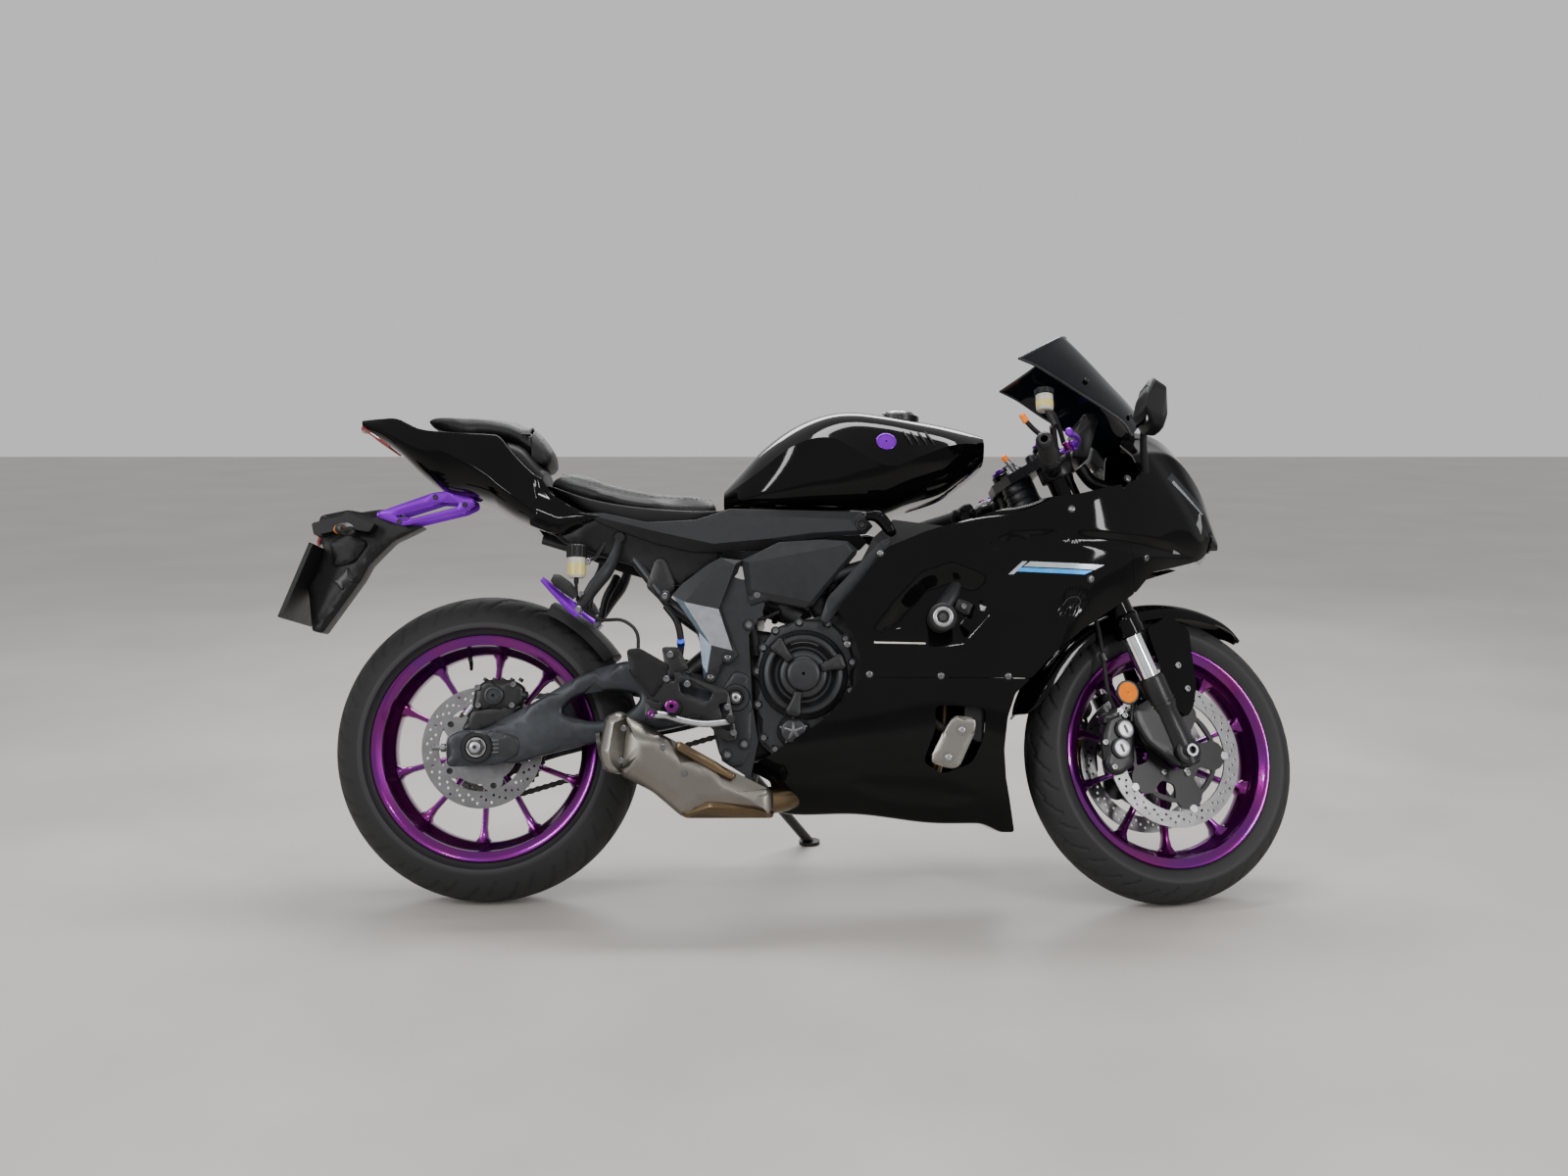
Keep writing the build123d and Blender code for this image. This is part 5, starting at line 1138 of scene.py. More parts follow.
cover.mirrored().done("side_cover_facets", "root", "frame_grey", ["side_covers"], crease=10, bevel=1.2)

# airbox covers
cover = Piece()
BOX_RIM = [(524, 690), (600, 727), (690, 733), (738, 730), (758, 712), (740, 690), (668, 600), (652, 594), (590, 606),
           (536, 622)]
BOX_TOP = [(540, 684, 178), (640, 703, 180), (736, 722, 177), (746, 708, 175), (662, 606, 176), (545, 630, 177)]
n = len(BOX_RIM)
faceted(cover, BOX_RIM, BOX_TOP, 168, 100, [
    ("cover_grey", [(0, 1, n + 1, n), (1, 2, 3, n + 2, n + 1), (3, 4, n + 3, n + 2), (4, 5, 6, n + 4, n + 3),
                    (6, 7, n + 4), (7, 8, 9, n + 5, n + 4), (9, 0, n, n + 5), (n, n + 1, n + 4, n + 5),
                    (n + 1, n + 2, n + 3, n + 4)]),
])
cover.add(tube([(560, 120, 612), (600, 123, 600), (640, 120, 588)], 9, 14), "rubber")
for x in (560, 590, 622):
    cover.add(rod((x, 104, 603), (x, 116, 590), 7, 14), "plastic_black")
cover.mirrored().done("airbox_cover_facets", "root", "frame_grey", ["airbox"], crease=10, bevel=1.5)

# swingarm faces: broad soft-edged box section with a slot
SWINGARM = rounded([(-62, 292), (-62, 338), (14, 352), (120, 412), (208, 465), (300, 492), (400, 470), (540, 445),
                    (545, 388), (500, 382), (380, 352), (236, 326), (130, 300), (74, 282)], 22, 4)
SLOT = rounded([(160, 384), (190, 420), (270, 432), (330, 420), (300, 384), (230, 366)], 22, 5)


def arm_ridge(x, z):
    """Fall of the arm's face above its middle line, and its rise away from the axle."""
    middle = line_distance(x, z, [(-60, 318), (60, 316), (160, 340), (300, 362), (420, 400), (545, 410)])
    return -4.0 * smooth_step(0, 60, middle) + (2.5 * smooth_step(60, 130, x))


arm = Piece()
arm.add(panel(SWINGARM, 119.5, 148, 9, 12, [SLOT], arm_ridge), "arm_grey")
arm.add(panel(rounded([(-60, 276), (-60, 336), (-30, 350), (40, 348), (84, 336), (84, 300), (40, 280)], 14), 140, 152,
              4, 12), "arm_grey")
arm.add(panel(rounded([(26, 296), (26, 336), (62, 342), (80, 330), (80, 298)], 8), 150, 154, 2, 10), "cover_black")
for z in (304, 312, 320, 328):
    arm.add(slab([(30, z), (44, z + 1), (44, z + 3), (30, z + 2)], 153.5, 154.6), "steel")
arm.add(rod((-92, 134, 314), (-56, 134, 314), 5, 12, round_off=1), "steel")
arm.add(rod((-74, 134, 314), (-66, 134, 314), 9, 6), "steel")
arm.add(disc([(0, 10), (0, 31), (6, 32), (9, 29), (9, 22), (4, 20), (4, 10)], 48, (0, 151, REAR_R)), "metal_black")
arm.add(rod((0, 154, REAR_R), (0, 170, REAR_R), 17, 6, round_off=1.5), "dark_steel")
arm.add(disc([(0, 4), (0, 11), (5, 11), (6, 9), (6, 4)], 32, (0, 168, REAR_R)), "alloy")
arm.mirrored()
arm.add(tube([(380, -118, 420), (380, 0, 425), (380, 118, 420)], 46, 24, flat=0.8), "arm_grey")
arm.add(tube([(515, -118, 417), (515, 0, 417), (515, 118, 417)], 27, 24), "arm_grey")
arm.add(disc([(0, 4), (0, 27), (8, 29), (12, 25), (12, 16), (8, 14), (8, 4)], 40, (515, -160, 415), (0, -1, 0)),
        "metal_black")
arm.done("swingarm_cast", "root", "frame_grey", ["swingarm"], crease=40)

# muffler: rounded can with an end cap, screws and a heat-tinted belly
can = Piece()
BODY = rounded([(290, 262), (300, 380), (378, 338), (470, 290), (590, 232), (592, 180), (415, 180), (355, 230)], 12, 4)
END_CAP = rounded([(249, 306), (262, 376), (288, 387), (304, 379), (293, 262), (262, 268)], 9, 4)
can.add(panel(BODY, -151, -233, 24, 14, both=True), "muffler_skin")
can.add(panel(END_CAP, -149, -236, 22, 10, both=True), "muffler_cap")
BELLY = rounded([(392, 208), (470, 224), (560, 205), (592, 196), (592, 180), (418, 179)], 8, 3)
can.add(panel(BELLY, -155, -234.5, 22, 12, both=True), "heat_gold")
can.add(panel(rounded([(404, 330), (480, 288), (520, 262), (512, 252), (470, 272), (400, 312)], 8), -200, -236, 6,
              10), "heat_gold")
can.add(bolts([(300, -234, 352), (296, -234, 290), (377, -233, 316), (418, -233, 266)], -1, 6, 4), "steel")
can.add(tube([(560, -150, 210), (600, -120, 215), (640, -80, 225)], 27, 20), "heat_gold")
can.add(lathe([(-4, 19), (4, 19), (5, 24), (4, 26), (-4, 26), (-5, 24)], 40, (250, -193, 322), (1, 0, 0.18)),
        "dark_steel")
can.done("muffler_can", "root", "muffler_silver", ["muffler"], crease=42)


# --- front end ------------------------------------------------------------------------------
def along_fork(profile, forward, left, steps=40):
    """Turned (up, radius) profile about a line that runs along the fork."""
    return lathe(profile, steps, steer_at(forward, left, 0), AXIS_DIR)


legs = Piece()
for side in (-1, 1):
    y = side * FORK_Y
    legs.add(along_fork([(256, 20.6), (256, 28), (259, 31), (274, 31.5), (280, 30), (286, 30.5), (300, 30), (304, 27),
                         (686, 27), (688, 25.5), (688, 12), (640, 12), (300, 20.6)], 38, y), "paint_black")
    legs.add(along_fork([(684, 3), (690, 23.5), (694, 23.5), (695, 15), (699, 14.5), (700, 12), (700, 3)], 38, y),
             "violet")
    legs.add(along_fork([(30, 6), (30, 20.5), (257, 20.5), (257, 6)], 38, y, 48), "chrome")
    legs.add(along_fork([(-30, 4), (-30, 19), (-26, 24), (20, 26), (50, 25), (90, 24), (96, 26.5), (120, 27.5),
                         (158, 28), (164, 27), (166, 24), (166, 20.6), (60, 20.4), (20, 4)], 38, y), "metal_black")
    for low, high in ((102, 106), (112, 116)):
        legs.add(along_fork([(low, 27), (low, 29), (high, 29), (high, 27)], 38, y), "metal_black")
    foot = [(-34, 120), (-40, 96), (-34, 50), (-16, 20), (10, -24), (52, -28), (66, -6), (60, 30), (52, 90), (40, 130)]
    legs.steer(panel(rounded(foot, 12, 3), *sorted((side * 90, side * 112)), 6, 14, both=True), "metal_black")
    legs.steer(lathe([(0, 12.6), (0, 27), (4, 28), (10, 27), (12, 24), (12, 12.6)], 40,
                           (FORK_OFFSET, side * 113, 0), (0, side, 0)), "metal_black")
    legs.steer(bolts([(70, side * 100, -8), (18, side * 112, -34)], side, 6, 5), "steel")
    legs.steer(tube([(-40, side * 100, 100), (-26, side * 103, 128), (-24, side * 101, 150)], 4, 10), "metal_black")
    legs.steer(disc([(96, 2), (96, 22), (104, 25), (106.5, 24), (106.5, 21.5), (106, 2)], 40, (-24, 0, 156),
                           (0, side, 0)), "metal_black")
    ribs = [(105.5, 1)]
    for k in range(11):
        ribs.append((107.6 if k % 2 else 106.6, 1.5 + k * 1.95))
    legs.steer(lathe(ribs + [(105.5, 21.8)], 40, (-24, 0, 156), (0, side, 0)), "lens_amber")
legs.done("fork_leg_tubes", "steering", "gloss_black", ["fork_legs"], TURNED, crease=36)

CALIPER = [(-30, 84), (-34, 122), (-58, 132), (-84, 124), (-108, 98), (-130, 42), (-126, 22), (-104, 10), (-66, 20),
           (-51, 56)]
calipers = Piece()
calipers.steer(panel(rounded(CALIPER, 9, 3), 67.5, 92, 8, 9, both=True), "metal_black")
for a, h in ((-60, 91), (-85, 60)):
    calipers.steer(disc([(88, 3), (88, 21), (96, 21), (98, 19.5), (98, 3)], 40, (a, 0, h), (0, 1, 0)),
                 "metal_black")
    calipers.steer(disc([(97, 3), (97, 17.5), (101, 17.5), (102, 16), (102, 12), (101, 11), (101, 3)], 40,
                               (a, 0, h), (0, 1, 0)), "alloy")
    calipers.steer(slab(rounded([(a - 3, h - 9), (a + 3, h - 9), (a + 3, h + 9), (a - 3, h + 9)], 2.5, 2), 100.6,
                        101.6), "dark_steel")
calipers.steer(panel(rounded([(-98, 118), (-88, 134), (-52, 140), (-44, 124), (-60, 118)], 5), 70, 96, 4, 9, both=True),
             "metal_black")
calipers.steer(bolts([(-46, 92, 116), (-112, 92, 84), (-116, 92, 32)], 1, 6.5, 5), "steel")
calipers.steer(rod((-72, 84, 134), (-72, 84, 148), 5, 6), "steel")
calipers.steer(rod((-120, 72, 66), (-36, 72, 104), 3.5, 12), "steel")
calipers.steer(panel(rounded([(-112, 60), (-96, 96), (-74, 108), (-60, 96), (-88, 44), (-104, 40)], 5), 67, 70.5, 1.2,
                     9), "heat_gold")
calipers.mirrored().done("front_caliper_bodies", "steering", "frame_grey", ["front_calipers"], TURNED, crease=36)

unions = Piece()
for side in (-1, 1):
    for a, y, h in ((-52, 80, 122), (-30, 84, 240), (-4, 62, 400)):
        unions.steer(rod((a, side * y, h - 9), (a + 1, side * y, h + 9), 7, 16, round_off=1.5), "dark_steel")
    unions.steer(rod((-52, side * 80, 128), (-52, side * 96, 128), 7.5, 6), "alloy")
unions.done("hose_unions", "steering", "frame_grey", place=TURNED)

# --- cockpit --------------------------------------------------------------------------------
bars = Piece()
for side in (-1, 1):
    start, end = Vector((14, side * 129, 630)), Vector((-99, side * 345, 668))
    run = (end - start).normalized()

    def on_bar(distance):
        return start + run * distance

    length = (end - start).length
    hollow = [(0, 6), (0, 11), (length, 11), (length, 7.1), (length - 40, 7.1), (length - 41, 6)]
    bars.steer(lathe(hollow, 28, start, run), "metal_black")
    grip = [(118, 11), (118, 19), (121, 21), (124, 19), (126, 16.8)]
    for k in range(20):
        grip += [(127 + k * 5, 16.8), (128 + k * 5, 15.6), (130 + k * 5, 15.6), (131 + k * 5, 16.8)]
    grip += [(230, 16.5), (234, 17.2), (236, 16), (236, 11)]
    bars.steer(lathe(grip, 40, start, run), "rubber")
    bars.steer(lathe([(236, 7.2), (236, 15), (240, 15.6), (244, 13), (246, 10), (246, 7.2)], 32, start, run),
               "metal_black")
    bars.add(along_fork([(611, 27.2), (611, 35), (614, 36.5), (646, 36.5), (649, 35), (649, 27.2)], 38,
                        side * FORK_Y), "metal_black")
    bars.steer(tube([(30, side * 122, 629), (16, side * 132, 630), (8, side * 148, 633)], [15, 16, 13], 18),
               "metal_black")
    bars.steer(rod((66, side * 92, 622), (66, side * 114, 622), 6, 6), "steel")
    middle = on_bar(92)
    box = rounded([(middle.x - 17, middle.z - 22), (middle.x - 17, middle.z + 18), (middle.x - 6, middle.z + 25),
                   (middle.x + 12, middle.z + 22), (middle.x + 18, middle.z + 4), (middle.x + 14, middle.z - 20)], 5, 3)
    bars.steer(panel(box, *sorted((middle.y - 17, middle.y + 17)), 5, 7, both=True), "plastic_black")
    bars.steer(rod((middle.x - 20, middle.y - 5, middle.z + 10), (middle.x - 14, middle.y - 5, middle.z + 10), 5, 16,
                         round_off=1), "plastic_black")
    clamp_point = on_bar(56)
    bars.steer(tube([clamp_point + Vector((-14, 0, 0)), clamp_point, clamp_point + Vector((20, side * 3, 4)),
                           clamp_point + Vector((34, side * 8, 6))], [12, 17, 15, 11], 18), "metal_black")
red = rounded([(-34, 672), (-30, 684), (-12, 684), (-10, 672)], 3, 2)
bars.steer(panel(red, -222, -206, 2.5, 5, both=True), "red_button")
bars.steer(rod((-2, -240, 700), (-2, -240, 738), 6, 14), "metal_black")
bars.steer(tube([(6, -186, 646), (4, -200, 668), (-2, -232, 700)], 7, 14), "metal_black")
UPRIGHT, CUP = Vector((0.4015, 0, 0.9159)), (-8, -240, 734)
bars.steer(disc([(0, 3), (0, 15), (3, 17), (33, 17), (33, 3)], 36, CUP, UPRIGHT), "bottle")
bars.steer(lathe([(6, 16.6), (6, 17.3), (20, 17.3), (20, 16.6)], 36, CUP, UPRIGHT), "bottle_fluid")
bars.steer(disc([(32, 3), (32, 18), (34, 19), (43, 19), (44, 17.5), (44, 3)], 36, CUP, UPRIGHT),
         "plastic_black")
bars.steer(tube([(-2, -240, 742), (8, -236, 720), (20, -214, 690), (26, -196, 662)], 5, 12), "rubber")
bars.steer(tube([(-16, -206, 690), (-30, -208, 712), (-37, -206, 733)], 5, 12), "plastic_black")
bars.steer(rod((-37, -206, 730), (-40, -206, 750), 6.5, 16, round_off=2), "orange_fluid")
bars.done("bar_controls", "steering", "frame_grey", ["clip_ons"], TURNED, crease=38)

levers = Piece()
for side in (-1, 1):
    levers.steer(tube([(14, side * 188, 650), (40, side * 198, 653), (44, side * 214, 653), (30, side * 246, 655),
                             (4, side * 284, 659), (-22, side * 312, 662), (-32, side * 326, 664)],
                            [7, 9, 8, 6.5, 6, 6.2, 6], 16, flat=0.62), "violet")
    levers.steer(rod((-30, side * 323, 664), (-37, side * 335, 665), 8, 16, round_off=3), "violet")
    levers.steer(rod((40, side * 204, 643), (40, side * 204, 663), 6, 16, round_off=1), "violet")
    levers.steer(rod((22, side * 214, 646), (22, side * 214, 664), 9, 20, round_off=2), "candy")
levers.done("lever_blades", "steering", "anodised_violet", ["hand_levers"], TURNED, crease=40)

top = Piece()
top.add(along_fork([(664, 4), (664, 26), (672, 27), (676, 25), (678, 18), (684, 17), (686, 14), (686, 4)], 0, 0, 6),
        "alloy")
top.add(along_fork([(664, 4), (664, 17), (690, 16), (693, 13), (693, 10), (688, 9), (688, 4)], 62, 0, 32),
        "metal_black")
top.add(along_fork([(690, 2), (690, 6), (694, 6), (694, 2)], 62, 0, 20), "alloy")
top.steer(rod((-30, -58, 690), (-34, -58, 704), 6.5, 16, round_off=2), "orange_fluid")
top.steer(tube([(-22, -56, 664), (-27, -58, 680), (-31, -58, 692)], 6, 12), "alloy")
for k in range(5):
    top.add(along_fork([(596 + k * 9, 28), (598 + k * 9, 33 + k % 2 * 3), (603 + k * 9, 33), (604 + k * 9, 28)], -2,
                       0, 32), "dark_steel")
top.steer(tube([(-4, -150, 640), (36, -140, 650), (70, -100, 620), (74, -60, 560), (66, -30, 500)], 5.5, 12), "rubber")
top.steer(tube([(-2, 150, 640), (40, 138, 654), (76, 96, 628), (80, 50, 560), (70, 26, 500)], 5.5, 12), "rubber")
top.steer(tube([(20, -170, 634), (52, -150, 650), (82, -96, 640), (84, -40, 590)], 4.5, 12), "rubber")
for side in (-1, 1):
    top.steer(bolts([(78, side * 96, 660)], side, 6, 5), "steel")
top.done("steering_crown_parts", "steering", "frame_grey", place=TURNED, crease=36)

clocks = Piece()
HOOD = rounded([(1206, 918), (1214, 962), (1232, 1012), (1260, 1010), (1262, 996), (1238, 914)], 6, 3)
clocks.add(panel(HOOD, -82, 82, 8, 14, both=True), "plastic_black")
DIAL_FOOT, DIAL_TOP = Vector((1211.5, 0, 930)), Vector((1231, 0, 1000))
across = Vector((0, 68, 0))
face = [DIAL_FOOT - across, DIAL_FOOT + across, DIAL_TOP + across, DIAL_TOP - across]
push = Vector((-3.5, 0, 1))
rim = [p + push for p in face]
clocks.add((face + rim, [[0, 1, 2, 3], [4, 5, 6, 7], [0, 1, 5, 4], [1, 2, 6, 5], [2, 3, 7, 6], [3, 0, 4, 7]]),
           "screen_dark")
for y, low, high in ((-46, 0.2, 0.8), (0, 0.3, 0.42), (0, 0.55, 0.7), (46, 0.2, 0.8)):
    base, tip = (DIAL_FOOT.lerp(DIAL_TOP, share) + Vector((0, y, 0)) + push * 1.15 for share in (low, high))
    wide = Vector((0, 9 if y else 22, 0))
    clocks.add(([base - wide, base + wide, tip + wide, tip - wide], [[0, 1, 2, 3]]), "dial_glow")
clocks.add(tube([(1236, 0, 912), (1262, 0, 880), (1300, 0, 866)], 14, 14), "metal_black")
clocks.done("instrument_hood", "root", "matte_black", ["instrument_panel"], crease=36)

mirrors = Piece()
POD = rounded([(1298, 964), (1304, 1000), (1318, 1031), (1344, 1013), (1345, 950), (1337, 926), (1316, 930)], 4, 3)
centre = Vector((1321, 0, 978))
rows = []
for y, size in [(223, 0.4), (224, 0.6), (229, 0.78), (240, 0.9), (262, 0.98), (300, 1.0), (330, 0.96), (341, 0.84),
                (346, 0.66), (347, 0.4)]:
    rows.append([Vector((centre.x + (x - centre.x) * (0.55 + 0.45 * size), y,
                         centre.z + (z - centre.z) * size)) for x, z in POD])
mirrors.add(capped(rows), "plastic_black")
glass_edge = rounded([(236, 946), (234, 1004), (250, 1018), (322, 1018), (338, 1000), (334, 950), (322, 942)], 10, 4)
flat, caps = fill([glass_edge])
front = [Vector((1304.6 + (p.y - 946) * 0.085, p.x, p.y)) for p in flat]
back = [p + Vector((6, 0, 0)) for p in front]
mirrors.add(walled(front, back, [glass_edge], caps), "mirror_glass")
mirrors.add(tube([(1346, 128, 866), (1340, 150, 884), (1328, 196, 924), (1321, 238, 952)], [13, 10, 8.5, 9], 16,
                 flat=0.75), "plastic_black")
mirrors.add(disc([(0, 3), (0, 19), (6, 18), (9, 12), (9, 3)], 28, (1346, 126, 862), (0, 0.8, 0.5)), "rubber")
mirrors.mirrored().done("mirror_pods", "root", "matte_black", ["mirrors"], crease=40)


# --- surface probes -------------------------------------------------------------------------
HULL_TREE = bvhtree.BVHTree.FromPolygons([tuple(v) for v in hull_outer[0]], hull_outer[1])
TANK_TREE = bvhtree.BVHTree.FromPolygons([tuple(v) for v in tank_shape[0]], tank_shape[1])


def skin_point(tree, x, z, side=-1, lift=0.0):
    """Point on a surface seen from one side, and the way it faces."""
    hit, normal, *_ = tree.ray_cast(Vector((x, side * 500, z)), Vector((0, -side, 0)))
    if normal.y * side < 0:
        normal = -normal
    return hit + normal * lift, normal


def strip(tree, corners, side, across=4, along=24, lift=0.7):
    """Thin patch that follows a surface between four (x, z) corners."""
    a, b, c, d = (Vector(p) for p in corners)
    rows = []
    for i in range(across + 1):
        start, end = a.lerp(d, i / across), b.lerp(c, i / across)
        rows.append([skin_point(tree, *start.lerp(end, j / along), side, lift)[0] for j in range(along + 1)])
    return [p for row in rows for p in row], grid_faces(across + 1, along + 1)


# --- engine side ----------------------------------------------------------------------------
CLUTCH = Vector((649, -138, 462))
case = Piece()
case.add(disc([(0, 3), (0, 90), (16, 90), (20, 88), (24, 83), (36, 80.5), (41, 77), (43, 70), (40, 66), (33, 64),
               (30, 60), (30, 52), (34, 48), (44, 46), (47, 41), (47, 36), (53, 33.5), (56, 30), (57, 24), (57, 3)],
              96, CLUTCH, (0, -1, 0)), "cover_black")
case.add(lathe([(26, 56), (35, 56.5), (38, 58), (35, 59.5), (26, 60)], 96, CLUTCH, (0, -1, 0)), "cover_black")
for degrees in (18, 133, 255):
    a = math.radians(degrees)
    out, turn = Vector((math.cos(a), math.sin(a))), Vector((-math.sin(a), math.cos(a)))
    mid = Vector((CLUTCH.x, CLUTCH.z))
    wedge = [tuple(mid + out * r + turn * w) for r, w in ((36, -9), (36, 9), (58, 11), (78, 17), (85, 12), (86, -12),
                                                          (78, -17), (58, -11))]
    case.add(panel(rounded(wedge, 4, 3), -150, -197, 6, 7), "engine_black")
    case.add(slab(rounded([tuple(mid + out * r + turn * w) for r, w in ((60, -5), (60, 5), (74, 8), (74, -8))], 3, 2),
                  -196, -197.6), "cover_black")
for k in range(5):
    ring = []
    for step in range(17):
        a = math.radians(62 + 3.2 * step)
        ring.append(CLUTCH + Vector((math.cos(a) * (64 + k * 5.2), -(34 - k * 4.2), math.sin(a) * (64 + k * 5.2))))
    case.add(tube(ring, 1.7, 8, 2), "rib_grey")
FLANGE = [(566, 330), (554, 400), (552, 470), (564, 520), (590, 556), (640, 574), (700, 572), (738, 540), (752, 490),
          (748, 430), (728, 392), (700, 368), (668, 322), (620, 308), (590, 306)]
case.add(panel(rounded(FLANGE, 16, 3), -128, -147, 6, 12), "cover_black")
inset = [Vector(p).lerp(Vector((652, 444)), 0.055) for p in FLANGE]
case.add(bolts([(p.x, -146.5, p.y) for p in inset], -1, 6.5, 6), "steel")
for p in inset:
    case.add(disc([(-4, 3), (-4, 10), (0.5, 9.5), (0.5, 3)], 18, (p.x, -146.5, p.y), (0, -1, 0)), "cover_black")
case.add(disc([(0, 3), (0, 33), (8, 33), (12, 30), (15, 26), (22, 24), (24, 20), (24, 3)], 40, (630, -144, 350),
              (0, -1, 0)), "cover_black")
for k in range(5):
    a = math.radians(72 * k + 20)
    tip = Vector((630 + 27 * math.cos(a), -160, 350 + 27 * math.sin(a)))
    case.add(tube([(630, -168, 350), ((630 + tip.x) / 2, -166, (350 + tip.z) / 2), tip], [5, 4, 3.5], 10, 3),
             "rib_grey")
case.add(tube([(652, -152, 338), (684, -150, 318), (712, -140, 300)], 12, 18), "alloy")
case.add(tube([(712, -140, 300), (760, -120, 290), (820, -90, 300)], 15, 18), "rubber")
case.add(panel(rounded([(512, 300), (508, 420), (516, 520), (548, 556), (590, 552), (590, 296), (550, 286)], 12, 3),
               104, -104, 12, 20, both=True), "engine_black")
case.add(tube([(520, -112, 610), (532, -124, 580), (548, -128, 545), (556, -132, 500)], 10, 16), "rubber")
case.add(tube([(500, -118, 640), (514, -134, 590), (534, -138, 530), (540, -138, 460), (548, -134, 380)], 4.5, 10),
         "rubber")
case.add(tube([(508, -118, 645), (530, -138, 600), (560, -140, 575), (600, -136, 590)], 4, 10), "rubber")
case.add(rod((533, -118, 584), (529, -116, 596), 13, 20, round_off=2), "alloy")
case.add(tube([(600, -110, 640), (612, -112, 606), (640, -108, 580)], 26, 24, flat=0.9), "engine_black")
case.add(tube([(676, -104, 640), (684, -106, 606), (700, -100, 580)], 26, 24, flat=0.9), "engine_black")
for x, z in ((606, 622), (680, 622)):
    case.add(lathe([(0, 20), (0, 28), (8, 28), (8, 20)], 28, (x, -110, z), (-0.3, 0, 1)), "dark_steel")
case.add(rod((640, -100, 612), (640, -136, 612), 11, 20, round_off=2), "plastic_black")
case.add(rod((668, -120, 572), (668, -134, 572), 7, 6), "alloy")
for x, z in ((690, 574), (716, 566)):
    case.add(rod((x, -120, z), (x, -134, z), 5, 12), "steel")
case.done("crankcase_right", "root", "engine_grey", ["clutch_cover"], crease=34)

GENERATOR = Vector((790, 137, 430))
stator = Piece()
stator.add(disc([(0, 3), (0, 78), (12, 78), (16, 76), (20, 72), (28, 71), (33, 66), (35, 58), (31, 52), (31, 40),
                 (35, 36), (35, 3)], 96, GENERATOR, (0, 1, 0)), "cover_black")
for k in range(9):
    a = math.radians(40 * k)
    place = GENERATOR + Vector((75 * math.cos(a), 10, 75 * math.sin(a)))
    stator.add(disc([(-6, 3), (-6, 10), (3, 9), (3, 3)], 18, place, (0, 1, 0)), "cover_black")
    stator.add(bolt(place + Vector((0, 3, 0)), (0, 1, 0), 6, 5), "steel")
stator.add(panel(rounded([(552, 380), (560, 490), (610, 530), (690, 520), (712, 440), (690, 370), (620, 330)], 16, 3),
                 128, 146, 6, 14), "cover_black")
stator.add(bolts([(566, 146, 390), (572, 146, 486), (614, 146, 520), (682, 146, 510), (700, 146, 440),
                  (622, 146, 340)], 1, 6.5, 6), "steel")
stator.done("crankcase_left", "root", "engine_grey", ["generator_cover"], crease=34)

# frame plate details, both sides
frame_parts = Piece()
frame_parts.add(disc([(0, 3), (0, 27), (3, 28), (8, 26), (8, 20), (3, 18), (3, 3)], 40, (515, 165.5, 415), (0, 1, 0)),
                "cover_grey")
frame_parts.add(rod((515, 168, 415), (515, 178, 415), 15, 6, round_off=2), "dark_steel")
frame_parts.add(disc([(0, 3), (0, 9), (4, 9), (5, 7), (5, 3)], 24, (515, 177, 415), (0, 1, 0)), "alloy")
PLATE = rounded([(484, 300), (470, 350), (478, 392), (492, 440), (512, 470), (540, 462), (548, 400), (546, 330),
                 (532, 280), (506, 276)], 10, 3)
frame_parts.add(panel(PLATE, 163, 169, 4, 9), "frame_grey")
for x, z in ((532, 323), (499, 302), (540, 560), (556, 620), (371, 618)):
    out = 150 if x == 371 else 166
    frame_parts.add(disc([(-3, 3), (-3, 11), (3, 12), (5, 10), (5, 3)], 24, (x, out, z), (0, 1, 0)), "cover_grey")
    frame_parts.add(bolt((x, out + 4, z), (0, 1, 0), 7, 4.5), "steel")
frame_parts.mirrored()
frame_parts.add(tube([(396, -146, 470), (404, -150, 520), (396, -150, 566), (372, -142, 600)], 7, 14), "plastic_black")
frame_parts.add(rod((404, -150, 520), (404, -160, 528), 8, 16), "blue_metal")
frame_parts.done("frame_plate_fittings", "root", "frame_grey", crease=34)

# rear sets
sets = Piece()
HANGER = rounded([(299, 507), (322, 511), (418, 456), (500, 430), (520, 330), (498, 326), (440, 380), (412, 372),
                  (384, 374), (372, 400), (346, 408), (306, 462)], 7, 3)
SLOTS = [rounded([(334, 490), (392, 458), (396, 446), (346, 470)], 4, 2), rounded([(404, 444), (470, 424), (462, 408),
                                                                                   (408, 424)], 5, 2),
         rounded([(482, 400), (498, 404), (506, 350), (496, 352)], 4, 2)]
sets.add(panel(HANGER, 186, 194, 3, 9, SLOTS), "metal_black")
sets.add(panel(rounded([(299, 508), (324, 512), (384, 478), (372, 440), (352, 412), (308, 460)], 8, 3), 193, 199, 3,
               8), "plastic_black")
knurl = [(0, 4), (0, 11)]
for k in range(14):
    knurl += [(6 + k * 5, 10.6), (7 + k * 5, 12), (9 + k * 5, 12), (10 + k * 5, 10.6)]
sets.add(disc(knurl + [(78, 11), (78, 4)], 20, (395, 194, 394), (0, 1, 0)), "metal_black")
sets.add(disc([(74, 4), (74, 12.4), (80, 12.4), (81, 10), (81, 4)], 24, (395, 194, 394), (0, 1, 0)), "candy")
sets.add(disc([(-2, 4), (-2, 17), (8, 15), (8, 4)], 24, (395, 194, 394), (0, 1, 0)), "metal_black")
sets.add(panel(rounded([(368, 514), (402, 514), (424, 470), (380, 450)], 8, 3), 186, 194, 3, 9), "metal_black")
sets.add(panel(rounded([(338, 414), (378, 408), (372, 372), (336, 368)], 8, 3), 186, 194, 3, 9), "metal_black")
for x, z in ((500, 395), (512, 345), (386, 498), (379, 450), (420, 440)):
    sets.add(bolt((x, 196 if x != 386 else 198, z), (0, 1, 0), 7, 4.5), "steel")
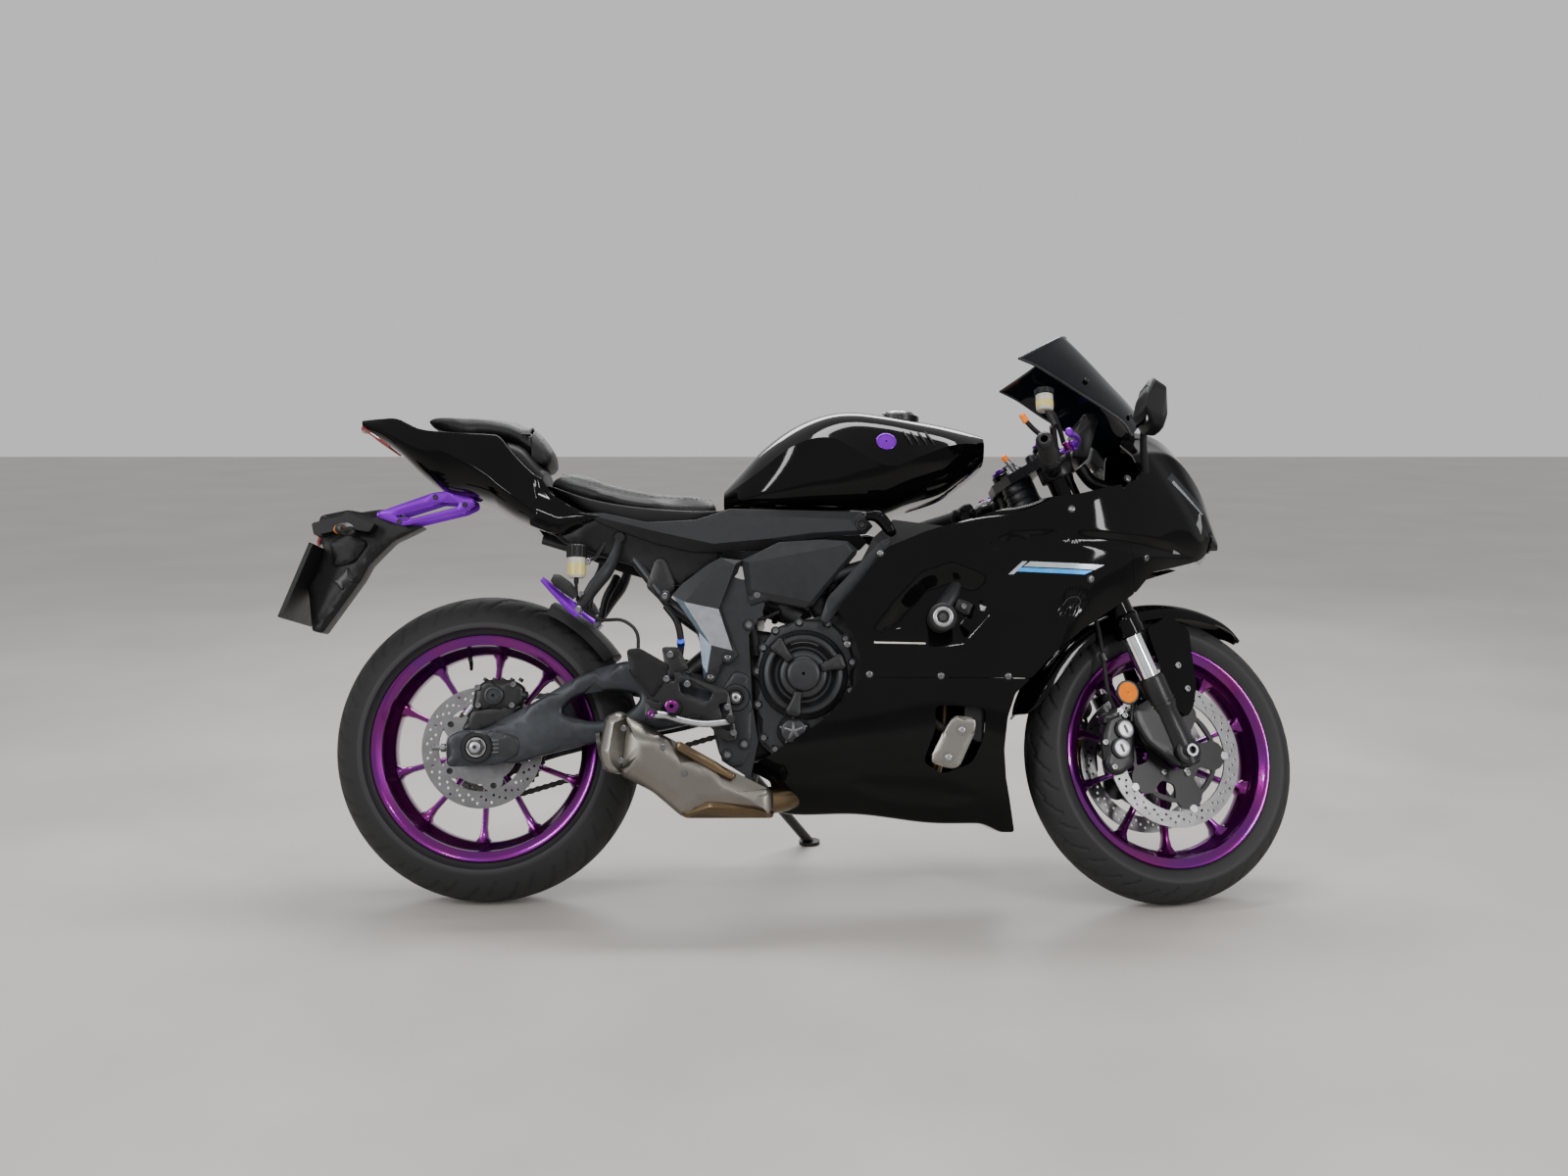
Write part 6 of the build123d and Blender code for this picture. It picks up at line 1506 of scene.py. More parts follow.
sets.add(rod((500, 166, 395), (500, 188, 395), 9, 20), "metal_black")
sets.add(rod((512, 166, 345), (512, 188, 345), 9, 20), "metal_black")
sets.mirrored().done("rear_sets", "root", "frame_grey", ["footrests"], crease=34)

pedals = Piece()
pedals.add(tube([(512, -206, 369), (486, -208, 364), (452, -211, 362), (414, -213, 368), (380, -213, 378),
                 (352, -213, 380)], [7, 8, 8, 7.5, 8.5, 11], 16, flat=0.7), "alloy")
pedals.add(rod((508, -198, 370), (508, -228, 370), 8.5, 20, round_off=2), "rubber")
pedals.add(disc([(0, 4), (0, 13), (6, 13), (7, 11), (7, 4)], 28, (352, -214, 380), (0, -1, 0)), "metal_black")
pedals.add(bolt((352, -220, 380), (0, -1, 0), 8, 4), "candy")
pedals.add(rod((352, -192, 380), (352, -214, 380), 10, 24), "metal_black")
pedals.add(tube([(505, 206, 372), (540, 208, 362), (580, 211, 354), (604, 212, 352), (625, 213, 356)],
                [11, 8, 7.5, 7.5, 7.5], 16, flat=0.7), "alloy")
for side in (-1, 1):
    pedals.add(rod((505, side * 193, 372), (505, side * 212, 372), 10, 24, round_off=2), "metal_black")
    pedals.add(bolt((505, side * 212, 372), (0, side, 0), 6, 3), "steel")
pedals.add(rod((622, 204, 356), (622, 234, 356), 8.5, 20, round_off=2), "rubber")
pedals.add(tube([(512, 200, 376), (534, 188, 396), (566, 160, 424)], 4, 12), "steel")
pedals.done("foot_lever_arms", "root", "bright_metal", ["foot_levers"], crease=36)

# rear caliper
rear_brake = Piece()
rear_brake.add(panel(rounded([(-20, 398), (-14, 436), (8, 452), (62, 452), (85, 438), (84, 404), (62, 390), (0, 389)],
                             9, 3), -72, -112, 8, 9, both=True), "metal_black")
rear_brake.add(disc([(0, 3), (0, 21), (8, 20), (10, 17), (10, 13), (8, 12), (8, 3)], 36, (24, -110, 420), (0, -1, 0)),
               "cover_black")
rear_brake.add(rod((56, -100, 424), (92, -104, 420), 9, 20, round_off=2), "metal_black")
rear_brake.add(rod((-20, -100, 400), (-34, -102, 380), 7, 16), "alloy")
rear_brake.add(bolts([(64, -112, 442), (62, -112, 400), (-8, -112, 436), (-6, -112, 400)], -1, 6.5, 4.5), "steel")
rear_brake.add(panel(rounded([(-20, 390), (-40, 350), (-10, 340), (60, 362), (84, 400), (60, 402), (10, 394)], 8, 3),
                     -98, -110, 4, 9), "metal_black")
for x in (0, 18, 36, 54, 72):
    rear_brake.add(rod((x, -80, 450), (x + 4, -80, 456), 5, 12), "metal_black")
rear_brake.done("rear_caliper_body", "root", "frame_grey", ["rear_caliper"], crease=36)

# drive chain, link by link
PITCH, SPROCKET_Y = 15.875, 108.0
REAR_PITCH_R = PITCH / (2 * math.sin(math.pi / 42))
FRONT_PITCH_R = PITCH / (2 * math.sin(math.pi / 16))
front_middle, rear_middle = Vector((600, 425)), Vector((0, REAR_R))
gap = front_middle - rear_middle
lean = math.atan2(gap.y, gap.x)
open_angle = math.acos((REAR_PITCH_R - FRONT_PITCH_R) / gap.length)
route = []
for k in range(61):
    a = lean + open_angle + (2 * math.pi - 2 * open_angle) * k / 60
    route.append(rear_middle + Vector((math.cos(a), math.sin(a))) * REAR_PITCH_R)
for k in range(31):
    a = lean - open_angle + 2 * open_angle * k / 30
    route.append(front_middle + Vector((math.cos(a), math.sin(a))) * FRONT_PITCH_R)
route.append(route[0])
lengths = [0.0]
for a, b in zip(route, route[1:]):
    lengths.append(lengths[-1] + (b - a).length)
links = round(lengths[-1] / PITCH / 2) * 2


def chain_spot(distance):
    """Point on the chain's route."""
    distance %= lengths[-1]
    k = max(i for i, reach in enumerate(lengths) if reach <= distance)
    k = min(k, len(route) - 2)
    return route[k].lerp(route[k + 1], (distance - lengths[k]) / (lengths[k + 1] - lengths[k]))


chain = Piece()
pins = [chain_spot(lengths[-1] * k / links) for k in range(links)]
for k in range(links):
    a, b = pins[k], pins[(k + 1) % links]
    run = (b - a).normalized()
    turn = Vector((-run.y, run.x))
    outline = []
    for centre, start in ((a, 90), (b, -90)):
        for step in range(5):
            angle = math.radians(start + 45 * step)
            outline.append(tuple(centre + run * 6.4 * math.cos(angle) + turn * 6.4 * math.sin(angle)))
    waist = [tuple((a + b) / 2 - turn * 4.6), tuple((a + b) / 2 + turn * 4.6)]
    outline = outline[:5] + [waist[0]] + outline[5:] + [waist[1]]
    out = 7.2 if k % 2 else 5.2
    for side in (-1, 1):
        chain.add(slab(outline, SPROCKET_Y + side * out - 0.9, SPROCKET_Y + side * out + 0.9), "dark_steel")
    chain.add(rod((a.x, SPROCKET_Y - 7.4, a.y), (a.x, SPROCKET_Y + 7.4, a.y), 4.6, 8), "dark_steel")
chain.done("chain_links", "root", "black_metal", ["drive_chain"], crease=30, weld=False)

# --- fittings on the bodywork ---------------------------------------------------------------
trim = Piece()
for side in (-1, 1):
    for x, z in ((779, 461), (919, 458), (1052, 458), (735, 520), (1218, 652), (1180, 790), (1338, 700), (1300, 858),
                 (800, 700)):
        point, normal = skin_point(HULL_TREE, x, z, side, -0.6)
        trim.add(disc([(0, 2), (0, 8.5), (1.6, 8), (1.6, 2)], 20, point, normal), "metal_black")
        trim.add(bolt(point + normal * 1.4, normal, 6, 2.6), "steel")
    for corners, material in (([(1066, 664), (1204, 660), (1222, 668), (1078, 672)], "stripe_blue"),
                              ([(1082, 674), (1226, 670), (1246, 680), (1096, 684)], "stripe_silver"),
                              ([(1052, 658), (1062, 658), (1090, 684), (1080, 684)], "stripe_silver")):
        trim.add(strip(HULL_TREE, corners, side), material)
    # painted highlight: a pale tube along the lower lip of the recess stands in for the light caught by that edge
    lip = [skin_point(HULL_TREE, 788 + (889 - 788) * k / 8, 523 - 2 * k / 8, side, 1.2)[0] for k in range(9)]
    trim.add(tube(lip, 1.7, 8, 2), "edge_white")
    lamp_edge = [skin_point(HULL_TREE, x, z, side, 0.6)[0] for x, z in ((1160, 598), (1172, 612), (1190, 616),
                                                                        (1198, 606), (1186, 594))]
    trim.add(tube(lamp_edge, 1.6, 8, 3), "screen_edge")
trim.done("fairing_trim", "root", "gloss_black", crease=36, weld=False)

bobbins = Piece()
bobbins.add(lathe([(206, 8), (206, 24), (212, 27), (226, 26), (260, 28), (267, 27), (270, 24), (270, 19.5), (266, 19),
                   (266, 8)], 48, (918, 0, 569), (0, 1, 0)), "rubber")
bobbins.add(lathe([(264, 12.5), (264, 19.5), (270.5, 19.5), (271.5, 18), (271.5, 14), (270.5, 12.5)], 48,
                  (918, 0, 569), (0, 1, 0)), "alloy")
bobbins.add(rod((918, 255, 569), (918, 266, 569), 9, 6, round_off=1), "dark_steel")
bobbins.add(tube([(918, 208, 569), (926, 210, 596), (940, 204, 618), (950, 190, 640)], [22, 18, 16, 15], 20,
                 flat=0.8), "cover_grey")
bobbins.add(panel(rounded([(944, 590), (952, 612), (984, 600), (974, 576)], 5, 3), 198, 212, 3, 8), "metal_black")
bobbins.add(bolt((964, 212, 595), (0, 1, 0), 6, 4), "steel")
bobbins.mirrored().done("crash_bobbin_pucks", "root", "matte_black", ["crash_bobbins"], crease=36)

guard_cap = Piece()
CAP = rounded([(946, 382), (991, 377), (993, 357), (957, 279), (940, 276), (903, 288), (901, 298), (931, 360)], 12, 4)
guard_cap.add(panel(CAP, -166, -176.5, 5, 7), "muffler_cap")
for x, z in ((963, 353), (936, 299)):
    guard_cap.add(disc([(0, 3), (0, 12), (1.4, 11), (1.4, 8), (0.4, 7.5), (0.4, 3)], 28, (x, -176, z), (0, -1, 0)),
                  "muffler_cap")
    guard_cap.add(bolt((x, -176, z), (0, -1, 0), 6.5, 3.2), "alloy")
guard_cap.add(tube([(905, -150, 372), (920, -156, 360), (940, -158, 352)], 9, 14), "rubber")
guard_cap.add(tube([(880, -140, 386), (900, -148, 376), (914, -152, 366)], 6, 12), "steel")
guard_cap.done("side_cap_plate", "root", "bright_metal", ["side_cap"], crease=36)

badge = Piece()
for side in (-1, 1):
    point, normal = skin_point(TANK_TREE, 817, 938, side, -1.5)
    badge.add(disc([(0, 2), (0, 20), (2.6, 20.5), (3.6, 19), (3.6, 16.5), (2.6, 16), (2.9, 2)], 48, point, normal),
              "violet")
    for k in range(4):
        x = 852 + k * 15
        ends = [skin_point(TANK_TREE, x + dx, z, side, lift)[0] for dx, z, lift in ((0, 962, 0.3), (6, 950, 1.5),
                                                                                    (13, 938, 1.5), (18, 928, 0.3))]
        badge.add(tube(ends, [1.2, 2.6, 2.6, 1.2], 10, 4), "plastic_black")
badge.done("tank_badge_blank", "root", "anodised_violet", crease=36, weld=False)

frame_trim = Piece()
frame_trim.add(panel(rounded([(803, 729), (822, 735), (815, 698), (694, 562), (682, 568), (697, 615)], 4, 3), 172,
                     184, 3, 9), "cover_grey")
frame_trim.add(tube([(774, 166, 781), (800, 168, 778), (822, 168, 752), (830, 166, 742)], [9, 15, 13, 8], 18,
                    flat=0.7), "paint_black")
frame_trim.mirrored().done("intake_trim", "root", "gloss_black", crease=30)


# --- seats ----------------------------------------------------------------------------------
RIDER = [
    (116, [(0, 840), (60, 841), (74, 856), (66, 874), (44, 882), (0, 886)]),
    (150, [(0, 827), (84, 828), (100, 846), (90, 872), (56, 888), (0, 893)]),
    (190, [(0, 812), (100, 813), (117, 830), (106, 858), (66, 877), (0, 880)]),
    (240, [(0, 800), (108, 802), (125, 816), (114, 842), (72, 860), (0, 862)]),
    (300, [(0, 791), (110, 793), (126, 806), (114, 830), (70, 846), (0, 847)]),
    (360, [(0, 788), (106, 790), (120, 802), (107, 825), (64, 838), (0, 840)]),
    (420, [(0, 789), (88, 791), (100, 803), (88, 826), (52, 837), (0, 840)]),
    (462, [(0, 793), (68, 795), (76, 806), (66, 826), (38, 835), (0, 838)]),
    (476, [(0, 798), (54, 799), (60, 808), (52, 824), (30, 831), (0, 834)]),
]
PILLION = [
    (-162, [(0, 1001), (24, 1001), (30, 1003), (24, 1006), (0, 1007)]),
    (-120, [(0, 986), (50, 985), (58, 993), (48, 1004), (0, 1009)]),
    (-60, [(0, 961), (72, 960), (82, 976), (68, 998), (0, 1008)]),
    (0, [(0, 955), (78, 953), (90, 970), (74, 994), (0, 1006)]),
    (44, [(0, 946), (80, 944), (92, 961), (74, 984), (0, 1000)]),
    (76, [(0, 930), (76, 928), (88, 944), (72, 964), (0, 978)]),
    (97, [(0, 918), (68, 917), (78, 928), (66, 942), (0, 952)]),
]


LEATHER_CLOTH = {"use_pressure": True, "uniform_pressure_force": 4.0, "quality": 5, "mass": 0.3,
                 "tension_stiffness": 15, "compression_stiffness": 15, "bending_stiffness": 0.5}
SEAM_DEPTH, SEAM_WIDTH = 2.2, 5.5


def stuffed(shape, name, swell, voxel, frames=20):
    """Pad remeshed evenly, blown up as cloth against a capped movement, and handed back as a smooth mesh."""
    verts, faces = shape
    pad = shape_object(([Vector(v) * MM for v in verts], faces))
    pad.name = name
    mesh_in = pad.data
    grain = pad.modifiers.new("grain", "REMESH")
    grain.mode, grain.voxel_size, grain.use_smooth_shade = "VOXEL", voxel * MM, True
    graph = bpy.context.evaluated_depsgraph_get()
    even = bpy.data.meshes.new_from_object(pad.evaluated_get(graph))
    pad.modifiers.clear()
    pad.data = even
    bpy.data.meshes.remove(mesh_in)
    start = [v.co.copy() for v in even.vertices]
    cloth = pad.modifiers.new("cloth", "CLOTH")
    cloth.settings.effector_weights.gravity = 0.0
    for key, value in LEATHER_CLOTH.items():
        setattr(cloth.settings, key, value)
    cloth.point_cache.frame_start, cloth.point_cache.frame_end = 1, frames
    scene = bpy.context.scene
    for frame_number in range(1, frames + 1):
        scene.frame_set(frame_number)
    blown = bpy.data.meshes.new_from_object(pad.evaluated_get(bpy.context.evaluated_depsgraph_get()))
    pad.modifiers.clear()
    for vertex, moved_to, rest in zip(even.vertices, blown.vertices, start):
        shift = moved_to.co - rest
        if shift.length > swell * MM:
            shift *= swell * MM / shift.length
        vertex.co = rest + shift
    bpy.data.meshes.remove(blown)
    scene.frame_set(1)
    calm = pad.modifiers.new("calm", "SMOOTH")
    calm.factor, calm.iterations = 0.5, 14
    smooth = bpy.data.meshes.new_from_object(pad.evaluated_get(bpy.context.evaluated_depsgraph_get()))
    pad.modifiers.clear()
    pad.data = smooth
    bpy.data.meshes.remove(even)
    return pad


def upholster(pad, name, node, seams):
    """Presses the seams in and lays stitches along the seams."""
    mesh = pad.data
    for vertex in mesh.vertices:
        p = vertex.co / MM
        for seam in seams:
            near = min((Vector((p.x, abs(p.y), p.z)) - q).length for q in seam)
            p -= Vector((0, math.copysign(0.5, p.y),
                         1)).normalized() * SEAM_DEPTH * math.exp(-((near / SEAM_WIDTH) ** 2))
        vertex.co = p * MM
    mesh.transform(BIKE @ Matrix.Scale(1 / MM, 4))
    mesh.materials.append(MATERIALS["leather"])
    for face in mesh.polygons:
        face.use_smooth = True
    pad.name = name
    finer = pad.modifiers.new("finer", "SUBSURF")
    finer.levels = finer.render_levels = 1
    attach(pad, "root")
    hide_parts(node)
    thread = Piece()
    for seam in seams:
        for side in (-1, 1):
            for k in range(0, len(seam) - 1, 2):
                a, b = seam[k], seam[k + 1]
                lift = Vector((0, 0, 0.6))
                thread.add(tube([Vector((a.x, side * a.y, a.z)) + lift, Vector((b.x, side * b.y, b.z)) + lift], 0.6,
                                6, 1, smooth=False), "thread")
    thread.done(name + "_stitches", "root", "seat_cover", weld=False)


def seam_line(sections, column, share=0.0, lift=0.0):
    """Line along a pad through one corner of its half outlines."""
    line = []
    for x, half in sections:
        y, z = half[column]
        y2, z2 = half[column + 1]
        line.append(Vector((x, y + (y2 - y) * share, z + (z2 - z) * share + lift)))
    return smooth_path(line, 9)


rider = stuffed(mirrored_loft(drawn_in([(x + (6 if x < 200 else -5 if x > 400 else 0), half) for x, half in RIDER],
                                       4.0), 30, 4), "rider", 9.0, 6.0)
upholster(rider, "rider_seat_pad", "rider_seat", [seam_line(RIDER[1:-1], 3, 0.55, -2)])
pillion = stuffed(mirrored_loft(drawn_in([(x + (4 if x < -100 else -4 if x > 60 else 0), half) for x,
                                          half in PILLION], 2.5), 26, 4), "pillion", 6.0, 5.0)
upholster(pillion, "pillion_seat_pad", "pillion_seat", [seam_line(PILLION[1:-1], 2, 0.6, -1)])


def around(tree, centre, reach, degrees, lift):
    """Points where rays that come in towards a pad's middle from the side and above first meet it."""
    line = []
    for angle in degrees:
        out = Vector((0.12, math.sin(math.radians(angle)), math.cos(math.radians(angle)))).normalized()
        hit = tree.ray_cast(centre + out * reach, -out)[0]
        line.append((hit or centre + out * 60) + out * lift)
    return line


base = [(-60, [(0, 930), (78, 930), (84, 946), (76, 958), (0, 958)]), (0, [(0, 916), (88, 916), (96, 934), (86, 956),
                                                                           (0, 956)]),
        (60, [(0, 890), (92, 890), (99, 912), (84, 944), (0, 950)]), (90, [(0, 868), (88, 868), (98, 888), (80, 914),
                                                                           (0, 920)]),
        (112, [(0, 850), (80, 850), (92, 864), (76, 888), (0, 896)])]
Piece().add(mirrored_loft(base, 30, 4), "plastic_black").done("pillion_base", "root", "matte_black", crease=46)

nose = [(84, [(0, 904), (62, 904), (74, 916), (72, 952), (58, 976), (0, 985)]),
        (100, [(0, 898), (60, 898), (72, 910), (70, 938), (54, 962), (0, 970)]),
        (114, [(0, 899), (56, 899), (67, 908), (65, 926), (50, 946), (0, 952)]),
        (123, [(0, 908), (46, 908), (56, 914), (54, 924), (42, 934), (0, 938)])]
Piece().add(mirrored_loft(nose, 12, 5), "leather").done("pillion_nose", "root", "seat_cover", crease=46)

pillion_tree = bvhtree.BVHTree.FromPolygons([BIKE.inverted() @ v.co for v in pillion.data.vertices],
                                            [tuple(f.vertices) for f in pillion.data.polygons])
strap = Piece()
rows = []
for p in around(pillion_tree, Vector((58, 0, 955)), 140, range(-84, 85, 6), 0.8):
    out = Vector((0.12, p.y / 60, 1)).normalized()
    rows.append([p + Vector((dx, 0, 0)) + out * h for dx, h in ((-15, -3), (-14, 1.6), (0, 2.4), (14, 1.6), (15, -3))])
strap.add(([q for row in rows for q in row], grid_faces(len(rows), 5, False, True)), "leather")
strap.done("pillion_strap", "root", "seat_cover", crease=50)

# x, half width, low and high edge of the seat's wrapped base
WRAP = [(118, 82, 852, 858), (140, 98, 838, 850), (170, 112, 822, 838), (213, 121, 794, 824), (278, 124, 771, 811),
        (348, 121, 760, 804), (400, 112, 763, 802), (439, 97, 770, 803), (470, 74, 779, 807), (486, 50, 788, 812)]
wrap = [(x, [(0, low + 3), (w - 18, low), (w - 9, low + 3), (w - 1, high - 5), (w - 2, high), (0, high)]) for x, w,
        low, high in WRAP]
Piece().add(mirrored_loft(wrap, 44, 5), "leather").done("seat_wrap", "root", "seat_cover", crease=46)

# --- tail parts, which close the space below the seat ----------------------------------------
wings = Piece()
WING = rounded([(92, 874), (112, 864), (140, 827), (168, 810), (206, 790), (238, 785), (206, 770), (157, 746),
                (128, 752), (92, 766)], 3, 2)


def wing_ridge(x, z):
    """Raised crease along the wing."""
    return 7 * math.exp(-((line_distance(x, z, [(92, 800), (150, 776), (238, 786)]) / 20) ** 2))


wings.add(panel(WING, 106, 128, 5, 8, ridge=wing_ridge), "paint_black")
LOWER = rounded([(126, 752), (157, 748), (206, 772), (238, 784), (296, 768), (356, 757), (452, 732), (500, 728),
                 (470, 690), (440, 668), (404, 644), (352, 648), (300, 686), (262, 696), (227, 708), (190, 724),
                 (141, 747)], 5, 2)


def lower_ridge(x, z):
    """Face that falls inwards below its upper edge."""
    return -9 * smooth_step(0, 60, -line_distance(x, z, [(206, 775), (238, 784), (296, 768), (356, 757), (452, 732)]))


wings.add(panel(LOWER, 106, 126, 5, 10, ridge=lower_ridge), "plastic_black")
wings.mirrored()
wings.add(tube([(110, 0, 776), (200, 0, 760), (330, 0, 752), (420, 0, 760)], [50, 62, 66, 60], 24, flat=0.32),
          "plastic_black")
wings.done("under_seat_panels", "root", "gloss_black", crease=32)

bracket = Piece()
TRUSS = rounded([(-128, 848), (-96, 852), (-40, 836), (-38, 820), (-62, 808), (-188, 777), (-246, 797), (-244, 806)],
                6, 3)
WINDOW = rounded([(-206, 797), (-112, 828), (-72, 826), (-76, 818), (-168, 794)], 5, 3)
for low, high in ((23.5, 29.5), (-29.5, -23.5)):
    bracket.add(panel(TRUSS, low, high, 2.2, 9, [WINDOW], both=True), "violet")
for x, z in ((-60, 822), (-122, 838), (-196, 786)):
    bracket.add(rod((x, -24, z), (x, 24, z), 6, 16), "violet")
    for side in (-1, 1):
        bracket.add(bolt((x, side * 29.5, z), (0, side, 0), 5.5, 3), "metal_black")
bracket.done("tail_bracket_truss", "root", "anodised_violet", ["plate_bracket"], crease=36)

tidy = Piece()
HOLDER = rounded([(-371, 776), (-362, 800), (-306, 812), (-240, 800), (-190, 782), (-146, 778), (-172, 764),
                  (-209, 746), (-242, 712), (-258, 695), (-273, 665), (-351, 552), (-373, 556), (-385, 650),
                  (-356, 730)], 5, 2)


def holder_ridge(x, z):
    """Raised rib along the plate holder."""
    return 5 * math.exp(-((line_distance(x, z, [(-360, 790), (-300, 770), (-240, 740), (-300, 650),
                                                (-360, 560)]) / 9) ** 2))


tidy.add(panel(HOLDER, 0, 24, 4, 9, ridge=holder_ridge), "plastic_black")
tidy.add(slab(rounded([(-372, 778), (-300, 796), (-240, 778), (-252, 760), (-300, 768), (-366, 752)], 5, 2), 24, 58),
         "plastic_black")
tidy.add(panel(rounded([(-340, 740), (-300, 768), (-262, 740), (-290, 700), (-330, 690)], 8, 3), 20, 34, 4, 9),
         "plastic_black")
tidy.add(panel(rounded([(-312, 640), (-286, 660), (-302, 690), (-330, 660)], 4, 3), 20, 31, 3, 8), "metal_black")
tidy.mirrored()
tidy.add(tube([(-300, 0, 801), (-230, 0, 806), (-180, 0, 790)], [9, 14, 8], 16, flat=0.6), "plastic_black")
for side in (-1, 1):
    tidy.add(tube([(-290, side * 24, 762), (-287, side * 70, 760), (-285, side * 96, 757)], [8, 7, 8], 14), "rubber")
    pod = [(0, 4), (0, 9), (8, 14), (26, 17), (38, 15), (46, 8), (47, 3)]
    tidy.add(moved(disc(pod, 28, (0, 0, 0), (0, 1, 0)), Matrix.Translation((-285, side * 94, 756)) @
                   Matrix.Diagonal((1.2, side, 0.8, 1))), "metal_black")
    tidy.add(moved(disc([(10, 3), (14, 12), (30, 13), (38, 8), (39, 3)], 24, (0, 0, 0), (0, 1, 0)),
                   Matrix.Translation((-291, side * 94, 756)) @ Matrix.Diagonal((1.25, side, 0.85, 1))), "lens_amber")
tidy.done("plate_holder_shell", "root", "matte_black", ["plate_holder"], crease=28)

plate = Piece()
top, foot, back = Vector((-357, 730)), Vector((-416, 577)), Vector((-0.933, 0.359))
down = (foot - top).normalized()


def plate_slab(start, end, depth, low, high, material):
    """Adds a bar of the plate, between two distances down it."""
    corners = [top + down * start, top + down * end, top + down * end + back * depth, top + down * start + back * depth]
    plate.add(slab([tuple(p) for p in corners], low, high), material)


reach = (foot - top).length
plate_slab(0, reach, -4, -105, 105, "plastic_black")
plate_slab(3, reach - 3, 1.2, -101, 101, "plate_white")
for low, high in ((-105, -101), (101, 105)):
    plate_slab(0, reach, 5, low, high, "plastic_black")
for start, end in ((0, 4), (reach - 4, reach)):
    plate_slab(start, end, 5, -105, 105, "plastic_black")
for y in (-60, 60):
    plate.add(bolt((top.x + down.x * 30 - 1, y, top.y + down.y * 30), (back.x, 0, back.y), 5, 3), "steel")
plate.add(disc([(0, 3), (0, 20), (5, 19), (8, 15), (8, 3)], 32, (-362, 0, 752), (-0.9, 0, 0.3)), "lens_red")
plate.done("plate_tray", "root", "plate_white", ["number_plate"], crease=36)

pegs = Piece()
for side in (-1, 1):
    pegs.add(tube([(275, side * 120, 740), (270, side * 132, 713), (262, side * 144, 687), (250, side * 152, 664),
                   (230, side * 158, 638), (211, side * 162, 607), (196, side * 165, 586)],
                  [10, 11, 13, 15, 15, 12, 8], 16, flat=0.6), "cover_grey")
    pegs.add(rod((275, side * 112, 741), (275, side * 130, 741), 13, 24, round_off=3), "plastic_black")
    pegs.add(tube([(244, side * 132, 690), (238, side * 122, 672), (222, side * 118, 640), (212, side * 118, 590)],
                  [9, 9, 8, 7], 12), "plastic_black")
    pegs.add(tube([(203, side * 174, 580), (184, side * 178, 596), (160, side * 184, 618), (140, side * 190, 638),
                   (129, side * 194, 648)], [13, 13.5, 10, 8, 6], 16, flat=0.55), "violet")
    pegs.add(tube([(196, side * 186, 612), (180, side * 190, 630), (160, side * 196, 645), (150, side * 198, 650)],
                  [8, 15, 14, 8], 16, flat=0.55), "rubber")
    pegs.add(rod((200, side * 156, 588), (200, side * 184, 588), 8, 20, round_off=2), "steel")
    pegs.add(bolt((206, side * 172, 622), (0, side, 0), 5, 3), "steel")
pegs.done("passenger_peg_arms", "root", "anodised_violet", ["passenger_footrests"], crease=36)

hugger = Piece()
rows = []
for k in range(13):
    angle = math.radians(36 + 30 * k / 12)
    out, half = Vector((math.cos(angle), 0, math.sin(angle))), 70 + 12 * math.sin(math.pi * k / 12)
    rows.append([REAR_AXLE + out * r + Vector((0, y, 0)) for r, y in ((300, -half - 3), (322, -half),
                                                                      (330, -half * 0.6), (333, 0), (330, half * 0.6),
                                                                      (322, half), (300, half + 3), (304, half),
                                                                      (326, 0), (304, -half))])
hugger.add(capped(rows), "plastic_black")
hugger.done("hugger_shell", "root", "matte_black", ["rear_hugger"], crease=40)

tank_rear = Piece()
tank_rear.add(disc([(655, 3), (655, 15), (659, 18), (694, 18.5), (696, 18.5), (696, 3)], 32, (192, -150, 0), (0, 0, 1)),
              "bottle")
tank_rear.add(lathe([(660, 18.2), (660, 18.9), (684, 19.1), (684, 18.4)], 32, (192, -150, 0), (0, 0, 1)),
              "bottle_fluid")
teeth = [(x * (1.04 if k % 2 else 0.98), y * (1.04 if k % 2 else 0.98)) for k,
         (x, y) in enumerate(circle(0, 0, 20, 40))]
lid = [[(192 + x * share, -150 + y * share, z) for x, y in teeth] for z, share in ((696, 1), (719, 1), (722, 0.85))]
tank_rear.add(capped(lid), "plastic_black")
tank_rear.add(rod((192, -150, 644), (192, -150, 656), 5, 16), "plastic_black")
tank_rear.add(tube([(210, -140, 690), (228, -126, 704), (244, -112, 736)], 6, 12, flat=0.6), "metal_black")
tank_rear.add(bolt((214, -152, 688), (0.2, -1, 0), 7, 4), "steel")
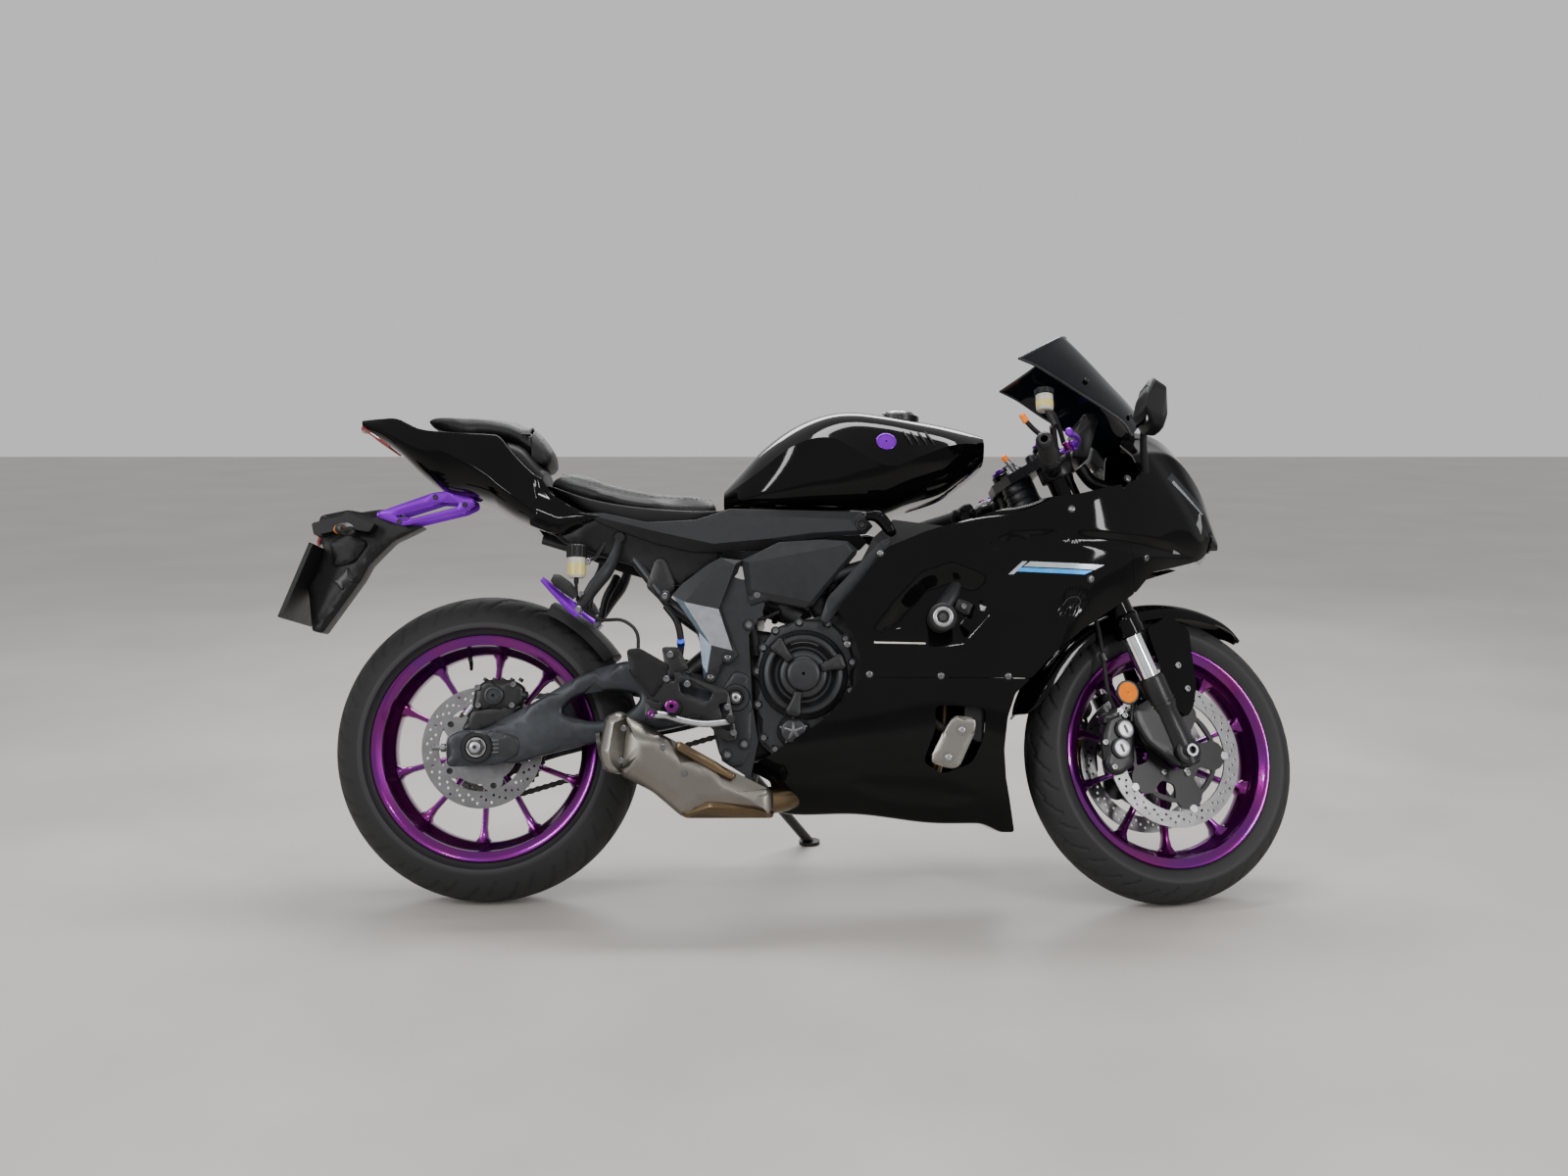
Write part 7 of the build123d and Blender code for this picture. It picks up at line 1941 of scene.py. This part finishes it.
tank_rear.done("rear_reservoir_cup", "root", "reservoir", ["rear_reservoir"], crease=36)

stay = Piece()
for side in (-1, 1):
    stay.add(disc([(-8, 3), (-8, 15), (8, 15), (12, 13), (12, 8), (9, 7), (9, 3)], 28, (446, side * 136, 560),
                  (0, side, 0)), "frame_grey")
    stay.add(bolt((446, side * 145, 560), (0, side, 0), 7, 5), "steel")
stay.add(tube([(140, -60, 800), (130, -78, 770), (150, -96, 742), (178, -120, 724)], 2.4, 8), "rubber")
stay.add(panel(rounded([(330, 640), (350, 700), (366, 700), (392, 640), (372, 600)], 8, 3), -118, -128, 3, 10),
         "metal_black")
stay.done("subframe_fittings", "root", "frame_grey", crease=36)

# --- radiator and lamps ---------------------------------------------------------------------
cooler = Piece()
low_end, high_end = Vector((1002, 334)), Vector((1012, 624))
for k in range(44):
    p = low_end.lerp(high_end, (k + 0.5) / 44)
    cooler.add(slab([(p.x - 4, p.y - 1.4), (p.x + 3.5, p.y - 1.4), (p.x + 3.5, p.y + 1.4), (p.x - 4, p.y + 1.4)],
                    -150, 150), "alloy_dark")
for y in (-156, 150):
    cooler.add(slab(rounded([(990, 330), (1008, 330), (1018, 630), (1000, 634)], 4, 2), y, y + 6), "metal_black")
for k in range(25):
    y = -144 + k * 12
    cooler.add(slab([(1005.5, 336), (1007, 336), (1016.5, 622), (1015, 622)], y, y + 1), "metal_black")
cooler.done("radiator_core", "root", "matte_black", crease=40)

lamps = Piece()
for side in (-1, 1):
    for low, high, material, lift in (((1404, 862), (1474, 800), "lens_clear", 0.6),
                                      ((1398, 874), (1478, 806), "screen_dark", 0.2)):
        a, b = Vector(low), Vector(high)
        normal = Vector((-(b - a).y, (b - a).x)).normalized()
        width = 4 if material == "lens_clear" else 10
        corners = [a - normal * width, b - normal * width * 0.4, b + normal * width * 0.4, a + normal * width]
        lamps.add(strip(HULL_TREE, [tuple(p) for p in corners], side, 3, 16, lift), material)
lamps.done("position_lamps", "root", "lamp_lens", crease=36, weld=False)

# --- overall bounds -------------------------------------------------------------------------
low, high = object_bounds()
